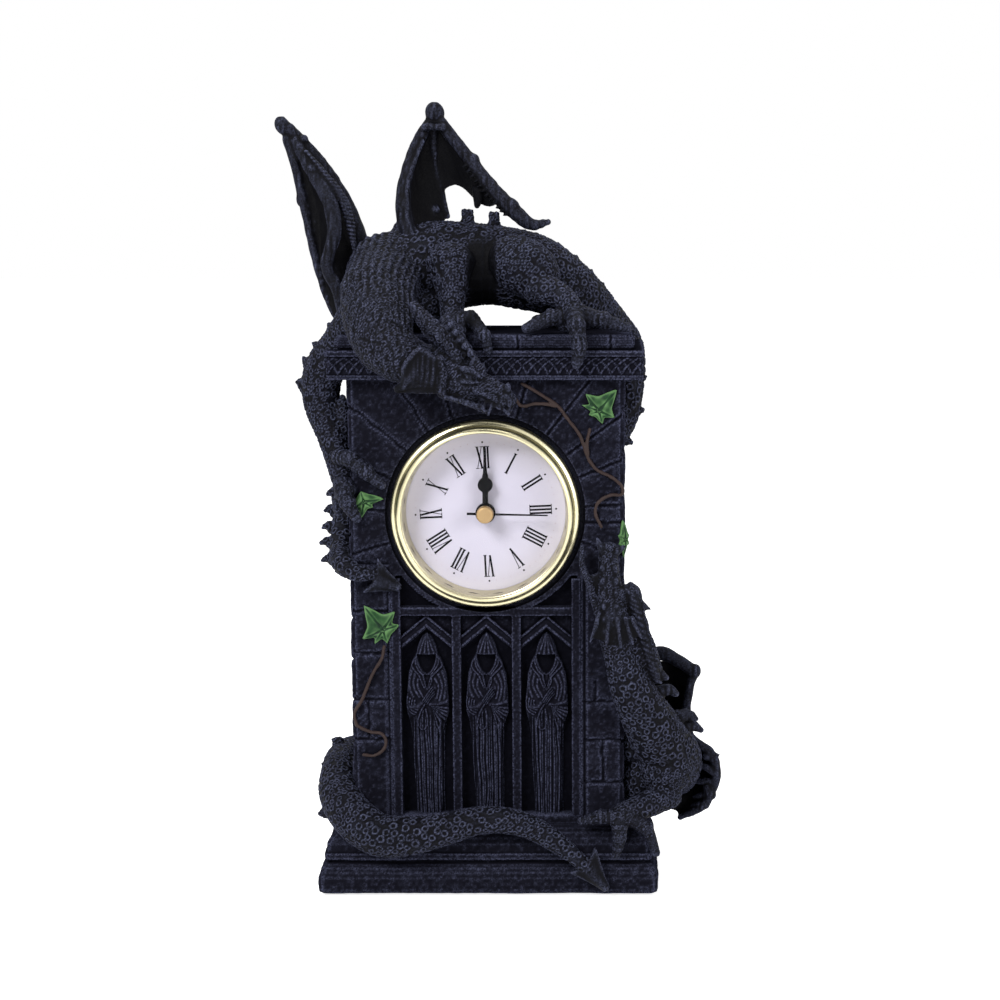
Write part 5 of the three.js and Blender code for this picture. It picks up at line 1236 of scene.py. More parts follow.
def upper_snout(clay, at):
    """Skull, upper and lower jaw, eye and teeth."""
    clay.tube([at(-15, -1, -8), at(-8, 0, -10.5), at(-1, 0, -13.5), at(5, 0.2, -15.8), at(8, 0.3, -17.6)],
              [(6.4, 5.2), (5.8, 4.8), (4.2, 3.6), (2.9, 2.7), (2.0, 2.1)], HEAD_SCALES)
    clay.tube([at(-11, 0, -15), at(-4, 0.3, -17.8), at(1.4, 0.3, -20.8)],
              [(2.3, 3.0), (1.6, 2.2), (0.8, 1.0)], HEAD_SCALES)
    clay.tube([at(6.4, 0.3, -15.6), at(7.8, 0.3, -18.0), at(7.9, 0.3, -21.2)], [1.7, 1.4, 0.4], HORN)
    clay.thorn(at(6.9, 0.3, -15.6), at(7.4, 0.6, -12.0), 1.2)
    for i in range(3):
        clay.thorn(at(-2.6 + i * 1.3, 2.2, -8.4 - i * 0.8), at(-2.0 + i * 1.4, 2.6, -4.6 - i * 1.0), 1.1,
                   HEAD_SCALES)
    clay.ball(at(-3.2, 3.6, -9.6), (2.6, 1.4, 1.6), HEAD_SCALES, 20)
    clay.ball(at(-3.4, 4.6, -10.7), (1.0, 0.7, 0.8), HORN)
    clay.tube([at(-6, 4.3, -8.2), at(-3.2, 5.1, -8.7), at(-0.4, 4.4, -10.6)], [0.7, 0.8, 0.5], HORN,
              FORWARD)
    clay.tube([at(-5.6, 4.4, -11.8), at(-3.2, 4.9, -12.2), at(-0.8, 4.3, -12.2)], [0.5, 0.5, 0.4], HORN,
              FORWARD)
    for start in (4.2, -4.0):
        clay.tube([at(-2, start * 0.9, -14.4), at(2, start * 0.75, -16.2), at(6.2, start * 0.5, -18.4)],
                  [0.8, 0.8, 0.6], HEAD_SCALES)
    for i in range(8):
        clay.ball(at(-10 + i * 1.45, 3.3 - i * 0.1, -16.4 - i * 0.42), (0.75, 0.8, 0.85), HORN)
    for i in range(5):
        clay.ball(at(-4.6 + i * 1.3, 3.0 - i * 0.15, -18.3 - i * 0.5), (0.55, 0.6, 0.65), HORN)
    for i in range(5):
        clay.thorn(at(-0.5 + i * 1.5, 2.4 - i * 0.1, -17.2 - i * 0.55),
                   at(-0.4 + i * 1.5, 2.5 - i * 0.1, -18.8 - i * 0.5), 0.45)


def upper_mane(clay, at):
    """Strands swept back from the brow, with knobs along the cheek."""
    for i in range(5):
        lift, shift = 1.0 + 0.75 * (2 - abs(i - 2)), (i - 2) * 0.8
        clay.tube([at(-6.6 + shift, lift, -6.2 + shift * 0.5),
                   at(-11 + shift, lift + 0.6, -0.6 + shift * 0.6),
                   at(-15.6 + shift * 0.8, lift + 0.6, 4.6 + shift * 0.5),
                   at(-19.4 + shift * 0.4, lift * 0.6, 9.6 + shift * 0.3)],
                  [1.1, 1.25, 1.05, 0.5], STRANDS, per=5)
    for i in range(6):
        share = i / 5
        clay.ball(at(-8.8 + 7 * share, 2.2, 3.6 - 9.8 * share), (0.95 + 0.25 * (i % 2), 1.1, 1.2), HORN,
                  35, 8)
    clay.tube([at(-3, -2.0, -7), at(-5.6, -2.2, -2), at(-7.4, -2.4, 1.6), at(-9.4, -2.2, 5.4)],
              [1.9, 1.7, 1.4, 0.8], STRANDS)


def upper_frill(clay, at):
    """Ear frill: beaded rim, thin web with bent ribs and a straight double lower edge."""
    rim = [(-24.4, 4.6, -13.8), (-21.6, 5.8, -11.6), (-21.4, 7.4, -8), (-19.2, 8.2, -4.7),
           (-16.8, 8, -2.8), (-13.2, 7, -5.2)]
    clay.tube([at(*p) for p in rim], [0.45, 0.7, 0.75, 0.8, 0.8, 0.8], SMOOTH, FORWARD, 10)
    for x, out, z in spline(rim, 4)[3:]:
        clay.ball(at(x, out + 0.5, z), (0.75, 0.6, 0.55), SMOOTH, 0, 6)
    frill = [(-11.8, 6.6, -5.8), (-13.6, 7.2, -5), (-16.6, 7.8, -3.2), (-19, 7.8, -5.2), (-21, 7, -8.6),
             (-21.8, 6.2, -12), (-24, 4.6, -13.8)]
    clay.web([[at(x, out, z), at(x - 0.3, (out + 6.6) / 2, (z - 14.7) / 2), at(x, 4.8, -14.8)]
              for x, out, z in frill], 1.2)
    for x, out, z in spline(frill[1:6], 2)[:-1]:
        clay.tube([at(x + 0.6, out + 0.5, z - 0.5),
                   at(x + 0.3, (out + 7.4) / 2 + 0.4, (z - 14.4) / 2 - 0.6), at(x - 0.6, 5.3, -14.2)],
                  [0.34, 0.38, 0.34], SMOOTH, FORWARD, 8, 4)
    for z in (-14.3, -15.1):
        clay.tube([at(-11, 5.0, z), at(-17, 5.3, z), at(-24.2, 4.9, z + 0.1)], [0.36, 0.36, 0.28],
                  SMOOTH, FORWARD, 8, 4)
    clay.tube([at(-11.6, 5.4, -5.6), at(-11.3, 5.4, -9.8), at(-11.2, 4.4, -14.4)], [1.4, 1.7, 1.5],
              STRANDS, FORWARD)


def upper_mouth(clay, at):
    """Lips and the curled tip of the jaw."""
    arch = [(4.7, -19.8), (5.0, -17.8), (6.2, -16.3), (7.4, -16.9), (7.8, -19.2)]
    clay.tube([at(x, 2.5, z) for x, z in arch], [0.5, 0.6, 0.65, 0.6, 0.5], HORN, FORWARD, 10, 5)
    clay.tube([at(7.6, 0.6, -18.4), at(7.8, 1.0, -20.2), at(7.4, 0.9, -21.8)], [0.9, 0.8, 0.5], HORN)
    jaw = [(1.5, -21.7), (3.2, -18.7), (5.2, -19.4), (7.4, -21.7)]
    clay.tube([at(x, 1.8, z) for x, z in jaw], [0.55, 0.6, 0.6, 0.5], HORN, FORWARD, 10, 5)
    clay.ball(at(7.2, 1.6, -14.2), (1.0, 1.0, 1.7), SMOOTH, 0, 8)


def upper_head(clay):
    """Head that hangs in front of the cornice, in places measured on the photograph."""
    def at(dx, out, dz):
        return (left + 40 + dx, cornice_front - 8 - out, slab_top + dz)

    upper_snout(clay, at)
    upper_mane(clay, at)
    upper_frill(clay, at)
    upper_mouth(clay, at)


def toe(clay, path, radii):
    """Knuckled toe with a blunt, ribbed claw."""
    radii = list(radii[:-1]) + [max(radii[-1], 0.62 * radii[-2])]
    clay.tube(path, radii, CLAW, sides=12)
    path = np.array(path, float)
    for i in range(1, len(path) - 1):
        clay.ball(path[i] + np.array([0, -0.3, 0.4]), (radii[i] * 1.1,) * 3, CLAW, steps=8)


def stump(clay, base, height, half_width):
    """Blunt spine with a notched top."""
    x, y, z = base
    clay.tube([(x, y, z - 1.5), (x, y, z + height * 0.5), (x, y, z + height - half_width * 0.7)],
              [(1.3, half_width * 1.15), (1.2, half_width), (1.1, half_width * 0.85)], SMALL_SCALES,
              (0, 1, 0))
    for side in (-1, 1):
        clay.ball((x + side * half_width * 0.5, y, z + height - half_width * 0.5),
                  (half_width * 0.5, 1.1, half_width * 0.55), SMALL_SCALES)


def upper_body(clay):
    """Trunk and neck, with the ribs on the neck's outside."""
    clay.tube([(left + 11, 0, slab_top + 17), (left + 24, 2, slab_top + 18.4), (0, 3, slab_top + 19),
               (13, 3, slab_top + 16.6), (right - 17, 5, slab_top + 11.5), (right - 8, 11, slab_top + 4.5)],
              [(11.5, 11.5), (13.4, 11), (11.8, 10.5), (11.4, 11), (9.3, 9), (6.8, 6.8)], SCALES, sides=20)
    clay.tube([(left + 11, 0, slab_top + 17), (left + 9.5, cornice_front + 6, slab_top + 9),
               (left + 12, cornice_front - 4.5, slab_top - 1),
               (left + 17, cornice_front - 7.5, slab_top - 5.5),
               (left + 25, cornice_front - 8, slab_top - 8.5)], [11.4, 10.8, 8.8, 7.4, 5.6], STRANDS,
              sides=20)
    axis = [(left + 11, 0, 17, 11.4, 0.2), (left + 10.3, -8.5, 13, 11.1, 0.42),
            (left + 9.5, -17, 9, 10.8, 0.5), (left + 10.7, -22.2, 4, 9.8, 0.6),
            (left + 12, -27.5, -1, 8.8, 0.69)]
    for angle in range(-66, 67, 12):
        side, up = math.sin(math.radians(angle)), math.cos(math.radians(angle))
        cord = []
        for x, y, z, radius, lean in axis:
            rise = radius * up * math.sqrt(1 - lean * lean)
            cord.append((x + radius * side, y - radius * up * lean, slab_top + z + rise))
        clay.tube(cord, [0.75 + 0.2 * math.sin(angle)] * 5, STRANDS, sides=10)
    clay.ball((left + 21, -5, slab_top + 6), (8.5, 8, 7.5), SMALL_SCALES)
    clay.ball((11, -8, slab_top + 18.6), (11.2, 7.8, 8.4), SMALL_SCALES, 35)
    clay.ball((11, 12, slab_top + 18), (11, 8, 8.6), SMALL_SCALES, 35)


def upper_legs(clay):
    """Legs that lie on the slab, with claws over its front edge."""
    lip = cornice_front + 2.8
    clay.tube(spots(0, 0, slab_top, [(15, -12, 13), (22, -16, 10.5), (26, -19, 6)]), [5.2, 3.5, 3.3],
              SMALL_SCALES)
    clay.tube(spots(0, 0, slab_top, [(15, 15, 13), (22, 16, 9), (25, 17, 4)]), [5.2, 3.5, 3.0],
              SMALL_SCALES)
    clay.ball((25, lip + 3.5, slab_top + 3.4), (5.4, 3.2, 3.2), SMALL_SCALES)
    toe(clay, spots(0, lip, slab_top, [(25.5, 2, 5.5), (19, 1, 4.6), (11.6, -1, 1.8)]), [2.7, 2.3, 1.1])
    toe(clay, [(25.5, lip, slab_top + 6), (26.3, cornice_front - 2, slab_top + 2.5),
               (27, cornice_front - 3.2, slab_top - 3),
               (26.2, cornice_front - 3, slab_top - 8.4)], [2.8, 2.5, 2.3, 0.9])
    toe(clay, spots(0, lip, slab_top, [(26, 2, 6), (34, 1.5, 3.8), (41, 1, 1.8)]), [2.9, 2.3, 1.2])
    toe(clay, spots(0, 0, slab_top, [(25, 17, 3.5), (30, 19, 2.5), (36, 20, 1.6)]), [2.7, 2.1, 1.1])
    toe(clay, spots(0, 0, slab_top, [(24, 17, 3.5), (18, 19, 2.6), (13, 20, 1.6)]), [2.7, 2.1, 1.1])
    clay.tube(spots(0, 0, slab_top, [(-10.5, -8, 20), (-9.8, -13, 10), (-9.5, -16, 3.4)]),
              [7.2, 3.9, 3.2], SMALL_SCALES)
    toe(clay, [(-9, -17, slab_top + 4), (-4, lip, slab_top + 4.4), (0, lip - 3, slab_top - 0.5),
               (1.2, lip - 3.2, slab_top - 4.6)],
        [2.5, 2.2, 1.9, 0.8])
    toe(clay, [(-10, -17, slab_top + 3.6), (-11, lip - 1, slab_top + 3),
               (-11, lip - 3.6, slab_top - 1.6)], [2.5, 2.1, 0.9])
    toe(clay, [(-9.6, -17, slab_top + 4), (-7.4, lip - 0.8, slab_top + 3.4),
               (-6.4, lip - 3.4, slab_top - 1.4)], [2.3, 1.9, 0.8])


def upper_arm(clay):
    """Arm that hangs down the left edge, with claws on the front."""
    clay.tube(spots(left, front, slab_top, [(8, 4, 7), (-1, 8, -3.4), (-7.6, 11, -11.6),
                                            (-8.6, 11.4, -20), (-5, 8, -31), (-1.6, 2, -42)]),
              [8.8, 6.7, 6.0, 5.4, 4.3, 3.3], SMALL_SCALES, sides=18)
    clay.tube(spots(left, front, slab_top, [(-1.9, 8, -18.8), (-1.9, 8, -22), (-1.9, 8, -31),
                                            (-1.8, 6, -39)]), [1.0, 2.1, 2.1, 2.0], SMALL_SCALES)
    clay.ball((left - 0.6, front - 1.5, slab_top - 44.5), (3.2, 3.2, 3.6), CLAW)
    toe(clay, spots(left, front, slab_top, [(-2.6, 1, -35.4), (1.2, -1.8, -36), (5.8, -3.4, -39.4),
                                            (10.4, -2.8, -43.4)]), [2.4, 2.4, 2.2, 1.0])
    toe(clay, spots(left, front, slab_top, [(-1.4, -1.6, -43), (0.4, -3.6, -48.4), (3.0, -2.6, -53.2)]),
        [2.7, 2.3, 1.0])
    toe(clay, spots(left, front, slab_top, [(-1.5, -1, -46), (-2.6, -1.6, -50), (-2.4, -0.6, -52.6)]),
        [1.8, 1.6, 0.8])


def flat_thorn(clay, base, lean, height, radius):
    """Thorn of a height that leans by (x, z)."""
    base = np.array(base, float)
    tip = base + np.array([lean[0], 0, lean[1]]) * height
    clay.thorn(base, tip, radius, SMALL_SCALES, flat=0.75)


def make_upper_dragon():
    clay = Clay()
    upper_body(clay)
    upper_legs(clay)
    upper_arm(clay)
    upper_head(clay)
    flat_thorn(clay, (left + 14, 1, slab_top + 28.6), (-0.1, 1), 3.4, 2.2)
    for x, z, height, half_width in ((34.2, 31.2, 4.2, 1.9), (42.0, 30.6, 4.0, 1.7)):
        stump(clay, (left + x, 3, slab_top + z), height, half_width)
    for x, y, z in ((-3, 3, 28), (3, 3, 28.6), (14, 3.4, 26.6), (20, 4, 23.6), (25.5, 5, 20),
                    (30, 7, 15.6), (33.4, 9, 11.6)):
        flat_thorn(clay, (x, y, slab_top + z), (0.25, 0.9), 2.2, 1.5)
    for x, y, z, lean in ((left - 3.2, front + 8, 0, (-0.7, 0.7)),
                          (left - 7.7, front + 11, -5.4, (-0.8, 0.6)),
                          (left - 11.0, front + 11, -10.2, (-0.7, 0.7)),
                          (left - 12.6, front + 12, -16, (-0.9, 0.4))):
        flat_thorn(clay, (x, y, slab_top + z), lean, 3.8, 3.0)
    skin = clay.fuse("upper_dragon_skin", 0.45)
    x, y, z = skin.points.T
    belly = smoothstep(-6.5, -4.5, x) * smoothstep(-3.8, -2.2, -x)
    belly = belly * smoothstep(slab_top + 1, slab_top + 4, z)
    belly = belly * smoothstep(-slab_top - 30, -slab_top - 24, -z) * smoothstep(2, -2, y)
    skin.marks[:, 1] *= 1 - belly
    skin.marks[:, 2] = np.maximum(skin.marks[:, 2], 0.5 * belly)
    # Painted shade: the belly under the trunk is darkened and kept free of the dry brush
    skin.marks[:, 4] = np.maximum(skin.marks[:, 4], 0.85 * belly)
    sculpt(skin, 61)
    dress_dragon(skin.obj, "upper_dragon")


def finish_wing(clay, name, voxel, node, seed):
    """Fuses a wing, roughens it and dresses it."""
    skin = clay.fuse(name, voxel)
    skin.push(rough(skin.points, seed, (3.0, 0.15)))
    sculpt(skin, seed, 0.26)
    dress_dragon(skin.obj, node)


def make_left_wing():
    clay = Clay()
    bone = spots(left, 0, slab_top, [(3, 3, 23), (-2.2, 5, 37), (-8.6, 4.5, 47.6), (-14.4, 3, 54.6),
                                     (-18, 2, 58.6)])
    edge = spots(left, 0, slab_top, [(-18.2, 2, 56), (-16.2, 1, 49), (-14, 0, 38.5), (-10.8, -1.6, 23.6),
                                     (-7, -3.6, 10), (-3, -6, 1.5)])
    finger = spots(left, 0, slab_top, [(-16, 1, 55), (-10.6, -2, 46), (-5.6, -4.6, 37.6), (-4, -6, 29),
                                       (-6.4, -6.4, 19), (-3.2, -7.6, 12), (-2, -8.4, 3)])
    clay.tube(bone, [3.1, 2.5, 2.2, 2.0, 2.0], HORN)
    clay.tube(edge, [1.6, 1.5, 1.4, 1.3, 1.1, 0.7], HORN)
    clay.tube(finger, [(1.3, 1.5), (1.4, 1.9), (1.5, 2.3), (1.4, 2.1), (1.4, 1.9), (1.2, 1.8),
                       (0.9, 1.0)], HORN, (0, 1, 0))
    clay.ball((left - 19.6, 2, slab_top + 59.4), (2.3, 2.2, 2.9), HORN, -25)
    outer, middle, inner = spline(edge, 12), spline(finger, 12), spline(bone[::-1], 12)
    rows = []
    for i in range(9):
        share = i / 8
        a, b, c = (line[round(share * (len(line) - 1))] for line in (outer, middle, inner))
        sag = (a + b) / 2 + np.array([0, 2.6 * math.sin(math.pi * share), 0])
        rows.append([a, sag, b, (b + c) / 2, c])
    clay.web(rows, 1.2)
    stack = spline([(-12.2, -1.2, 52.0), (-7.4, -2.2, 46.2), (-2.8, -2.8, 40), (-0.4, -2.8, 34),
                    (0.8, -2.4, 27), (1.8, -1.6, 21)], 6)
    for i, (x, y, z) in enumerate(stack):
        share = i / (len(stack) - 1)
        half = 0.8 + 1.3 * math.sin(math.pi * min(1, share * 1.05)) ** 1.5
        clay.ball((left + x, y, slab_top + z), (half, 1.5, 0.46), SMOOTH, 12, 8)
    clay.ball((left - 14.2, 0.4, slab_top + 38.4), (1.6, 1.6, 2.8), HORN)
    clay.ball((left - 13.6, 2.0, slab_top + 55.6), (1.5, 1.5, 1.3), HORN)
    clay.ball((left - 10.4, -2.4, slab_top + 46.8), (1.9, 1.2, 1.4), HORN, 30, 8)
    finish_wing(clay, "left_wing_skin", 0.36, "upper_dragon_left_wing", 62)


def make_right_wing():
    clay = Clay()
    arm = spots(left, 0, slab_top, [(20, -3, 23.5), (16.4, -2.4, 31), (15.6, -1, 38.5), (16.7, 1, 46),
                                    (20, 2.4, 55), (25, 2.6, 62.4)])
    middle = spots(left, 0, slab_top, [(24.6, 2.6, 60), (24.4, 5.6, 50), (26, 7, 42), (28, 6, 33)])
    upper = spots(left, 0, slab_top, [(26.6, 2.2, 60.4), (34.4, 0.6, 50.6), (41, -1, 42),
                                      (47.6, -2, 35.2), (53.2, -2, 30.8), (58.2, -1.4, 31.6)])
    clay.tube(arm, [3.4, 2.5, 2.2, 1.9, 1.8, 1.9], HORN)
    clay.tube(spots(left, 0, slab_top, [(20.6, -4.6, 22), (17.4, -4.4, 31), (16.8, -2.8, 38.5),
                                        (18, -0.8, 46), (21.4, 1.0, 55)]), [1.2, 0.9, 0.8, 0.7, 0.6], HORN)
    clay.tube(middle, [1.2, 1.1, 1.0, 0.8], HORN)
    clay.tube(upper, [1.8, 1.9, 2.2, 2.3, 1.8, 0.9], HORN)
    clay.ball((left + 24.8, 2.6, slab_top + 63.2), (2.9, 2.7, 3.3), HORN)
    arm_line, mid_line, long_line = spline(arm[::-1], 12), spline(middle, 12), spline(upper, 12)
    near_rows, far_rows = [], []

    def along(line, share):
        return line[round(share * (len(line) - 1))]

    for i in range(7):
        share = i / 6
        a, b = along(arm_line, share), along(mid_line, share)
        near_rows.append([a, (a + b) / 2 + np.array([0, 1.6 * math.sin(math.pi * share), 0]), b])
        c, d = along(mid_line, share * 0.72), along(long_line, share * 0.52)
        row = []
        for t in (0, 0.2, 0.4, 0.6, 0.8, 1):
            bow = np.array([0, 1.6 * math.sin(math.pi * t), 2.4 * share ** 2 * math.sin(math.tau * t)])
            row.append(c + (d - c) * t + bow)
        far_rows.append(row)
    clay.web(near_rows, 1.2)
    clay.web(far_rows, 1.2)
    clay.tube(spots(left, 0, slab_top, [(37.4, 0.6, 41), (37.4, 0.8, 38), (37, 0.8, 36)]),
              [1.8, 1.4, 0.8], MEMBRANE)
    for i in range(14, 37, 2):
        clay.ball(long_line[i] + np.array([-1.5, -0.6, -1.2]), (1.4, 1.0, 0.4), MEMBRANE, -25, 8)
    for x, y, z, size in ((36, 0.4, 49.6, 2.3), (47.4, -2, 36.2, 2.7)):
        clay.ball((left + x, y, slab_top + z), (size, size * 0.9, size * 0.8), HORN, 50)
    clay.tube([(left + 22, 0.4, slab_top + 59), (left + 27.4, 0.2, slab_top + 59)], [1.2, 1.2], HORN)
    clay.ball((left + 24.6, 4.4, slab_top + 35), (1.4, 1.3, 1.4), HORN)
    finish_wing(clay, "right_wing_skin", 0.36, "upper_dragon_right_wing", 63)


def arrow_head(clay, corners, near):
    """Barbed tail tip of two smooth facets that meet in a raised middle rib."""
    point, first, neck, second = (np.array(corner, float) for corner in corners)
    rows = []
    for share in np.linspace(0, 0.94, 7):
        a, b, c = (corner * (1 - share) + point * share for corner in (first, neck, second))
        places = ((a, 1.9), ((a + b) / 2, 1.3), (b, 0.5), ((b + c) / 2, 1.3), (c, 1.9))
        rows.append([(x, near + depth, z) for (x, z), depth in places])
    clay.web(rows, 1.9, SMOOTH)
    clay.tube([(neck[0], near + 0.6, neck[1]), (point[0], near + 1.0, point[1])], [0.8, 0.35], SMOOTH)


def tail_skin(clay, name, node, seed):
    """Fuses, sculpts and dresses a tail."""
    skin = clay.fuse(name, 0.4)
    sculpt(skin, seed)
    dress_dragon(skin.obj, node)


def make_upper_tail():
    clay = Clay()
    path = [(right - 9, 9, slab_top + 6), (right - 3.4, 19, slab_top - 1),
            (right + 1, back + 9.5, slab_top - 8), (right + 1.2, back + 8.5, slab_top - 20),
            (right - 2, back + 7, slab_top - 32), (right - 16, back + 6, slab_top - 42),
            (0, back + 5.8, slab_top - 46), (left + 20, back + 5.6, slab_top - 48),
            (left + 2, back + 4.4, slab_top - 48), (left - 4.2, back - 5, slab_top - 50.4),
            (left - 3.7, 4, slab_top - 56), (left - 3.5, front + 12, slab_top - 64),
            (left - 1.8, front + 1, slab_top - 67), (left + 2.6, front - 3, slab_top - 68.8),
            (left + 8.6, front - 1.8, slab_top - 69.6)]
    radii = [6.4, 6.0, 5.6, 5.2, 5.0, 5.0, 5.0, 5.0, 5.0, 4.3, 3.6, 3.5, 3.2, 2.5, 1.4]
    clay.tube(path, radii, SCALES, sides=18)
    arrow_head(clay, [(left + 15.4, slab_top - 73.7), (left + 3.9, slab_top - 74.8),
                      (left + 7.9, slab_top - 71.1),
                      (left + 8.4, slab_top - 64.7)], front - 3.4)
    for x, y, z, lean in ((right + 4.6, back + 8, -17, (1, 0.2)), (right + 4, back + 8, -27, (1, 0.1)),
                          (right + 0.6, back + 7, -36, (0.9, -0.4))):
        flat_thorn(clay, (x, y, slab_top + z), lean, 3, 2)
    fins = ((6.2, 6, -50, 9.4, -50.2), (6.4, 4, -54.9, 10.0, -54.9), (6.5, 1, -59.6, 10.7, -59.6),
            (6.1, -3, -63.6, 10.7, -63.7), (4.8, -11, -67, 9.2, -67.6))
    for inner, y, high, outer, low in fins:
        clay.thorn((left - inner, y, slab_top + high), (left - outer, y, slab_top + low), 2.4,
                   SMALL_SCALES, 0.6, 0.7)
    tail_skin(clay, "upper_tail_skin", "upper_dragon_tail", 64)


def make_lower_tail():
    clay = Clay()
    path = [(right + 9.4, back - 3.6, shelf + 8), (right + 4, back + 6, shelf + 8),
            (right - 10, back + 9.4, shelf + 7.4), (0, back + 9.4, shelf + 7),
            (left + 12, back + 9, shelf + 7.6), (left - 2, back + 6, shelf + 9.4),
            (left - 6, back - 8, shelf + 11.6), (left - 5.6, front + 14, shelf + 11.4),
            (left - 4.4, front + 3, shelf + 8), (left + 1, front - 6, shelf + 3.4),
            (left + 9, front - 9.4, shelf - 0.6), (left + 19, front - 10, shelf - 0.4),
            (left + 29, front - 9.4, shelf + 1.6), (left + 37, front - 8.6, shelf + 3.4),
            (left + 45, front - 8.4, shelf + 3.6), (left + 53, front - 9, shelf + 1.6),
            (left + 59, front - 10, shelf - 1.6), (left + 65, front - 10.6, shelf - 6),
            (left + 70, front - 10.8, shelf - 10.6)]
    radii = [6.1, 6.1, 6.1, 6.1, 6.1, 5.5, 5.3, 5.7, 6.1, 6.3, 6.3, 5.5, 4.6, 4.1, 3.8, 3.5, 3.1, 2.5, 1.7]
    clay.tube(path, radii, SCALES, sides=18)
    arrow_head(clay, [(left + 75.6, shelf - 17.1), (left + 64.2, shelf - 11.4), (left + 68.8, shelf - 9.6),
                      (left + 71.8, shelf - 3.8)], front - 12)
    for x, y, z, lean in ((left - 8, back - 10, 17, (-0.9, 0.4)), (left - 9.4, front + 16, 13, (-1, 0.3)),
                          (left - 9.4, front + 9, 8.6, (-1, 0)), (left - 8.6, front + 1, 3, (-1, -0.2))):
        flat_thorn(clay, (x, y, shelf + z), lean, 2.2, 2)
    tail_skin(clay, "lower_tail_skin", "lower_dragon_tail", 65)


def lower_head(clay):
    """Head that looks up along the right edge, with horns, spines and a beaded snout."""
    def at(dx, out, dz):
        return (right + dx, front - out, shelf + dz)

    clay.tube([at(-2, 5, 52), at(-3, 4.8, 60), at(-4, 4.6, 68), at(-4.8, 4, 77), at(-4.8, 3.6, 84)],
              [(3.8, 4.2), (4.2, 5.0), (3.6, 4.2), (2.6, 3.1), (1.9, 2.6)], HEAD_SCALES, FORWARD)
    clay.thorn(at(-6.4, 4, 83), at(-8.4, 4.6, 87.2), 1.4)
    clay.thorn(at(-3, 4, 82.6), at(0.4, 4.4, 84.6), 1.5)
    left_horn = [at(-7.6, 4.6, 64.6), at(-10.2, 4.8, 73), at(-12.4, 4.6, 79), at(-12.4, 4.2, 84.2)]
    clay.tube(left_horn, [1.4, 1.15, 0.95, 0.6], HEAD_SCALES)
    clay.web([[at(-7.6, 4.4, 66), at(-6, 4.6, 66.5), at(-4.4, 4.6, 67)],
              [at(-9.4, 4.6, 71), at(-7, 4.8, 72), at(-5, 4.8, 73)],
              [at(-11, 4.6, 75.6), at(-8.4, 4.6, 76.6), at(-6, 4.6, 78)]], 0.9, HORN)
    horn = [(-3, 4.0, 66), (1.4, 3.6, 71), (2.9, 3, 66), (4.4, 3, 60), (6.2, 2.8, 54), (7.8, 2.4, 49),
            (8.8, 1.6, 45)]
    clay.tube([at(*p) for p in horn], [2.2, 2.7, 2.6, 2.7, 2.8, 2.7, 2.0], STRANDS)
    clay.tube([at(0, 2, 62), at(3.4, 1.6, 54), at(7, 0, 46)], [3.4, 4, 4.4], SCALES)
    for i, (x, y, z) in enumerate(spline([at(*p) for p in horn[1:]], 3)):
        clay.ball((x, y - 1.5, z), (2.5 + 0.3 * (i % 2), 1.7, 0.85), SMOOTH, 38, 8)
    clay.thorn(at(3.6, 3.2, 67.4), at(7.6, 2.8, 65.4), 1.7)
    for row in range(2):
        for i in range(6):
            z = 60 + i * 3.6
            out = float(np.interp(z, [60, 68, 77, 84], [8.3, 7.6, 5.9, 4.8]))
            clay.ball(at(-6.0 + row * 3.6 - i * 0.1, out, z), (0.9, 0.9, 1.2), HORN, 0, 6)
    clay.ball(at(-6.4, 6.2, 69.6), (1.3, 1.5, 2.1), HEAD_SCALES)
    clay.ball(at(-1.4, 6.2, 70.2), (1.3, 1.5, 2.1), HEAD_SCALES)
    spines = [(-7.4, 65, -10.1, 56.9), (-4.9, 64, -5.4, 55.5), (-2.4, 63.6, -1.2, 55.4),
              (0.1, 63.4, 2.3, 56.2), (2, 63.6, 4.8, 58)]
    clay.web([[at(x, 7.4, high), at((x + tip) / 2, 8.4, (high + low) / 2), at(tip, 8.6, low + 1.6)]
              for x, high, tip, low in spines], 1.0)
    for x, high, tip, low in spines:
        clay.tube([at(x, 8.0, high + 0.6), at((x + tip) / 2, 9.0, (high + low) / 2),
                   at(tip, 9.2, low + 0.3)],
                  [0.7, 0.6, 0.4], HORN, FORWARD, 8, 4)


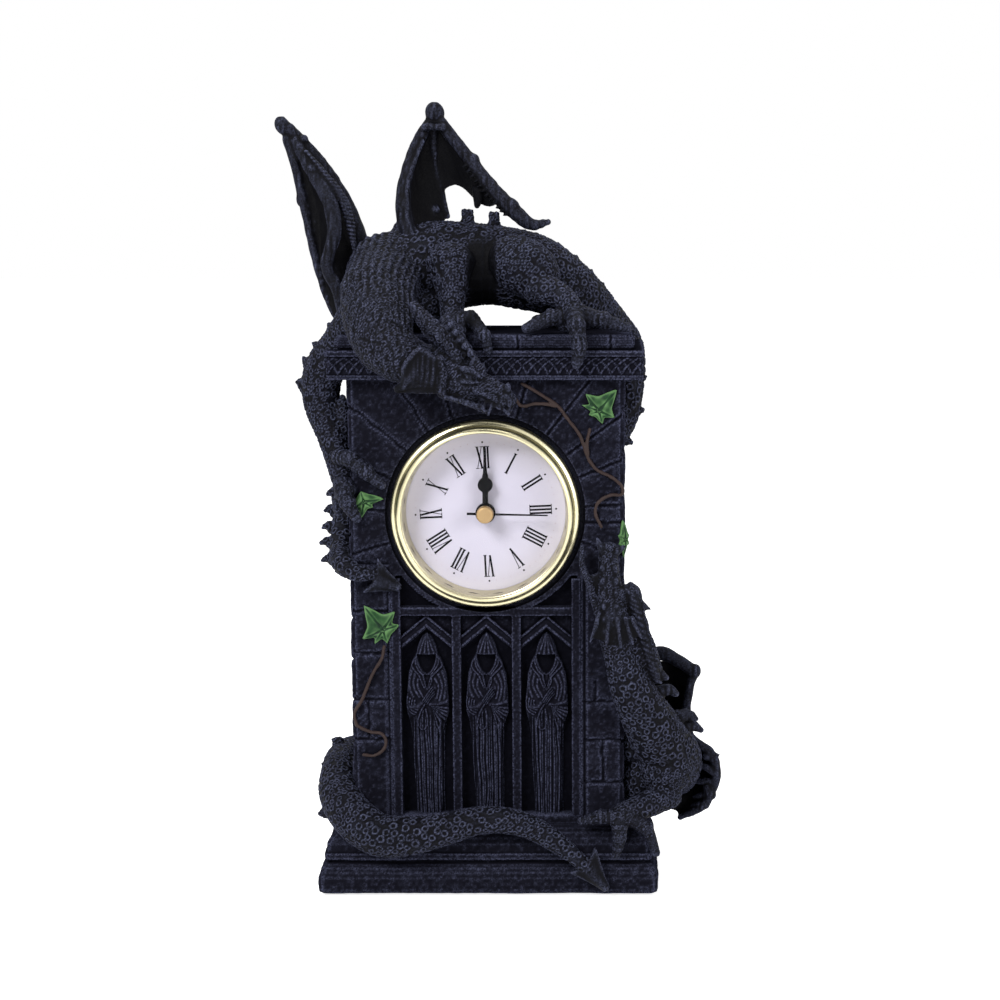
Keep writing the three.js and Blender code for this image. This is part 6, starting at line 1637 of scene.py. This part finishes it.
def make_lower_dragon():
    clay = Clay()
    clay.tube(spots(right, front, shelf, [(-1.4, -5.6, 51), (1.5, -4.6, 43), (6.4, -1, 33), (11, 4, 24),
                                          (14.6, 10, 16.5), (15, 17, 11)]),
              [4.5, 5.9, 7.5, 8.5, 8.9, 7.9], SCALES, sides=20)
    clay.tube([(right + 15, front + 16, shelf + 12), (right + 13, 6, shelf + 9),
               (right + 9.5, back - 4, shelf + 8)],
              [7.9, 6.8, 6.3], SCALES, sides=18)
    clay.ball((right + 12.5, front + 5, shelf + 16), (8.3, 7.9, 8.9), SMALL_SCALES, 25)
    clay.ball((right + 5.5, front + 9, shelf + 11), (6.5, 7, 8.5), SCALES)
    clay.ball((right + 3.2, front + 8, shelf + 22.5), (4.2, 6, 6.5), SCALES)
    clay.tube(spots(right, front, shelf, [(1.6, -6.6, 52), (6, -5.4, 43), (12, -4.2, 35),
                                          (18, 0.6, 28)]), [0.9, 1.0, 1.0, 0.8], STRANDS)
    clay.tube(spots(right, front, shelf, [(13, 2, 8.6), (6, -3, 6.4), (-1.6, -6.4, 4.6)]),
              [4.7, 3.8, 3.1], SMALL_SCALES)
    toe(clay, spots(right, front, shelf, [(-1, -7, 4.4), (-7, -7.6, 4.2), (-13, -6.6, 2.7)]),
        [2.7, 2.0, 0.9])
    toe(clay, spots(right, front, shelf, [(-1.6, -7.4, 4), (-1.6, -9.6, -1.6), (-2.6, -8.8, -7.2)]),
        [2.7, 2.0, 0.9])
    toe(clay, spots(right, front, shelf, [(0.6, -6.6, 4.4), (6.6, -7.8, 0.6), (9.2, -7.8, -6.8)]),
        [2.7, 2.0, 0.9])
    lower_head(clay)
    for start, end in (((3.9, -2.8, 43.8), (12.2, -1.6, 44.6)), ((6.7, -0.8, 38.4), (15.4, 0.6, 39.2)),
                       ((10.9, 2.9, 29.8), (21.5, 4.5, 30.6)), ((12.8, 4.8, 26), (23, 6.3, 26.7))):
        base = np.array([right + start[0], front + start[1], shelf + start[2]])
        tip = np.array([right + end[0], front + end[1], shelf + end[2]])
        clay.tube([base, tip + np.array([-2.6, 0, 1.4]), tip], [(2.6, 2.0), (1.8, 1.5), (0.9, 0.9)], HORN)
    skin = clay.fuse("lower_dragon_skin", 0.36)
    sculpt(skin, 66)
    dress_dragon(skin.obj, "lower_dragon")


def make_lower_wing():
    clay = Clay()
    arm = spots(right, back, shelf, [(6, -14, 43), (11, -14, 46.2), (17, -15, 43.8), (21.2, -15.4, 41)])
    finger = spots(right, back, shelf, [(21.4, -15.4, 40), (20, -17, 35), (19.2, -19, 28),
                                        (20.4, -22, 22), (26.6, -25, 17.4), (28, -26, 10.6),
                                        (24, -26, 1.6), (17, -25, -2.4)])
    inner = spots(right, back, shelf, [(7, -12, 42), (9, -11, 34), (12, -11, 26), (17, -12, 17),
                                       (19, -14, 12), (18, -16, 8), (15, -20, 3), (13, -23, 0)])
    outer, root = spline(finger, 12), spline(inner, 12)
    rows = []
    for i in range(9):
        a, b = (line[round(i / 8 * (len(line) - 1))] for line in (outer, root))
        rows.append([a, (a + b) / 2 + np.array([1, 2, 2.4 * max(0, 1 - i / 3)]), b])
    clay.web(rows, 1.2)
    clay.tube(arm, [2.5, 2.3, 2.0, 1.8], SMOOTH)
    ribs = [((27.6, 12), (22.6, 13.4)), ((27.8, 9), (21.4, 8)), ((27, 5), (21.4, 3.4)), ((25, 2), (20, 0))]
    for (x0, z0), (x1, z1) in ribs:
        middle = ((2 * right + x0 + x1) / 2, back - 25.4, shelf + (z0 + z1) / 2 + 0.6)
        ends = [(right + x0, back - 26, shelf + z0), (right + x1, back - 22.6, shelf + z1)]
        clay.tube([ends[0], middle, ends[1]], [1.3, 1.0, 0.6], HORN)
    clay.tube(finger, [1.4, 1.3, 1.3, 1.4, 1.4, 1.3, 1.2, 0.8], HORN)
    clay.ball((right + 21.6, back - 15.4, shelf + 40.6), (2.0, 2.0, 2.5), HORN, 20)
    clay.thorn((right + 26, back - 25, shelf + 17), (right + 29, back - 25.4, shelf + 17.4), 1.3)
    clay.thorn((right + 25.6, back - 26, shelf + 6), (right + 26, back - 26.6, shelf + 2), 1.5)
    finish_wing(clay, "lower_wing_skin", 0.36, "lower_dragon_wing", 67)


# Ivy

def leaf_outline(angles, tips, reach):
    """Distance of the leaf's edge from its middle at each angle, notched between its lobes."""
    outline = np.zeros(len(angles))
    for i, start in enumerate(tips):
        j = (i + 1) % len(tips)
        share = ((angles - start) % 360) / ((tips[j] - start) % 360)
        inside = share < 1
        between = reach[i] * (1 - share) + reach[j] * share
        notch = 1 - 0.42 * np.sin(math.pi * np.clip(share, 0, 1)) ** 0.75
        outline[inside] = (between * notch)[inside]
    return outline


def leaf_piece(name, node, centre, lobes, corner=False):
    """Lobed ivy leaf with a curved blade and grooved veins."""
    x0, z0 = centre
    count = 96
    angles = np.arange(count) / count * 360
    tips = np.array([a for a, _ in lobes], float)
    reach = np.array([r for _, r in lobes], float)
    outline = leaf_outline(angles, tips, reach)
    rings = 9
    upper = []
    for r in range(rings + 1):
        share = r / rings
        for angle, edge in zip(angles, outline):
            turn = math.radians(angle)
            x, z = edge * share * math.cos(turn), edge * share * math.sin(turn)
            nearest = np.min(np.abs((angle - tips + 180) % 360 - 180))
            vein = math.exp(-(math.radians(nearest) * (edge * share) / 0.3) ** 2)
            vein *= float(smoothstep(0.05, 0.3, share))
            dome = 0.75 * math.sin(math.pi * min(1, share * 0.9)) + 0.25 * noise([[x, z, z0]], 2.0, 7)[0]
            out = 0.55 + dome - 0.32 * vein
            upper.append((x, -out * (1 - 0.35 * share), z))
    points = np.array(upper + [(x, 0.0, z) for x, _, z in upper])
    faces = []
    under = (rings + 1) * count
    for r in range(rings):
        for i in range(count):
            a, b = r * count + i, r * count + (i + 1) % count
            faces.append((a, a + count, b + count, b))
            faces.append((under + a, under + b, under + b + count, under + a + count))
    for i in range(count):
        a, b = rings * count + i, rings * count + (i + 1) % count
        faces.append((a, under + a, under + b, b))
    if corner:
        turn = math.radians(45)
        c, s = math.cos(turn), math.sin(turn)
        points = points @ np.array([[c, s, 0], [-s, c, 0], [0, 0, 1]])
        points += np.array([right - 0.8 + 0.3, front + 0.8 - 0.3, z0])
    else:
        points += np.array([x0, front - 0.3, z0])
    obj = make_object(name, points, faces)
    weld(obj, 0.002)
    Skin(obj).paint(*STONE_BRUSH_AND_SHADE)
    dress(obj, LEAF, "clock_body", "leaf_green", node)


def make_leaves():
    leaf_piece("ivy_blade_top", "ivy_leaf_top", (right - 7.6, shaft_top - 9.1),
               [(50, 8.3), (129, 6.4), (161, 5.3), (202, 3.2), (286, 4.1), (336, 5.1)])
    leaf_piece("ivy_blade_low", "ivy_leaf_low", (left + 9.7, niche_bottom + 56.1),
               [(17, 5.1), (57, 6.7), (127, 9.3), (205, 7), (239, 5.2), (285, 4.3)])
    leaf_piece("ivy_blade_hand", "ivy_leaf_hand", (left + 4.8, clock_z + 3.7),
               [(8, 5.9), (107, 3.2), (209, 5.4), (259, 5.1), (326, 3.1)])
    leaf_piece("ivy_blade_edge", "ivy_leaf_edge", (right, clock_z - 7.5),
               [(20, 2.4), (95, 6), (150, 2.6), (215, 2.4), (270, 5.4), (325, 3)], corner=True)


def vine_piece(name, node, corner, routes):
    """Painted stems along routes of (x, z) from a corner."""
    clay = Clay()
    for route in routes:
        path = [(corner[0] + x, front - 0.85, corner[1] + z) for x, z in route]
        clay.tube(path, [0.5] * len(path), HORN, (0, -1, 0), 10, 8)
    skin = clay.fuse(name, 0.17)
    bark = skin.points * np.array([1, 1, 0.4])
    skin.push(rough(skin.points, 71, (1.2, 0.1)) + rough(bark, 72, (0.5, 0.06)))
    skin.write()
    skin.paint(4.0, 2.0)
    dress(skin.obj, VINE, "clock_body", "vine_brown", node)


def make_vines():
    vine_piece("vine_stem_right", "ivy_vine_right", (right, shaft_top), [
        [(-29.7, -1.2), (-24.9, -4), (-19.3, -7.9), (-16.5, -11.5), (-13, -16.4), (-10.6, -22.9),
         (-8.2, -26.2), (-3.5, -28.6), (-0.8, -31.5), (-1, -33.5), (-4.1, -33.6), (-7.7, -35.7),
         (-8.6, -38.8), (-6.8, -43)],
        [(-31.8, -5.4), (-29.8, -7.7), (-26.1, -7.1), (-22.5, -7.2), (-19.8, -7.8)],
        [(-10.8, -22.4), (-11, -18.4), (-10.2, -14.4)]])
    vine_piece("vine_stem_left", "ivy_vine_left", (left, niche_bottom), [
        [(10, 51.2), (9.2, 47.6), (6.3, 42.6), (3.2, 35.1), (0.8, 30.6), (1.6, 27.2)],
        [(1.6, 27.2), (5.5, 25.4), (8.6, 24.9), (10, 23), (9.3, 20), (6.5, 18.2), (3.4, 18.4)]])


# Clock insert

SHARP_ANGLE = math.radians(50)


def turned_points(profile, segments):
    """Rings about the clock's axis from (radius, y) points."""
    angles = np.arange(segments) / segments * math.tau
    points = []
    for radius, y in profile:
        points += [(clock_x + radius * math.cos(a), y, clock_z + radius * math.sin(a)) for a in angles]
    return points


def lathe(name, profile, segments=128):
    """Closed ring or disc about the clock's axis from (radius, y) points, with its edges kept sharp."""
    count = len(profile)
    closed = profile[0][0] > 0.01 and profile[-1][0] > 0.01
    faces = []
    for r in range(count if closed else count - 1):
        for i in range(segments):
            j = (i + 1) % segments
            a, b = r * segments, ((r + 1) % count) * segments
            faces.append((a + i, b + i, b + j, a + j))
    obj = make_object(name, turned_points(profile, segments), faces)
    weld(obj, 0.001)
    obj.data.set_sharp_from_angle(angle=SHARP_ANGLE)
    return obj


dial_low, dial_high = box_mm("clock_dial")
dial_face = dial_low[1]
dial_radius = (dial_high[0] - dial_low[0]) / 2
dial_turn = 2.5


def make_bezel():
    y = recess_floor
    rings = [(26.85, -0.3), (27.5, -0.3), (27.5, -1.7), (27.46, -2.2), (27.3, -2.75), (27.0, -3.15),
             (26.65, -3.35), (26.35, -3.4), (26.1, -3.62), (25.95, -4.1), (25.8, -4.9), (25.55, -5.6),
             (25.2, -6.1), (24.8, -6.4), (24.5, -6.5), (24.2, -6.35), (24.05, -6.05), (24.0, -5.55),
             (24.9, -5.55), (24.9, -1.9), (26.85, -1.9)]
    obj = lathe("bezel_ring", [(radius, y + depth) for radius, depth in rings])
    dress(obj, BRASS, "insert", "bezel_brass", "clock_bezel")


def make_lens():
    low, high = box_mm("clock_lens")
    radius = (high[0] - low[0]) / 2
    steps = 12
    bulge = 1.0
    top = [(radius * i / steps, low[1] + (i / steps) ** 2 * bulge) for i in range(steps + 1)]
    under = [(radius * i / steps, high[1] - bulge + (i / steps) ** 2 * bulge) for i in range(steps, -1, -1)]
    obj = lathe("lens_glass", [(max(r, 0.0), y) for r, y in top + under])
    dress(obj, LENS, "insert", "lens_clear", "clock_lens")


def make_dial():
    obj = lathe("dial_disc", [(0.0, dial_face), (dial_radius, dial_face), (dial_radius, dial_high[1]),
                              (0.0, dial_high[1])])
    dress(obj, DIAL, "insert", "dial_paper", "clock_dial")
    low, high = box_mm("dial_ring")
    outer = (high[0] - low[0]) / 2
    inner = 23.3
    ring = [(inner, high[1] - 0.05), (inner + 0.12, high[1] - 1.2), (inner + 0.5, low[1] + 1.6),
            (inner + 0.7, low[1] + 0.2), (outer - 0.1, low[1]), (outer, low[1] + 0.2),
            (outer, high[1] - 2.6), (inner + 0.6, high[1] - 0.05)]
    obj = lathe("dial_bevel", ring)
    dress(obj, BRASS, "insert", "bezel_brass", "dial_ring")


# Strokes of the numerals run from height 0 at the bottom to height 1 at the top
thin, thick = 0.2, 0.56
serifs = {"I": [(0, 0), (0, 1)], "V": [(-0.72, 1), (0.72, 1)],
          "X": [(-0.66, 1), (0.66, 1), (-0.66, 0), (0.66, 0)]}
serif_reach = 0.5


def letter_strokes(letter):
    """Strokes of one letter as (start, end, width), and the room that the letter takes."""
    if letter == "I":
        return [((0, 0), (0, 1), thick)], 1.02
    if letter == "V":
        return [((-0.72, 1), (0, 0), thick), ((0.72, 1), (0, 0), thin)], 1.85
    return [((-0.66, 1), (0.66, 0), thick), ((0.66, 1), (-0.66, 0), thin)], 1.85


def stroke_quad(start, end, width):
    """Four corners of one straight stroke, cut level or upright at its ends."""
    start, end = np.array(start, float), np.array(end, float)
    if abs(start[1] - end[1]) > abs(start[0] - end[0]):
        side = np.array([width / 2, 0])
    else:
        side = np.array([0, width / 2])
    return [start - side, start + side, end + side, end - side]


def numeral_quads(text):
    """Flat quads of one numeral, centred, with serifs joined along top and bottom."""
    inner, outer = 12.9, 19.2
    height = outer - inner
    quads = []
    widths = [letter_strokes(letter)[1] for letter in text]
    place = -sum(widths) / 2
    for letter, width in zip(text, widths):
        middle = place + width / 2
        for (x0, h0), (x1, h1), stroke in letter_strokes(letter)[0]:
            quads.append(stroke_quad((middle + x0, inner + h0 * height),
                                     (middle + x1, inner + h1 * height), stroke))
        for x, h in serifs[letter]:
            at = inner + h * height
            quads.append(stroke_quad((middle + x - serif_reach, at), (middle + x + serif_reach, at), 0.22))
        place += width
    return quads


def disc_points(x, z, radius, count=14):
    """Outline of a small printed dot."""
    angles = [i / count * math.tau for i in range(count)]
    return [(x + radius * math.cos(a), z + radius * math.sin(a)) for a in angles]


def print_piece(name, outlines, material, lift):
    """Thin printed shapes a hair above the dial, from (x, z) outlines seen from the front."""
    points, faces = [], []
    for outline in outlines:
        start = len(points)
        count = len(outline)
        area = 0
        for i, (x, z) in enumerate(outline):
            next_x, next_z = outline[(i + 1) % count]
            area += x * next_z - next_x * z
        ordered = outline if area > 0 else outline[::-1]
        points += [(clock_x + x, dial_face - lift, clock_z + z) for x, z in ordered]
        points += [(clock_x + x, dial_face - 0.005, clock_z + z) for x, z in ordered]
        faces += slab_faces(count, start)
    obj = make_object(name, points, faces, smooth=False)
    obj.data.materials.append(material)
    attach(obj, "insert")


def turned(points, degrees):
    """Turns points clockwise as seen from the front."""
    c, s = math.cos(math.radians(degrees)), math.sin(math.radians(degrees))
    return [(x * c + z * s, -x * s + z * c) for x, z in points]


dot_circle = 20.55


def make_print():
    """Numerals, a dot at each hour and a smaller, fainter one at each minute."""
    outlines = []
    names = ["XII", "I", "II", "III", "IIII", "V", "VI", "VII", "VIII", "IX", "X", "XI"]
    for hour, text in enumerate(names):
        angle = hour * 30 - dial_turn
        for quad in numeral_quads(text):
            outlines.append(turned([tuple(p) for p in quad], angle))
        outlines.append(turned(disc_points(0, dot_circle, 0.28), angle))
    print_piece("dial_numerals", outlines, INK, 0.04)
    small = []
    for minute in range(60):
        if minute % 5:
            small.append(turned(disc_points(0, dot_circle, 0.13, 8), minute * 6 - dial_turn))
    print_piece("dial_minute_dots", small, FAINT_INK, 0.03)


def flat_piece(name, outline, near, far, material, body, slot, node, bevel=0.08):
    """Extruded outline of (x, z) about the clock's axis with a small bevel on its front edge."""
    points = [(clock_x + x, y, clock_z + z) for y in (near, far) for x, z in outline]
    obj = make_object(name, points, slab_faces(len(outline)), smooth=False)
    modifier = obj.modifiers.new("edge", "BEVEL")
    modifier.width = bevel * MM
    modifier.segments = 2
    modifier.limit_method = "ANGLE"
    modifier.angle_limit = math.radians(40)
    apply_modifiers(obj)
    dress(obj, material, body, slot, node)


def arc_points(x, z, radius, start, end, count=20):
    """Points of an arc between two angles in degrees."""
    angles = [math.radians(start + (end - start) * i / count) for i in range(count + 1)]
    return [(x + radius * math.cos(a), z + radius * math.sin(a)) for a in angles]


def spade_outline(length):
    """Spade hand pointing up: hub, stem, ball and a tapering point."""
    stem, ball, ball_radius, hub = 0.8, 8.3, 2.15, 2.9
    hub_angle = math.degrees(math.asin(stem / hub))
    ball_angle = math.degrees(math.asin(stem / ball_radius))
    points = arc_points(0, 0, hub, 90 + hub_angle, 450 - hub_angle, 40)
    points += arc_points(0, ball, ball_radius, -90 + ball_angle, 90 - ball_angle, 20)
    flare = [(x, ball + ball_radius + z) for x, z in ((0.9, 0.35), (0.62, 1.2), (0.5, 2.6))]
    flare += [(0.34, length - 1), (0.12, length)]
    points += flare + [(-x, z) for x, z in reversed(flare)]
    points += arc_points(0, ball, ball_radius, 90 + ball_angle, 270 - ball_angle, 20)
    return points


def make_hands():
    pointers = [("hour_pointer", "hour_hand", "hours", 13.4),
                ("minute_pointer", "minute_hand", "minutes", 19.8)]
    for name, node, body, length in pointers:
        low, high = box_mm(node)
        flat_piece(name, spade_outline(length), low[1], high[1], HAND_BLACK, body, "hand_black", node)
    low, high = box_mm("second_hand")
    half = 0.36
    outline = [(-half, -5.3), (half, -5.3), (half * 0.9, 0), (half * 0.5, 18.2)]
    outline += [(-half * 0.5, 18.2), (-half * 0.9, 0)]
    flat_piece("second_pointer", turned(outline, 91.2), high[1] - 0.4, high[1] - 0.05, HAND_BLACK,
               "seconds", "hand_black", "second_hand", 0.05)
    cap = [(0.0, low[1]), (1.6, low[1]), (2.15, low[1] + 0.08), (2.4, low[1] + 0.35),
           (2.45, low[1] + 0.8), (2.45, high[1] - 0.1), (0.0, high[1] - 0.1)]
    obj = lathe("second_cap", cap, 64)
    dress(obj, HAND_GOLD, "seconds", "hand_gold", "second_hand")


carried_over = {"insert_cup": BLACK_PLASTIC, "fit_gasket": RUBBER, "movement_plate": WHITE_PLASTIC,
                "movement_bridge": WHITE_PLASTIC, "hour_wheel": WHITE_PLASTIC, "centre_wheel": STEEL,
                "cannon_pinion": STEEL, "second_wheel": WHITE_PLASTIC, "third_wheel": WHITE_PLASTIC,
                "fifth_wheel": WHITE_PLASTIC, "motion_wheel": WHITE_PLASTIC, "rotor": STEEL,
                "setting_knob": BLACK_PLASTIC, "stator": STEEL, "coil": COPPER, "circuit_board": BOARD,
                "quartz_crystal": STEEL, "battery": STEEL, "battery_clip": STEEL}


def dress_frame():
    """Better materials on the CAD nodes that stay."""
    for name, material in carried_over.items():
        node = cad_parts[name]
        node.data.materials.clear()
        node.data.materials.append(material)


# Stage, light and camera

# Glow of the floor for the camera, and the world's light on the object
floor_glow = 0.78
world_light = 0.3


def make_floor():
    """White floor that keeps the object's shadow."""
    half = 4000
    corners = [(-half, -half, 0), (half, -half, 0), (half, half, 0), (-half, half, 0)]
    floor = make_object("floor", corners, [(0, 1, 2, 3)], smooth=False)
    material = bpy.data.materials.new("floor_white")
    material.use_nodes = True
    tree = material.node_tree
    shader = tree.nodes["Principled BSDF"]
    shader.inputs["Base Color"].default_value = (0.86, 0.86, 0.87, 1)
    shader.inputs["Roughness"].default_value = 0.9
    shader.inputs["Specular IOR Level"].default_value = 0.1
    seen = seen_directly(tree)
    shader.inputs["Emission Color"].default_value = (1, 1, 1, 1)
    strength = tree.nodes.new("ShaderNodeMath")
    strength.operation = "MULTIPLY"
    strength.inputs[1].default_value = floor_glow
    tree.links.new(seen, strength.inputs[0])
    tree.links.new(strength.outputs[0], shader.inputs["Emission Strength"])
    floor.data.materials.append(material)


def make_world():
    """Soft light all round, with a white backdrop for the camera, mirrors and glass."""
    world = bpy.data.worlds.new("studio")
    bpy.context.scene.world = world
    world.use_nodes = True
    tree = world.node_tree
    background = tree.nodes["Background"]
    background.inputs["Color"].default_value = (1, 1, 1, 1)
    level = tree.nodes.new("ShaderNodeMapRange")
    level.inputs["To Min"].default_value = world_light
    level.inputs["To Max"].default_value = 1.0
    tree.links.new(seen_directly(tree), level.inputs["Value"])
    tree.links.new(level.outputs["Result"], background.inputs["Strength"])


def seen_directly(tree):
    """One for rays from the camera, mirrors or glass, and nought for light on the object."""
    path = tree.nodes.new("ShaderNodeLightPath")
    total = path.outputs["Is Camera Ray"]
    for name in ("Is Glossy Ray", "Is Transmission Ray"):
        add = tree.nodes.new("ShaderNodeMath")
        add.operation = "ADD"
        add.use_clamp = True
        tree.links.new(total, add.inputs[0])
        tree.links.new(path.outputs[name], add.inputs[1])
        total = add.outputs[0]
    return total


def lamp(name, place, target, size, power):
    data = bpy.data.lights.new(name, "AREA")
    data.shape = "RECTANGLE"
    data.size, data.size_y = size
    data.energy = power
    obj = bpy.data.objects.new(name, data)
    bpy.context.scene.collection.objects.link(obj)
    obj.location = Vector(place)
    obj.rotation_mode = "QUATERNION"
    obj.rotation_quaternion = (Vector(target) - Vector(place)).to_track_quat("-Z", "Y")


def make_lights():
    middle = (0, 0, 0.12)
    lamp("key", (-0.5, -0.75, 0.75), middle, (0.4, 0.4), 10.5)
    lamp("fill", (0.8, -0.65, 0.4), middle, (0.5, 0.5), 4.5)
    lamp("top", (0.0, 0.1, 0.95), middle, (0.6, 0.4), 4)


def make_camera():
    """The photograph's view: 1000 pixels of 2024 focal pixels, with its centre shifted sideways."""
    focal = 2024
    image = 1000
    axis_column = 595
    tilt = 8.78
    data = bpy.data.cameras.new("photo_camera")
    data.sensor_width = 36
    data.lens = focal / image * data.sensor_width
    data.shift_x = (image / 2 - axis_column) / image
    data.clip_start = 0.01
    data.clip_end = 20
    camera = bpy.data.objects.new("photo_camera", data)
    camera.location = (0.0315, -0.599, 0.2068)
    camera.rotation_euler = (math.radians(90 - tilt), 0, 0)
    bpy.context.scene.collection.objects.link(camera)
    bpy.context.scene.camera = camera


bpy.context.scene.view_settings.view_transform = "Standard"
make_camera()
make_lights()
make_floor()
make_world()
bore = clock_cutter("bore")
make_shaft(bore)
make_tracery(bore)
drop(bore)
make_plinth()
make_cornice()
make_figures()
make_felt()
make_upper_dragon()
make_left_wing()
make_right_wing()
make_upper_tail()
make_lower_tail()
make_lower_dragon()
make_lower_wing()
make_leaves()
make_vines()
make_bezel()
make_lens()
make_dial()
make_print()
make_hands()
dress_frame()
